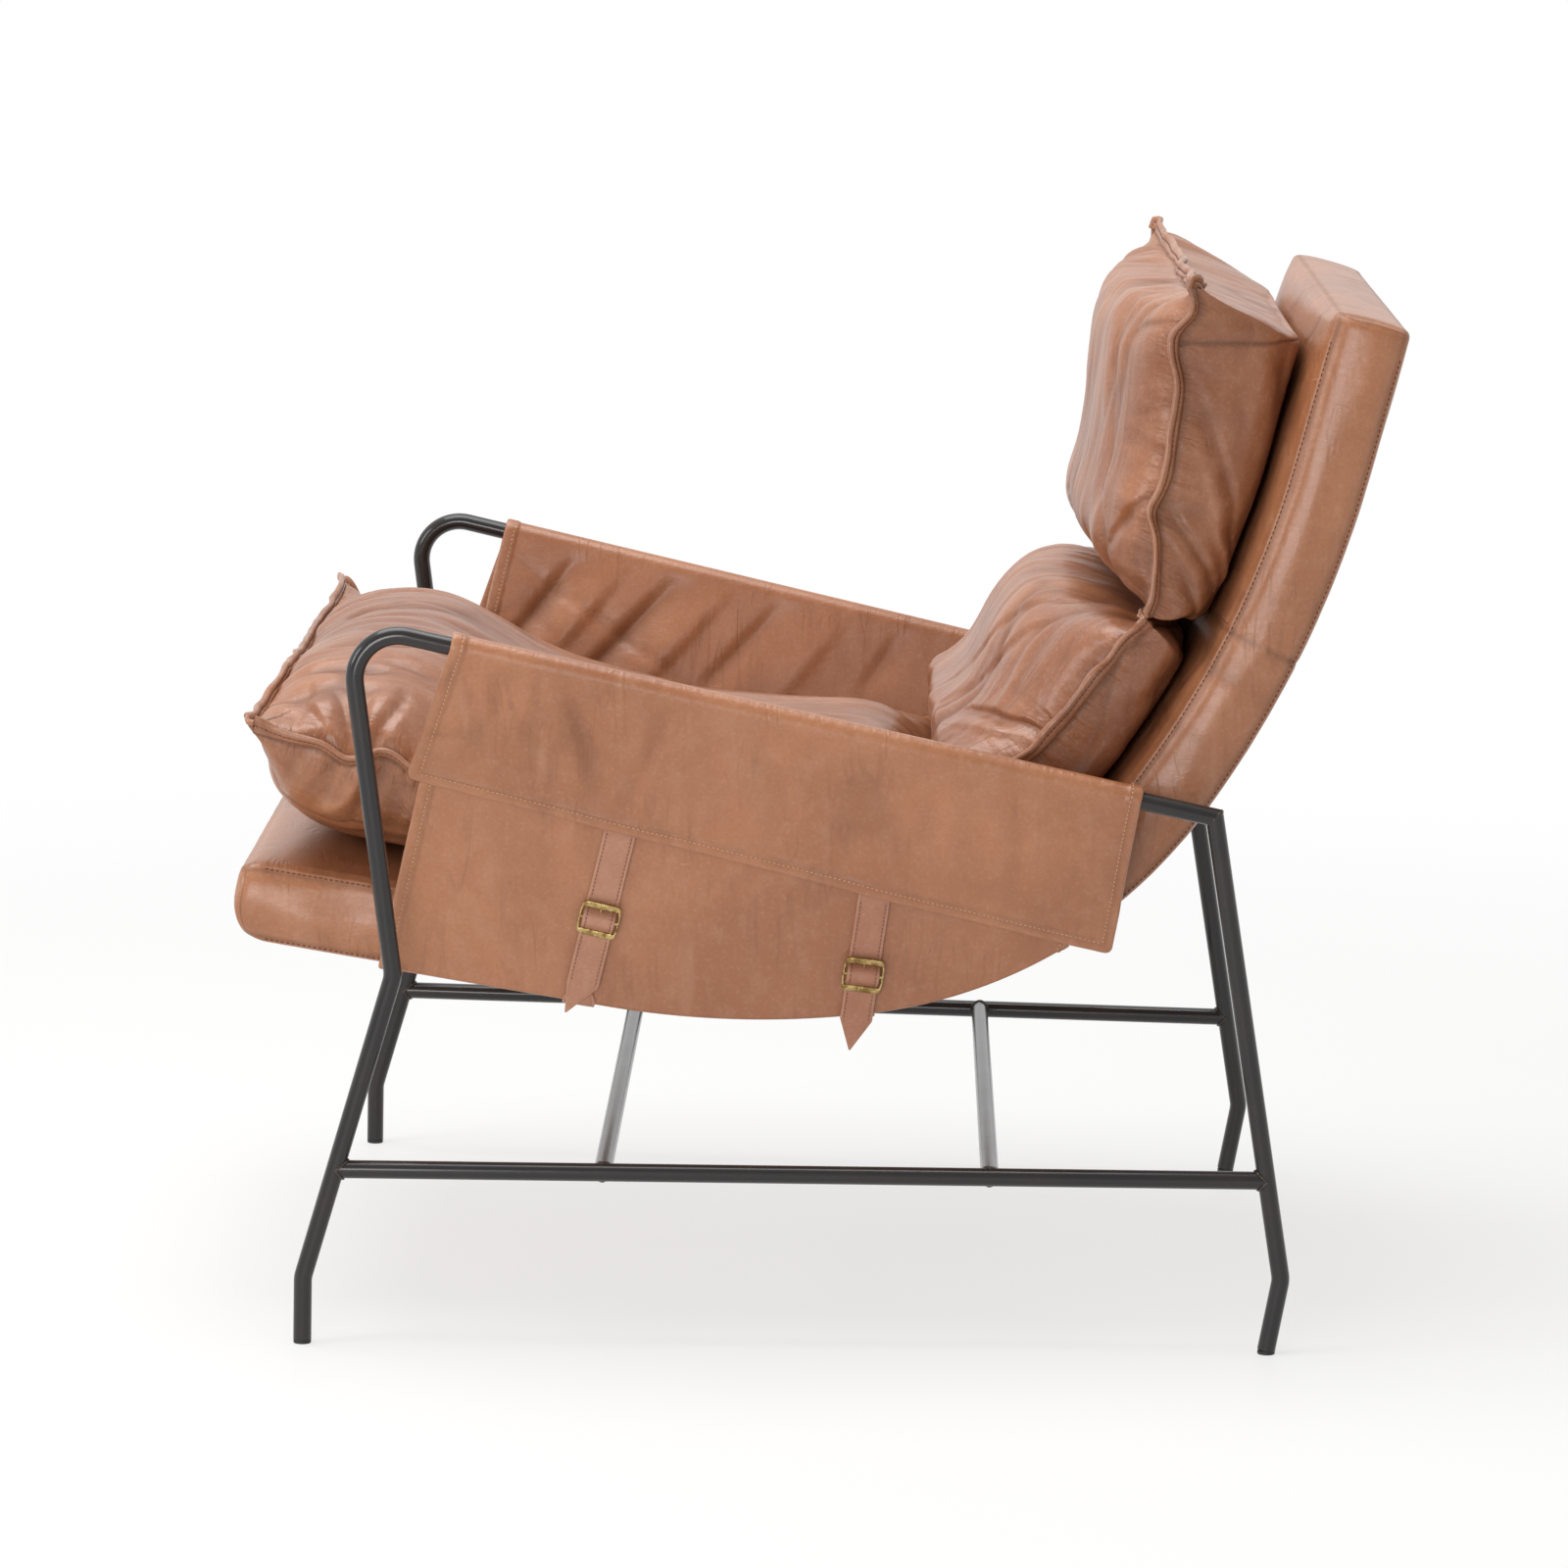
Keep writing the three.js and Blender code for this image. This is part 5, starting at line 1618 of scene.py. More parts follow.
    def half(self, shares: Array, buckled: Array, side: float) -> Pair:
        """One half of the sheet, from the flap's edge to the middle under the shell.

        Args:
            shares: a row of points for each share of the depth.
            buckled: the straps' shares.
            side: 1 on the left, -1 on the right.

        Returns:
            rows x columns x 3 points, and the tones.
        """
        centre, lean, top, bottom = self.panel(shares)
        edge = self.flap_edge(shares, buckled)
        flap_lean = np.arctan2(centre[:, 0] + self.wrap - edge[:, 0], centre[:, 2] - edge[:, 2])
        first, last = -flap_lean, np.pi - lean
        start = self.round_arm(centre, first)
        drop = float(np.mean(np.linalg.norm(start - edge, axis=-1)))
        down = edge_spaced(drop, self.step, self.edge_steps)
        down = down[down < drop - 2.0] / drop
        flap = mix(edge[:, None], start[:, None], down[None, :, None])
        self.flap_columns = flap.shape[1]
        turns = np.linspace(0, 1, self.arm_columns)
        wrap = self.round_arm(centre[:, None], mix(first[:, None], last[:, None], turns[None]))
        height = float(np.mean(np.linalg.norm(top - bottom, axis=-1)))
        steps = np.linspace(0, 1, round(height / self.step))[1:-1]
        inner = mix(top[:, None], bottom[:, None], steps[None, :, None])
        fold = self.lower_edge(shares[:, None], np.linspace(0, 90, self.fold_columns)[None, :])
        parts = np.linspace(1, 0, self.under_columns)[1:] * 0.985
        half = self.shell.half_thickness
        under_height = -half - self.shell.under_crown * (1 - np.abs(parts) ** 4) - self.under_gap
        under = LINE.at(parts * self.shell.half_width, self.along(shares)[:, None], under_height)
        grid = np.concatenate([flap, wrap, inner, fold, under], 1)
        rise, tone = self.slack(grid, flap.shape[1], wrap.shape[1], inner.shape[1], side)
        out = grid_normals(grid)
        out = out * np.sign(np.sum(out[:, 1] * self.panel_out(shares), -1).mean())
        return self.round_corners(grid + out * rise[..., None]), tone

    def slack(self, grid: Array, flap: int, wrap: int, inner: int, side: float) -> Pair:
        """Folds and waves of the hanging leather.

        Args:
            grid: the points, flap: columns of the flap, wrap: of the arm, inner: of the panel.
            side: 1 on the left, -1 on the right.

        Returns:
            Height of each point outwards, and its tone.
        """
        noise = Noise(40 + int(side))
        walked = lengths_along(grid, 1)
        run = lengths_along(grid, 0)
        columns = np.arange(grid.shape[1])
        on_flap = (columns < flap)[None, :]
        on_panel = ((columns >= flap + wrap) & (columns < flap + wrap + inner))[None, :]
        below_arm = np.abs(walked - walked[:, [flap + wrap // 2]])
        free = ease(walked, 12, 30) * on_flap * ease(below_arm, 12, 30)
        top = walked[:, [flap + wrap]]
        down = np.clip((walked - top) / (walked[:, [flap + wrap + inner]] - top), 0, 1)
        slack = np.sin(np.pi * down) * on_panel
        waves = noise.soft(run / 70 + walked / 130, walked / 90)
        creases = noise.creases(run / 48 + walked / 95, walked / 60 - run / 170, 0.09, 0.4)
        fine = noise.soft(run / 17, walked / 40 + 5)
        arm_lines = noise.at(run / 9, 3) * np.exp(-below_arm / 14)
        hem = np.exp(-walked / 9) * on_flap * noise.at(run / 16, 9)
        if side > 0:
            folds = sum(fold.at(run, walked) for fold in self.flap_folds())
        else:
            folds = sum(fold.at(run, walked - top) for fold in self.panel_folds())
        height = (free * (2.2 * waves + 1.1 * creases + 0.4 * fine + 1.7 * folds * on_flap)
                  + slack * (2.0 * waves + 1.5 * creases) + slack**0.25 * (folds if side < 0 else 0)
                  + 0.06 * arm_lines * on_flap + 0.3 * hem)
        # The tone is painted light from the relief: painted shade in the creases and along the stretch
        # lines below the arm, lighter and darker with the waves, puckers and folds as they rise and
        # fall; beyond the flap and panel, from the waves alone.
        tone = np.where(on_flap | on_panel, 0.4 * creases * np.maximum(free, slack) + 0.16 * waves
                        + 0.10 * fine + folds * np.where(on_flap, 0.03, 0.065 * slack**0.25)
                        + 0.08 * arm_lines, 0.15 * waves)
        return height, tone

    def flap_folds(self) -> list[Fold]:
        """The near flap's folds: run from the front edge, height from the lower edge."""
        return [Fold((18, 100), (42, 62), -2.2, 4.8), Fold((46, 104), (50, 60), -3.2, 5.6),
                Fold((66, 98), (64, 62), 2.7, 6.4), Fold((60, 84), (92, 52), -2.7, 5.6),
                Fold((84, 98), (124, 34), 2.9, 9.6), Fold((104, 100), (148, 30), -3.1, 8.0),
                Fold((150, 104), (172, 44), 2.2, 11), Fold((176, 108), (168, 20), -2.3, 6.4),
                Fold((214, 104), (262, 36), 2.0, 14), Fold((252, 108), (292, 44), -1.8, 10),
                Fold((30, 66), (24, 24), 1.8, 7.2), Fold((330, 110), (372, 60), -1.8, 9.6),
                Fold((390, 112), (416, 40), 1.4, 13), Fold((452, 112), (474, 40), -1.8, 8.8)]

    def panel_folds(self) -> list[Fold]:
        """The far panel's folds, seen over the seat: run, and distance below the arm."""
        return [Fold((62, 10), (22, 96), -6.8, 11), Fold((104, 8), (56, 104), 4.6, 13),
                Fold((150, 6), (88, 112), -7.4, 12), Fold((196, 6), (140, 104), 4.2, 14),
                Fold((244, 6), (198, 84), -4.4, 12), Fold((300, 5), (262, 80), 2.6, 14),
                Fold((350, 5), (330, 60), -2.4, 11), Fold((24, 24), (190, 92), -2.5, 6.4),
                Fold((410, 5), (396, 50), -1.6, 10)]

    def round_corners(self, grid: Array) -> Array:
        """Rounds the flap's two free corners.

        Args:
            grid: one half of the sheet.

        Returns:
            The half with its corners rounded.
        """
        made = grid.copy()
        count = 26
        for turned, view in ((grid, made), (grid[::-1], made[::-1])):
            source = turned[:count, :count]
            down = np.linalg.norm(source - source[:1], axis=-1)
            across = np.linalg.norm(source - source[:, :1], axis=-1)
            short_down, short_across = (np.maximum(1 - part / self.corner, 0) for part in (down, across))
            size = np.maximum(np.hypot(short_down, short_across), 1e-6)
            scale = self.corner * (1 - np.maximum(short_down, short_across) / size)
            view[:count, :count] = (
                source + (short_down * scale)[..., None] * unit(source[-1:] - source[:1])
                + (short_across * scale)[..., None] * unit(source[:, -1:] - source[:, :1]))
        return made

    def build(self, bench: Bench, shop: Shop, buckled: Array) -> None:
        """Makes the sheet and its stitches.

        Args:
            bench: makes the pieces.
            shop: takes them.
            buckled: the straps' shares of the sling's depth.
        """
        deep = self.rear_under - self.front_under
        shares = edge_spaced(deep, self.step, self.edge_steps) / deep
        (left, left_tone), (right, right_tone) = (self.half(shares, buckled, side)
                                                  for side in SIDES.values())
        right[..., 0] *= -1
        grid = np.concatenate([left, right[:, -2::-1]], 1)
        tone = np.concatenate([left_tone, right_tone[:, -2::-1]], 1)
        run, walked = lengths_along(grid, 0), lengths_along(grid, 1)
        ends = np.minimum(walked, walked[:, [-1]] - walked)
        sides = np.minimum(run, run[[-1]] - run)
        near = np.minimum(ends, sides)
        band = self.hem_leather * (1 - ease(near, self.hem - 0.8, self.hem + 0.8))
        groove = -0.7 * bell(near - self.stitch_inset)
        thickness = (self.leather + band + groove) * round_edge(near, 1.6, 0.02)
        # Painted shade in the stitch groove, and a painted shadow in a line just beyond the hem band's
        # step; lighter within 2.6 mm of the edge.
        tone = (tone + 0.5 * groove + 0.25 * (near < 2.6) - 0.25 * bell(near - (self.hem + 0.2), 0.9))
        arm = self.flap_columns + 8
        ridge = np.minimum(np.abs(walked - walked[:, [arm]]),
                           np.abs(walked - walked[:, [grid.shape[1] - 1 - arm]]))
        sheet = bench.leather("sling_leather", grid, thickness,
                              {"crease": tone, "run": run, "seam": ridge * 1.5 + 15})
        shop.deliver(sheet, Finish.HIDE, "chair", "sling_sheet")
        shop.sheet(sheet, float(run[-1].max()), float(walked[:, -1].max()), grid,
                   "left_arm_and_front_leg", "right_arm_and_front_leg")
        self.sew(shop, grid, near, thickness)

    def sew(self, shop: Shop, grid: Array, near: Array, thickness: Array) -> None:
        """Sews the hems: the depth's on both faces, the flaps' lower ones outside.

        Args:
            shop: takes the stitches.
            grid: the sheet's middle surface.
            near: each point's distance from the sheet's edge.
            thickness: of the leather at each point.
        """
        normal = grid_normals(grid)
        normal = normal * np.sign(normal[20, 30, 0])
        rows, columns = near.shape
        row = int(np.argmin(np.abs(lengths_along(grid, 0)[:, columns // 2] - self.stitch_inset)))
        column = int(np.argmin(np.abs(lengths_along(grid, 1)[rows // 2] - self.stitch_inset)))
        runs = []
        inner = slice(column, columns - column)
        for index in (row, rows - 1 - row):
            for face in (1, -1):
                points = grid[index] + face * normal[index] * thickness[index][:, None] / 2
                runs.append((points[inner], face * normal[index, inner]))
        for index in (column, columns - 1 - column):
            points = grid[:, index] + normal[:, index] * thickness[:, index][:, None] / 2
            runs.append((points[row:rows - row], normal[row:rows - row, index]))
        shop.stitches("sling_stitches", runs, Finish.PALE_THREAD, "chair", self.stitch)


# Straps and buckles


@dataclass
class BucklePlace:
    """A buckle's own directions on the left panel: down it, out of it and along it."""

    origin: Array
    down: Array
    out: Array
    side: Array

    def at(self, down: Array, out: Array, side: Array) -> Array:
        """Points given in the buckle's directions."""
        down, out, side = np.broadcast_arrays(*(np.asarray(p, float) for p in (down, out, side)))
        return (self.origin + down[..., None] * self.down + out[..., None] * self.out
                + side[..., None] * self.side)


class Tip(Enum):
    """How a strap's end is cut: how far its point lies off the middle, as a share of its half."""

    EVEN = 0.12
    SLANTED = 0.62


@dataclass
class Strap:
    """One buckled strap: billet, chape, buckle and prong."""

    end: str
    seam: float
    rise: float
    tail: float
    lean: float
    tip: Tip
    width: float = 25.0
    billet: float = 2.2
    chape: float = 1.8
    hidden: float = 26.0
    tip_length: float = 26.0
    chape_under: float = 45.0
    buckle_width: float = 30.4
    buckle_height: float = 29.6
    bar: float = 5.4
    rail: float = 1.7
    bow: float = 0.8
    plate: float = 2.2
    bar_room: float = 1.4
    ramp: tuple[float, ...] = (9.5, 7.5, 4.0, 2.0)
    ramp_rise: float = 1.1
    loop_degrees: float = 240.0
    centre_bar: float = 1.5
    room: float = 1.1
    lanes: tuple[float, ...] = (0, 0.3, 0.9, 2.0, 2.8, 3.4, 5, 8.5, 12.5, 16.5, 20, 21.6, 22.2,
                                23, 24.1, 24.7, 25)
    sewn_lanes: tuple[int, int] = (4, -5)
    groove: float = 0.35
    edge_round: float = 0.9
    line_step: float = 1.1
    ring_points: int = 96
    ring_power: float = 2 / 9
    notch: tuple[float, float] = (3.6, 0.25)
    tongue: float = 1.02
    curl_points: int = 24
    stitch: Stitch = Stitch(3.2, 1.15, 0.42, 0.3)

    def __post_init__(self) -> None:
        """Works out how high the buckle stands."""
        self.sling = Sling()
        soft, gap = self.sling.soft_gap, self.sling.seat_gap
        top = soft + self.billet + self.room
        low = soft + gap + self.chape + self.billet + self.room
        self.tilt = math.asin((low - top) / (self.buckle_height - self.bar))
        self.lift = (top + low) / 2 + self.plate / 2
        self.loop = self.centre_bar + gap + self.chape / 2
        deep = self.sling.rear_under - self.sling.front_under
        self.share = (self.seam - self.sling.front_under) / deep
        self.half_share = self.width / deep / 2
        self.place = self.find_place()

    def find_place(self) -> BucklePlace:
        """The buckle's place on the left panel."""
        _, _, top, bottom = self.sling.panel(self.share + self.half_share * np.array([-1, 0, 1]))
        middle = (top + bottom) / 2
        along = bottom[2] + middle[2] - bottom[0] - middle[0]
        out = unit(np.cross(bottom[1] - middle[1], along))
        down = np.array([0.0, -self.lean, -1.0])
        down = unit(down - out * (down @ out))
        origin = bottom[1] - down * self.rise + out * self.sling.leather / 2
        return BucklePlace(origin, down, out, np.cross(down, out))

    def band(self, bench: Bench, name: str, left: Array, right: Array, thickness: float,
             cut: Callable[[Array], Pair]) -> tuple[Object, Array, Array]:
        """A strap between two edge lines, with rounded edges and sewn grooves.

        Args:
            bench: makes the piece.
            name: its name.
            left: points of its first edge, right: of its second.
            thickness: of its leather.
            cut: gives, for the distance from its last end, the two edges' shares.

        Returns:
            The object, its outer surface and its normals.
        """
        across = np.array(self.lanes) / self.width
        walked = lengths_along((left + right) / 2, 0)
        to_end = walked[-1] - walked
        low, high = cut(to_end)
        shares = mix(low[:, None], high[:, None], across[None])
        middle = mix(left[:, None], right[:, None], shares[..., None])
        from_edge = np.minimum(across, 1 - across) * self.width
        width_now = (high - low)[:, None]
        near = np.minimum(from_edge[None] * np.maximum(width_now, 0.05),
                          np.minimum(to_end, walked)[:, None] + 0.15)
        groove = (self.groove * bell(from_edge[None] - self.lanes[self.sewn_lanes[0]], 0.6)
                  * ease(width_now, 0.3, 0.6))
        solid = (thickness - groove) * round_edge(near, self.edge_round, 0.03)
        noise = Noise(int(self.seam) + len(name))
        crumple = 0.18 * noise.soft(walked[:, None] / 14, across[None] * 3) * np.ones_like(solid)
        normal = grid_normals(middle)
        middle = middle + normal * crumple[..., None]
        # Painted shade in the sewn grooves, and lighter and darker with the crumples as they rise and
        # fall; lighter within 1 mm of the edges.
        tone = -0.25 * groove / self.groove + 0.5 * (near < 1.0) + 0.6 * crumple
        obj = bench.leather(name, middle, solid, {"crease": tone})
        return obj, middle, normal

    def billet_line(self) -> Array:
        """The billet's middle line, as distances down and out."""
        soft, gap = self.sling.soft_gap, self.sling.seat_gap
        flat = soft + self.billet / 2
        on_chape = flat + self.chape + gap
        over = self.lift + self.loop + self.chape / 2 + gap + self.billet / 2
        edge = float((self.sling.flap_edge(np.array([self.share]), np.array([self.share]))[0]
                      - self.place.origin) @ self.place.down)
        far, low, high, top = self.ramp
        rise = self.ramp_rise
        return np.array([
            (edge - self.hidden, flat), (edge, flat), (-far, flat), (-low, flat + rise),
            (-high, over - rise), (-top, over), (top, over), (high, over - rise),
            (low, on_chape + rise), (far, on_chape), (self.tail - self.tip_length, on_chape),
            (self.tail, on_chape)])

    def smoothed(self, marks: Array, step: float, blur: int) -> Array:
        """Even steps along a line of marks, with its corners eased.

        Args:
            marks: the line's corners.
            step: from point to point.
            blur: how often it is eased.

        Returns:
            The points.
        """
        walked = lengths_along(marks, 0)
        places = np.linspace(0, walked[-1], max(8, round(walked[-1] / step)))
        line = read_at(places, walked, marks)
        for _ in range(blur):
            line[1:-1] = (line[:-2] + 2 * line[1:-1] + line[2:]) / 4
        return line

    def point_cut(self, to_end: Array) -> Pair:
        """The billet's pointed end.

        Args:
            to_end: distance to the tip.

        Returns:
            The two edges' shares.
        """
        closing = np.clip(1 - to_end / self.tip_length, 0, 1)
        centre = 0.5 + 0.5 * self.tip.value
        return closing * (centre - 0.03), 1 - closing * (1 - centre - 0.03)

    def square_cut(self, to_end: Array) -> Pair:
        """A square end."""
        return np.zeros_like(to_end), np.ones_like(to_end)

    def chape_edges(self) -> Pair:
        """The chape's two edges, from under the shell up to its loop round the centre bar."""
        clear = self.sling.leather / 2 + self.sling.soft_gap + self.chape / 2
        flat = self.sling.soft_gap + self.chape / 2
        on_chape = flat + self.chape + self.sling.seat_gap
        angles = np.radians(self.loop_degrees) * np.linspace(0, 1, 25) - np.pi / 2
        loop = np.stack([-self.loop * np.cos(angles), self.lift + self.loop * np.sin(angles)], 1)
        path = np.concatenate([[[self.buckle_height, flat], [1.5 * self.loop, flat]], loop,
                               [[self.loop + self.chape, on_chape],
                                [self.loop + 2 * self.chape, on_chape]]])
        half_thick, across = self.sling.shell.half_thickness, self.sling.shell.half_width
        turn = self.sling.seat_gap + self.sling.leather / 2 + self.sling.edge_gap + clear
        angle = np.radians(np.linspace(90, 0, 9))
        edges = []
        for sign in (-1.0, 1.0):
            along = self.sling.along(self.share + sign * self.half_share)
            far = LINE.at(across - self.chape_under + turn, along, -half_thick - turn - 0.6)
            arc = LINE.at(across + turn * np.cos(angle), along, -half_thick - turn * np.sin(angle))
            top = self.place.at(path[:, 0], path[:, 1], sign * self.width / 2)
            edges.append(np.concatenate([[far], arc, top]))
        return edges[0], edges[1]

    def build(self, bench: Bench, shop: Shop, label: str, side: float) -> None:
        """Makes the strap's four pieces and its stitches on one side of the chair.

        Args:
            bench: makes the pieces.
            shop: takes them.
            label: names the side.
            side: 1 on the left, -1 on the right.
        """
        flip = np.array([side, 1.0, 1.0])
        line = self.smoothed(self.billet_line(), self.line_step, 3)
        half = self.width / 2
        edges = [self.place.at(line[:, 0], line[:, 1], sign * half) * flip for sign in (-1, 1)]
        name = f"{label}_{self.end}"
        billet, surface, normal = self.band(bench, f"{name}_billet", *edges, self.billet, self.point_cut)
        self.hand_over(shop, billet, surface, f"{name}_billet_strap")
        outward = np.sign(float(normal[5, 5] @ (self.place.out * flip)))
        shown = slice(round(self.hidden / self.line_step) + 2, -round(self.tip_length / self.line_step))
        from_bars = np.abs(np.abs(line[shown, 0]) - (self.buckle_height - self.bar) / 2)
        clear = np.flatnonzero(from_bars > self.bar / 2 + self.bar_room)
        stretches = np.split(clear, np.flatnonzero(np.diff(clear) > 1) + 1)
        lanes = [(surface[shown, lane] + outward * normal[shown, lane] * self.billet * 0.42,
                  outward * normal[shown, len(self.lanes) // 2]) for lane in self.sewn_lanes]
        shop.stitches(f"{name}_strap_stitches",
                      [(points[part], up[part]) for points, up in lanes for part in stretches],
                      Finish.STRAP_THREAD, "chair", self.stitch)
        left, right = (edge * flip for edge in self.chape_edges())
        merged = self.smoothed(np.concatenate([left, right], 1), 1.2, 2)
        chape, surface, _ = self.band(bench, f"{name}_chape", merged[:, :3], merged[:, 3:],
                                      self.chape, self.square_cut)
        self.hand_over(shop, chape, surface, f"{name}_chape_strap")
        self.buckle(bench, shop, name, flip)
        self.prong(bench, shop, name, flip)

    def hand_over(self, shop: Shop, strap: Object, surface: Array, node: str) -> None:
        """Delivers a strap and states the size it was cut to.

        Args:
            shop: takes the finished pieces.
            strap: the piece.
            surface: its middle surface.
            node: the solid it stands for.
        """
        shop.deliver(strap, Finish.STRAP, "chair", node)
        length = float(lengths_along(surface[:, surface.shape[1] // 2], 0)[-1])
        shop.sheet(strap, self.width, length, surface, "sling_leather")

    def buckle(self, bench: Bench, shop: Shop, name: str, flip: Array) -> None:
        """A rounded brass frame with slim bowed sides, and its centre bar.

        Args:
            bench: makes the pieces.
            shop: takes the finished pieces.
            name: the strap's side and end.
            flip: mirrors a point to the strap's side of the chair.
        """
        angle = around(self.ring_points) + np.pi / self.ring_points
        reach_x = self.buckle_width / 2 - self.rail / 2
        reach_y = self.buckle_height / 2 - self.bar / 2
        x, y = (reach * np.sign(part) * np.abs(part) ** self.ring_power
                for reach, part in ((reach_x, np.cos(angle)), (reach_y, np.sin(angle))))
        on_bar = ease(np.abs(y) / reach_y, 0.80, 1.0)
        x = x + np.sign(x) * self.bow * (1 - (y / reach_y) ** 2)
        heading = unit(np.stack([np.gradient(np.r_[part[-1], part, part[0]])[1:-1]
                                 for part in (x, y)], 1))
        side = self.place.side
        up = unit(self.place.out * math.sin(self.tilt) - self.place.down * math.cos(self.tilt))
        deep = np.cross(side, up)
        deep = deep * np.sign(deep @ self.place.out)
        centre = self.place.at(0.0, self.lift, 0.0)
        notch_width, notch_depth = self.notch
        notch = np.exp(-((x / (notch_width / 2)) ** 4)) * (y > 0) * notch_depth
        thick = mix(1.0, 1.28, on_bar) * self.plate / 2 - notch
        path = centre + x[:, None] * side + y[:, None] * up
        out = heading[:, 1:] * side - heading[:, :1] * up
        ring = bench.ring(f"{name}_buckle_ring", path * flip, out * flip, deep * flip,
                          mix(self.rail, self.bar, on_bar) / 2, thick, 16, 0.55)
        bar = bench.tube(f"{name}_bar", [Corner((centre + side * end * (reach_x + 0.4)) * flip)
                                         for end in (-1, 1)], self.centre_bar, 16)
        whole = bench.join([ring, bar], f"{name}_buckle_frame_brass")
        shop.deliver(whole, Finish.BUCKLE, f"{name}_buckle_frame", f"{name}_buckle")

    def prong(self, bench: Bench, shop: Shop, name: str, flip: Array) -> None:
        """A prong curled round the centre bar, with a tongue that lies in the top bar's notch.

        Args:
            bench: makes the pieces.
            shop: takes the finished pieces.
            name: the strap's side and end.
            flip: mirrors a point to the strap's side of the chair.
        """
        reach = self.buckle_height / 2 - self.bar
        floor = self.plate / 2 - 0.8
        lift = math.asin(1.3 / math.hypot(reach, floor))
        angle = lift + math.atan2(floor, reach) - self.tilt
        along = -self.place.down * math.cos(angle) + self.place.out * math.sin(angle)
        above = np.cross(along, self.place.side)
        above = above * np.sign(above @ self.place.out)
        centre = self.place.at(0.0, self.lift, 0.0)
        turn = around(self.curl_points)[:, None]
        out = np.cos(turn) * along + np.sin(turn) * above
        radius = self.centre_bar + 0.2 + 0.7
        loop = bench.ring(f"{name}_curl", (centre + radius * out) * flip, out * flip,
                          self.place.side * flip, np.full(self.curl_points, 0.66),
                          np.full(self.curl_points, 1.6), 10)
        ends = radius, self.buckle_height / 2 - 1.25
        tongue = bench.tube(f"{name}_tongue", [Corner((centre + along * end) * flip)
                                               for end in ends], self.tongue, 14)
        whole = bench.join([loop, tongue], f"{name}_prong_brass")
        shop.deliver(whole, Finish.BUCKLE, f"{name}_buckle_prong", f"{name}_prong")


# Cushions


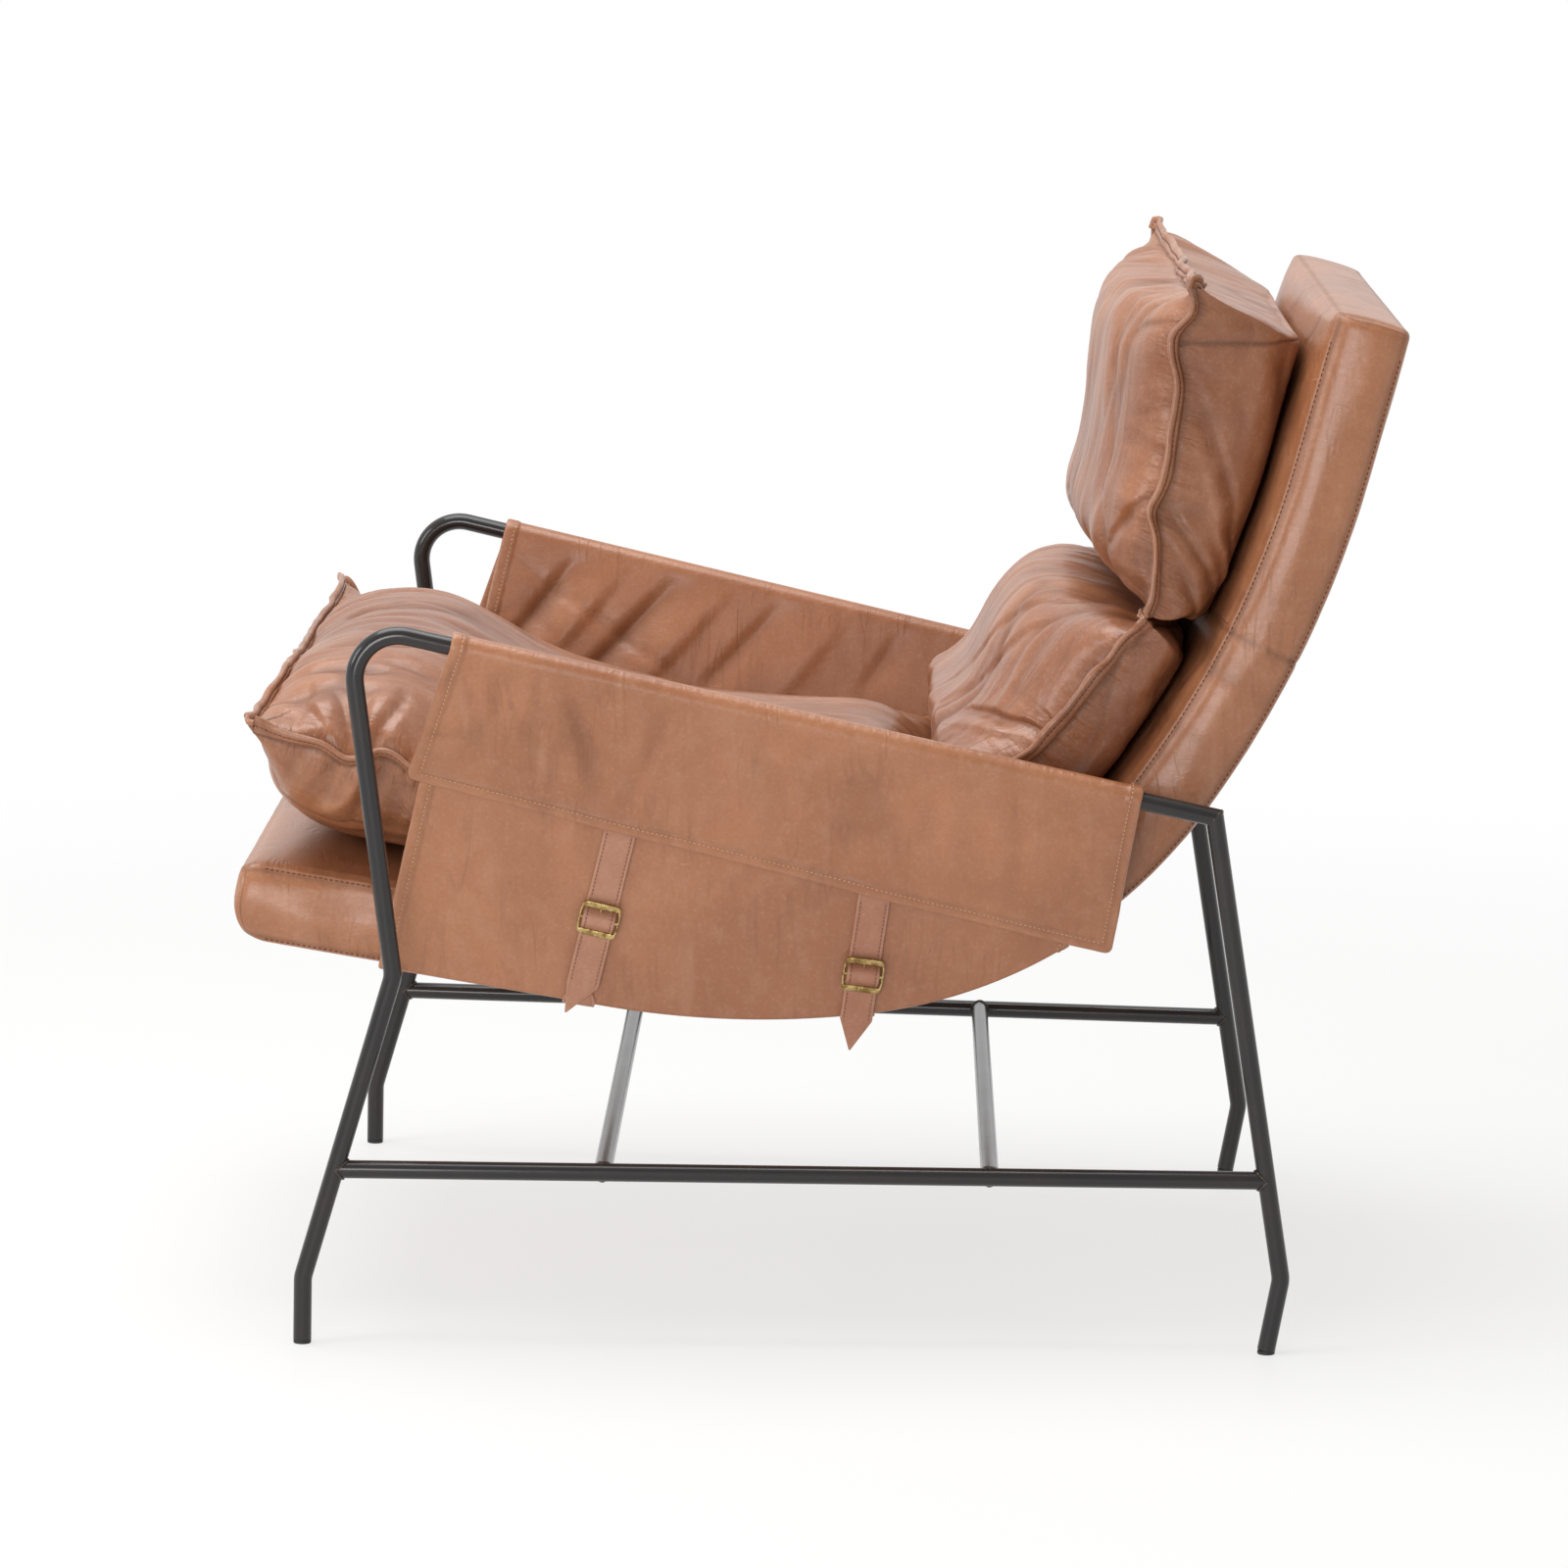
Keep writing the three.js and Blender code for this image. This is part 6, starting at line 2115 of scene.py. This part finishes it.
@dataclass
class Cushion:
    """A loose cushion with a sewn flange all round, laid on the shell's middle line."""

    name: str
    start: float
    end: float
    half_width: float
    side_draw: float
    end_draw: float
    shares: tuple[float, float]
    seam: tuple[float, ...]
    crown: tuple[float, ...]
    powers: tuple[float, float, float, float]
    zip_place: float
    seed: int
    near_seam: tuple[tuple[float, float], ...]
    tilt: float
    lengthwise: float = 2.2
    gathers: float = 3.0
    far_curl: tuple[float, float] = (0.0, 0.0)
    end_sag: tuple[float, float] = (0.0, 0.0)
    front_sag: float = 0.0
    side_seam: float = 0.0
    folds: tuple[Fold, ...] = ()
    side_folds: tuple[Fold, ...] = ()
    fill: float = 0.6
    flange: float = 11.0
    ears: float = 0.3
    flange_thickness: float = 4.8
    rim_start: float = 0.78
    seam_pinch: tuple[float, float] = (0.45, 0.1)
    stitch_pinch: tuple[float, float] = (0.38, 0.09)
    base: float = 42.8
    rows: int = 190
    columns: int = 200
    flange_steps: tuple[float, ...] = (0.0, 0.12, 0.3, 0.42, 0.5, 0.58, 0.72, 0.9, 1.0)
    stitch_step: int = 4
    cloth_grid: tuple[int, int] = (62, 66)
    cloth_frames: int = 22
    cloth_cap: float = 12.0
    pressure: float = 3.0
    spare: float = 0.06
    kept_swelling: float = 0.55
    stitch: Stitch = Stitch(3.8, 1.45, 0.48, 0.42)

    def axis(self, count: int) -> Pair:
        """Shares from seam to seam, fine at the seams, with the flange's steps beyond.

        Args:
            count: how many shares between the seams.

        Returns:
            The shares, and how far out on the flange each is, from 0 at the seam to 1 at its rim.
        """
        t = np.linspace(-1, 1, count)
        inner = (3 * t - t**3) / 2
        extra = np.array(self.flange_steps[1:])
        out = np.concatenate([extra[::-1], np.zeros(count), extra])
        return np.concatenate([-np.ones(len(extra)), inner, np.ones(len(extra))]), out

    def layout(self) -> Marks:
        """The grid's shares, its places on the flange and the seams' places on the chair."""
        u, fu = self.axis(self.columns)
        v, fv = self.axis(self.rows)
        uu, vv = np.meshgrid(u, v)
        fuu, fvv = np.meshgrid(fu, fv)
        half = self.half_width - self.flange - self.side_draw * (1 - vv**2)
        first = self.start + self.flange * self.shares[0]
        last = self.end - self.flange * self.shares[1]
        along = (first + last) / 2 + vv * (last - first) / 2 - self.end_draw * (1 - uu**2) * vv
        corner = ease(-uu, 0.25, 1.0) * ease(-vv, 0.80, 1.0)
        along = along + self.far_curl[1] * corner
        along = along + self.end_sag[1] * (1 - uu**4) * ease(vv, 0.8, 1.0)
        return {"u": uu, "v": vv, "fu": fuu, "fv": fvv, "x": uu * half, "s": along}

    def seam_height(self, grid: Marks) -> Array:
        """Height of the seam's line everywhere round the cushion.

        Args:
            grid: the cushion's layout.

        Returns:
            The height at each place of the layout.
        """
        u, v = grid["u"], grid["v"]
        place = (v + 1) / 2
        height = spline(self.seam, place)
        near = np.array(self.near_seam)
        lies = np.mean([np.interp(grid["s"] + step, near[:, 0], near[:, 1])
                        for step in (-8, -5, -2, 0, 2, 5, 8)], axis=0) - height
        noise = Noise(self.seed)
        run = self.round_seam(grid, 500)
        edge = np.maximum(np.abs(u), np.abs(v)) ** 6
        side = np.where(np.abs(u) > np.abs(v), np.sign(u) + 2, 5)
        wave = 2.6 * noise.at(run / 58, side * 3) + 1.4 * noise.at(run / 24, side * 3 + 1)
        wave = wave * edge * (1 - 0.7 * ease(u, 0.7, 1.0))
        curl = self.far_curl[0] * ease(-u, 0.3, 1.0) * ease(-v, 0.86, 1.0)
        sag = self.front_sag * (1 - u**4) * ease(-v, 0.7, 1.0)
        back = self.end_sag[0] * (1 - u**4) * ease(v, 0.8, 1.0)
        return height + lies * ease(u, 0.45, 1.0) ** 1.5 + wave + curl + sag + back

    def round_seam(self, grid: Marks, apart: float) -> Array:
        """Distance along the nearest seam, the ends' numbers kept apart from the sides'."""
        return np.where(np.abs(grid["u"]) > np.abs(grid["v"]), grid["s"], grid["x"] + apart)

    def skin(self, grid: Marks, seam: Array, side: float) -> Pair:
        """One side of the casing and flange before it is wrinkled.

        Args:
            grid: the layout, seam: the seam's height, side: 1 above and -1 below.

        Returns:
            The points, and how full each is: 0 at the seam and 1 in the middle.
        """
        u, v, fu, fv = grid["u"], grid["v"], grid["fu"], grid["fv"]
        out = np.maximum(fu, fv)
        crown_power, base_power, end_power, base_end = self.powers
        power, ends = (crown_power, end_power) if side > 0 else (base_power, base_end)
        far = spline(self.crown, (v + 1) / 2) if side > 0 else np.full_like(seam, self.base)
        full = (np.sqrt(np.clip(1 - np.abs(u) ** power, 0, 1))
                * np.sqrt(np.clip(1 - np.abs(v) ** ends, 0, 1)))
        share = np.where(v < 0, *self.shares)
        ears = 1 + self.ears * ease(np.abs(u), 0.94, 1.0) * ease(np.abs(v), 0.94, 1.0)
        long = self.flange * ears * (1 - 0.2 * (fu * fv) ** 2)
        up_side, up_end = math.sin(math.radians(self.tilt)), np.sqrt(1 - share**2)
        rim = np.clip((out - self.rim_start) / (1 - self.rim_start), 0, 1)
        rim = np.sqrt(np.clip(1 - rim**2, 0.03, 1))
        (seam_depth, seam_width), (stitch_depth, stitch_width) = self.seam_pinch, self.stitch_pinch
        pinch = 1 - seam_depth * bell(out, seam_width) - stitch_depth * bell(out - 0.5, stitch_width)
        thick = self.flange_thickness * rim * pinch
        flutter = Noise(self.seed + 1)
        run = self.round_seam(grid, 500)
        wave = out**1.3 * (2.0 * flutter.at(run / 19, 2) + 2.6 * flutter.at(run / 50, 8))
        lean_x = -np.sign(u) * up_side * np.clip(fu / 0.3, 0, 1)
        lean_s = -np.sign(v) * up_end * np.clip(fv / 0.3, 0, 1) * (1 - 0.5 * (fu > 0))
        lean_n = np.sqrt(np.clip(1 - lean_x**2 - lean_s**2, 0.05, 1))
        x = grid["x"] + np.sign(u) * fu * long * math.cos(math.radians(self.tilt))
        s = grid["s"] + np.sign(v) * fv * long * share
        lift = long * np.maximum(fu * up_side, fv * up_end)
        offset = side * thick / 2 + wave
        edge = seam + lift
        height = np.where(out > 0, edge + offset * lean_n, mix(seam + side * thick / 2, far, full))
        x = x + np.where(out > 0, offset * lean_x, 0)
        s = s + np.where(out > 0, offset * lean_s, 0)
        return LINE.at(x, s, height), full

    def faces(self, filling: Sequence[Optional[Array]]) -> tuple[Array, Array, Marks]:
        """The upper and lower skins and their marks.

        Args:
            filling: how far the filling moved each skin's points, if it was simulated.
        """
        grid = self.layout()
        seam = self.seam_height(grid)
        skins, kept = [], []
        steps = len(self.flange_steps) - 1
        body = slice(steps, -steps)
        for side, moved in zip((1.0, -1.0), filling):
            points, full = self.skin(grid, seam, side)
            if moved is not None:
                free = 1.0 if side > 0 else 1 - ease(full, 0.93, 0.99)[body, body, None]
                points[body, body] += moved * free
            normal = grid_normals(points)
            middle = points.shape[0] // 2, points.shape[1] // 2
            up = LINE.at(0.0, grid["s"][middle], 1.0) - LINE.at(0.0, grid["s"][middle], 0.0)
            normal = normal * np.sign(normal[middle] @ up) * side
            rise, *marks = self.wrinkles(points, grid, full, side)
            skins.append(points + normal * rise[..., None])
            kept.append(marks)
        return *skins, by_mark(*kept)

    def wrinkles(self, points: Array, grid: Marks, full: Array,
                 side: float) -> tuple[Array, Array, Array, Array]:
        """Folds, gathers and creases of one skin.

        Args:
            points: the skin's points, grid: its layout, full: 1 in the middle and 0 at the seam.
            side: 1 for the sat-on face, -1 for the base.

        Returns:
            Height outwards of each point, its tone, and places along and off the seams.
        """
        noise = Noise(self.seed + (2 if side > 0 else 3))
        u, v = grid["u"], grid["v"]
        out = np.maximum(grid["fu"], grid["fv"])
        steps = len(self.flange_steps) - 1
        across, down = lengths_along(points, 1), lengths_along(points, 0)
        across = across - across[:, [steps]]
        down = down - down[[steps]]
        near = across[:, [-1 - steps]] - across
        to_side = np.maximum(np.minimum(across, near), 0)
        to_end = np.maximum(np.minimum(down, down[[-1 - steps]] - down), 0)
        body = (out <= 0) * 1.0
        sides = np.exp(-to_side / 30) * (1 - np.exp(-to_side / 5))
        ends = np.exp(-to_end / 45) * (1 - np.exp(-to_end / 5))
        gather = (sides * noise.soft(grid["s"] / 14, np.where(u > 0, 4.2, 9.7) + to_side / 90)
                  + ends * noise.soft(grid["x"] / 16, np.where(v > 0, 2.4, 7.1) + to_end / 110))
        warp = 1.3 * noise.at(across / 170, down / 130)
        drawn = ease(to_side, 20, 90) if side > 0 else 0.5
        long = noise.puffs(across / 34 + warp, down / 190)
        fine = noise.puffs(across / 15 + 2 * warp, down / 120 + 4) * ease(to_side, 10, 60)
        line = noise.creases(across / 34 + warp, down / 110, 0.10, 0.5)
        small = noise.creases(across / 70 + 9, down / 20, 0.10, 0.35) * np.exp(-to_side / 50)
        soft = noise.at(across / 95, down / 80)
        free = ease(np.minimum(to_side, to_end), 0, 14) * body
        lying = 1.0 if side > 0 else 1 - ease(full, 0.93, 0.99)
        folds = sum((fold.at(near, down) for fold in (self.folds if side > 0 else self.side_folds)),
                    np.zeros_like(across))
        height = lying * body * (self.gathers * gather + folds * ease(to_side, 0, 5)
                                 + free * (self.lengthwise * drawn * long + 0.6 * drawn * fine
                                           + 1.2 * line + 1.2 * small + 1.6 * soft))
        sewn = np.zeros_like(across)
        if side < 0 and self.side_seam:
            sewn = -bell(points[..., 2] - self.side_seam, 1.6) * body * ease(np.abs(u), 0.6, 0.8)
        rim = np.maximum(np.abs(u), np.abs(v)) > 0.9995
        tight = bell(out, 0.1) * rim + 0.5 * bell(out - 0.5, 0.1)
        # The tone is painted light from the relief: painted shade in the creases, in the puffs' valleys,
        # in the side seam's groove and in the flange's pinched seam and stitch lines, and lighter and
        # darker with the fine puffs, gathers and folds as they rise and fall; the flange's outer rim is
        # lighter.
        valley = np.minimum(long, 0) * drawn * free
        tone = (0.5 * line + 0.45 * small + 0.28 * valley + 0.10 * free * fine
                + 0.55 * gather * body + 0.07 * folds * body + 0.9 * sewn - 0.55 * tight
                + 0.35 * (out > 0.85))
        off_seam = np.minimum(to_side, to_end) + 40 * (out > 0)
        return height + 1.1 * sewn, tone, self.round_seam(grid, 900), off_seam

    def build(self, bench: Bench, shop: Shop) -> None:
        """Makes the cushion, its stitches and its zip.

        Args:
            bench: makes the pieces.
            shop: takes the finished pieces.
        """
        filling = self.stuffed(bench)
        upper, lower, marks = self.faces(filling)
        casing = bench.two_skins(f"{self.name}_casing", upper, lower, marks)
        shop.deliver(casing, Finish.CASING, self.name, f"{self.name}_cover", f"{self.name}_fill")
        self.sew(shop, upper, lower)
        Zip(self.name, self.zip_place, self.base, self.half_width).build(
            bench, shop, self.name, f"{self.name}_zip")

    def stuffed(self, bench: Bench) -> Pair:
        """Fills a coarse copy of the casing in a cloth simulation.

        Args:
            bench: makes the copy.

        Returns:
            How far each point of the full upper and lower skins moves.
        """
        coarse = replace(self, rows=self.cloth_grid[0], columns=self.cloth_grid[1])
        grid = coarse.layout()
        seam = coarse.seam_height(grid)
        steps = len(self.flange_steps) - 1
        upper, lower = (coarse.skin(grid, seam, side)[0][steps:-steps, steps:-steps]
                        for side in (1.0, -1.0))
        held = np.zeros(upper.shape[:2])
        held[[0, -1]] = held[:, [0, -1]] = 1.0
        cloth = bench.two_skins(f"{self.name}_cloth", upper, lower, {"held": np.stack([held, held])})
        rest = bench.vertices(cloth)
        fixed = np.empty(len(rest))
        cloth.data.attributes["held"].data.foreach_get("value", fixed)
        group = cloth.vertex_groups.new(name="held")
        group.add(np.flatnonzero(fixed > 0.5).tolist(), 1.0, "REPLACE")
        self.press(bench, cloth)
        moved = (bench.vertices(cloth) - rest) / MM
        size = np.linalg.norm(moved, axis=1, keepdims=True)
        moved = moved * self.cloth_cap * np.tanh(size / self.cloth_cap) / np.maximum(size, 1e-6)
        log.info("%s filled: moved %.1f mm at most", self.name, float(size.max()))
        spread = []
        for points in (upper, lower):
            nearest = self.matched(rest, bench.metres(points.reshape(-1, 3)))
            field = moved[nearest].reshape(points.shape)
            field = self.kept_swelling * (self.blurred(field, 2) - 0.8 * self.blurred(field, 40))
            spread.append(self.refined(field, (self.rows, self.columns)))
        bpy.data.objects.remove(cloth)
        return spread[0], spread[1]

    def press(self, bench: Bench, cloth: Object) -> None:
        """Blows the held cloth up by pressure and keeps the shape it takes.

        Args:
            bench: picks the cloth.
            cloth: the coarse casing, with its held edge.
        """
        bench.pick(cloth)
        press = cloth.modifiers.new("filling", "CLOTH")
        settings = press.settings
        settings.vertex_group_mass = "held"
        settings.use_pressure = True
        settings.uniform_pressure_force = self.pressure
        settings.shrink_min = settings.shrink_max = -self.spare
        settings.bending_stiffness = 0.3
        settings.quality = 7
        settings.effector_weights.gravity = 0.0
        for number in range(1, self.cloth_frames + 1):
            bpy.context.scene.frame_set(number)
        bpy.ops.object.modifier_apply(modifier=press.name)
        bpy.context.scene.frame_set(1)

    @staticmethod
    def matched(points: Array, wanted: Array) -> Array:
        """The index of the point nearest to each wanted place.

        Args:
            points: those to choose from.
            wanted: the places.

        Returns:
            An index for each place.
        """
        tree = KDTree(len(points))
        for index, point in enumerate(points):
            tree.insert(point, index)
        tree.balance()
        return np.array([tree.find(place)[1] for place in wanted])

    @staticmethod
    def blurred(field: Array, times: int) -> Array:
        """A field spread over its neighbours a number of times.

        Args:
            field: a grid of vectors.
            times: how often.

        Returns:
            The smoother field.
        """
        for _ in range(times):
            across = np.pad(field, ((0, 0), (1, 1), (0, 0)), "edge")
            field = (across[:, :-2] + 2 * field + across[:, 2:]) / 4
            down = np.pad(field, ((1, 1), (0, 0), (0, 0)), "edge")
            field = (down[:-2] + 2 * field + down[2:]) / 4
        return field

    @staticmethod
    def refined(field: Array, size: tuple[int, int]) -> Array:
        """A coarse field of vectors on a finer grid, smoothly.

        Args:
            field: a grid of vectors.
            size: rows and columns wanted.

        Returns:
            The finer field.
        """
        rows = np.linspace(0, 1, size[0])
        columns = np.linspace(0, 1, size[1])
        tall = np.stack([np.stack([spline(field[:, j, k], rows) for j in range(field.shape[1])], 1)
                         for k in range(3)], -1)
        return np.stack([np.stack([spline(tall[i, :, k], columns) for i in range(size[0])], 0)
                         for k in range(3)], -1)

    def sew(self, shop: Shop, upper: Array, lower: Array) -> None:
        """Sews the flange, both faces of it.

        Args:
            shop: takes the finished pieces.
            upper: points of the upper skin.
            lower: points of the lower skin.
        """
        runs = []
        index = self.stitch_step
        inner = slice(index, -index)
        middle = upper.shape[0] // 2, upper.shape[1] // 2
        away = unit(upper[middle] - lower[middle])
        for skin, sign in ((upper, 1.0), (lower, -1.0)):
            normal = grid_normals(skin)
            normal = normal * np.sign(normal[middle] @ away) * sign
            for line in (index, -1 - index):
                runs.append((skin[line, inner], normal[line, inner]))
            for line in (index, -1 - index):
                runs.append((skin[inner, line], normal[inner, line]))
        shop.stitches(f"{self.name}_stitches", runs, Finish.DARK_THREAD, self.name, self.stitch)


# Floor, lamps and camera


@dataclass
class Studio:
    """Pale floor, soft lamps and the camera."""

    eye: Triple = (5.54087, 0.04468, 1.24695)
    right: Triple = (-0.016303, 0.999655, 0.020581)
    up: Triple = (-0.153719, -0.022845, 0.987851)
    ahead: Triple = (-0.987980, -0.012941, -0.154038)
    focal_pixels: float = 7060.98
    image_pixels: float = 1600.0
    sensor: float = 36.0

    def camera(self) -> None:
        """The photograph's viewpoint."""
        data = bpy.data.cameras.new("camera")
        data.sensor_width = self.sensor
        data.lens = self.focal_pixels * self.sensor / self.image_pixels
        data.clip_end = 200.0
        camera = bpy.data.objects.new("camera", data)
        turn = Matrix((self.right, self.up, [-part for part in self.ahead])).transposed()
        camera.matrix_world = Matrix.Translation(self.eye) @ turn.to_4x4()
        bpy.context.collection.objects.link(camera)
        bpy.context.scene.camera = camera

    def lamp(self, name: str, spot: Sequence[float], target: Sequence[float], size: float,
             watts: float) -> None:
        """A square soft lamp that points at a target.

        Args:
            name: the lamp's name.
            spot: where it hangs.
            target: what it points at.
            size: its side.
            watts: its power.
        """
        data = bpy.data.lights.new(name, "AREA")
        data.shape = "SQUARE"
        data.size = size
        data.energy = watts
        lamp = bpy.data.objects.new(name, data)
        lamp.location = spot
        heading = Vector(target) - Vector(spot)
        lamp.rotation_euler = heading.to_track_quat("-Z", "Y").to_euler()
        bpy.context.collection.objects.link(lamp)

    def floor(self) -> None:
        """A white floor that keeps the chair's shadow."""
        bpy.ops.object.select_all(action="DESELECT")
        bpy.ops.mesh.primitive_plane_add(size=160.0, location=(0, 0, 0))
        floor = bpy.context.object
        floor.name = "floor"
        g = Graph("white_floor")
        seen = (g.ray("Camera") + g.ray("Glossy") + g.ray("Transmission")).clipped()
        far = g.make("ShaderNodeVectorMath", {"operation": "LENGTH"}, {"Vector": g.place()}, "Value")
        white = far.step(1.0, 2.6) * 0.34 + 0.66
        lit = g.make("ShaderNodeBsdfPrincipled", {}, {
            "Base Color": srgb(238, 238, 237), "Roughness": 0.55}, "BSDF")
        glow = g.make("ShaderNodeEmission", {}, {"Color": (1.0, 1.0, 1.0), "Strength": 1.0})
        floor.data.materials.append(g.close(g.make("ShaderNodeMixShader", {}, {
            "Fac": seen * white, "Shader": lit, "Shader_001": glow})))

    def world(self) -> None:
        """White where the camera looks, and plain soft light from all round."""
        g = Graph("studio", world=True)
        place = g.make("ShaderNodeTexCoord", {}, {}, "Generated")
        across = g.make("ShaderNodeSeparateXYZ", {}, {"Vector": place}, "X")
        from_right = g.make("ShaderNodeMapRange", {}, {
            "Value": across, "From Min": 0.75, "From Max": -0.1, "To Min": 0.0, "To Max": 1.0},
            "Result")
        shown = (g.ray("Glossy") * from_right
                 + g.maths("MAXIMUM", g.ray("Camera"), g.ray("Transmission")))
        room = g.make("ShaderNodeBackground", {}, {"Color": (1.0, 0.99, 0.98), "Strength": 0.43})
        white = g.make("ShaderNodeBackground", {}, {"Color": (1.0, 1.0, 1.0)})
        bpy.context.scene.world = g.close(g.make("ShaderNodeMixShader", {}, {
            "Fac": shown, "Shader": room, "Shader_001": white}))

    def build(self) -> None:
        """Sets the room up."""
        self.floor()
        self.world()
        self.camera()
        self.lamp("overhead", (0.0, -0.6, 3.4), (0, 0, 0.4), size=2.4, watts=92)
        self.lamp("front", (1.6, -3.2, 1.7), (0, 0, 0.5), size=1.2, watts=30)
        self.lamp("low_side", (3.6, -0.7, 0.8), (0, 0, 0.4), size=1.1, watts=38)
        bpy.context.scene.view_settings.view_transform = "Standard"


# The whole chair


def straps() -> list[Strap]:
    """The front and rear straps."""
    return [Strap("front", seam=274.0, rise=71.0, tail=83.0, lean=0.22, tip=Tip.SLANTED),
            Strap("rear", seam=481.0, rise=34.0, tail=65.0, lean=0.11, tip=Tip.EVEN)]


def cushions() -> list[Cushion]:
    """The three loose cushions."""
    return [
        Cushion("seat_cushion", start=-12, end=596, half_width=312, side_draw=9, end_draw=14,
                shares=(0.5, 0.3), seam=(147, 134, 124, 116, 108, 98, 88),
                crown=(211, 213, 176, 164, 163, 159, 160), powers=(2.6, 4.5, 5, 12),
                zip_place=420, seed=101, near_seam=(
                (-14, 136), (2, 133), (28, 131), (47, 130), (57, 125), (66, 119), (76, 121),
                 (87, 131), (100, 132), (109, 127), (121, 118), (160, 117), (300, 112), (600, 88)),
                tilt=42.0, far_curl=(22.0, 16.0), front_sag=9.0,
                folds=(Fold((4, 84), (52, 66), -4.5, 6), Fold((4, 96), (60, 118), -4.5, 7),
                       Fold((8, 90), (60, 92), 3.0, 9), Fold((4, 30), (60, 40), -2.5, 9),
                       Fold((4, 60), (44, 34), -3.0, 7), Fold((90, 20), (110, 150), -2.5, 9),
                       Fold((150, 14), (160, 190), -3.0, 10), Fold((210, 12), (205, 160), -2.5, 9),
                       Fold((270, 16), (290, 210), -3.0, 10), Fold((340, 14), (330, 150), -2.5, 9),
                       Fold((400, 14), (420, 190), -2.5, 10)),
                side_folds=(Fold((4, 70), (50, 84), -4.5, 7), Fold((4, 92), (52, 92), 3.0, 8),
                            Fold((4, 110), (60, 120), -4.5, 8), Fold((6, 40), (50, 52), -2.5, 9),
                            Fold((10, 130), (70, 150), -3.0, 9))),
        Cushion("lumbar_cushion", start=606, end=883, half_width=300, side_draw=9, end_draw=2,
                shares=(0.3, 0.5), seam=(112, 108, 100, 92, 82, 66, 54),
                crown=(186, 165, 163, 168, 173, 172, 168), powers=(2.6, 18, 6, 30),
                zip_place=700, seed=202, near_seam=(
                (606, 112), (660, 106), (719, 98), (752, 98), (782, 96), (814, 94), (845, 92),
                 (862, 90), (882, 80)),
                tilt=58.0, lengthwise=1.6, gathers=2.2,
                folds=(Fold((4, 92), (110, 70), -5.0, 7), Fold((10, 80), (90, 52), 2.5, 10),
                       Fold((60, 230), (170, 60), -3.0, 9), Fold((90, 240), (230, 80), -2.5, 8))),
        Cushion("head_cushion", start=881, end=1166, half_width=294, side_draw=8, end_draw=2,
                shares=(0.5, 1.0), seam=(72, 88, 104, 118, 127, 136, 145),
                crown=(160, 168, 172, 178, 184, 188, 181), powers=(2.6, 14, 9, 26),
                zip_place=960, seed=303, near_seam=(
                (880, 86), (900, 86), (945, 103), (958, 110), (969, 118), (985, 116),
                 (1003, 114), (1043, 120), (1082, 125), (1103, 137), (1120, 141), (1132, 131),
                 (1147, 132), (1167, 148)),
                tilt=34.0, lengthwise=1.9, ears=0.1, end_sag=(-13.0, -12.0), side_seam=773.0,
                folds=(Fold((4, 92), (56, 70), -4.0, 7), Fold((4, 230), (60, 236), -3.0, 7),
                       Fold((70, 40), (120, 300), -3.0, 9), Fold((110, 60), (150, 320), 2.5, 11)),
                side_folds=(Fold((6, 92), (60, 60), -3.5, 8), Fold((8, 190), (80, 90), -3.0, 10),
                            Fold((10, 60), (50, 30), -3.0, 8), Fold((20, 140), (90, 50), 3.0, 12))),
    ]


def main() -> None:
    """Builds the room and every piece of the chair."""
    logging.basicConfig(level=logging.INFO, format="%(message)s", stream=sys.stdout)
    Studio().build()
    bench = Bench()
    shop = Shop(bench)
    SideFrame().build(bench, shop)
    Shell().build(bench, shop)
    pair = straps()
    Sling().build(bench, shop, np.array([strap.share for strap in pair]))
    for strap in pair:
        for label, side in SIDES.items():
            strap.build(bench, shop, label, side)
    for cushion in cushions():
        cushion.build(bench, shop)


if __name__ == "__main__":
    main()
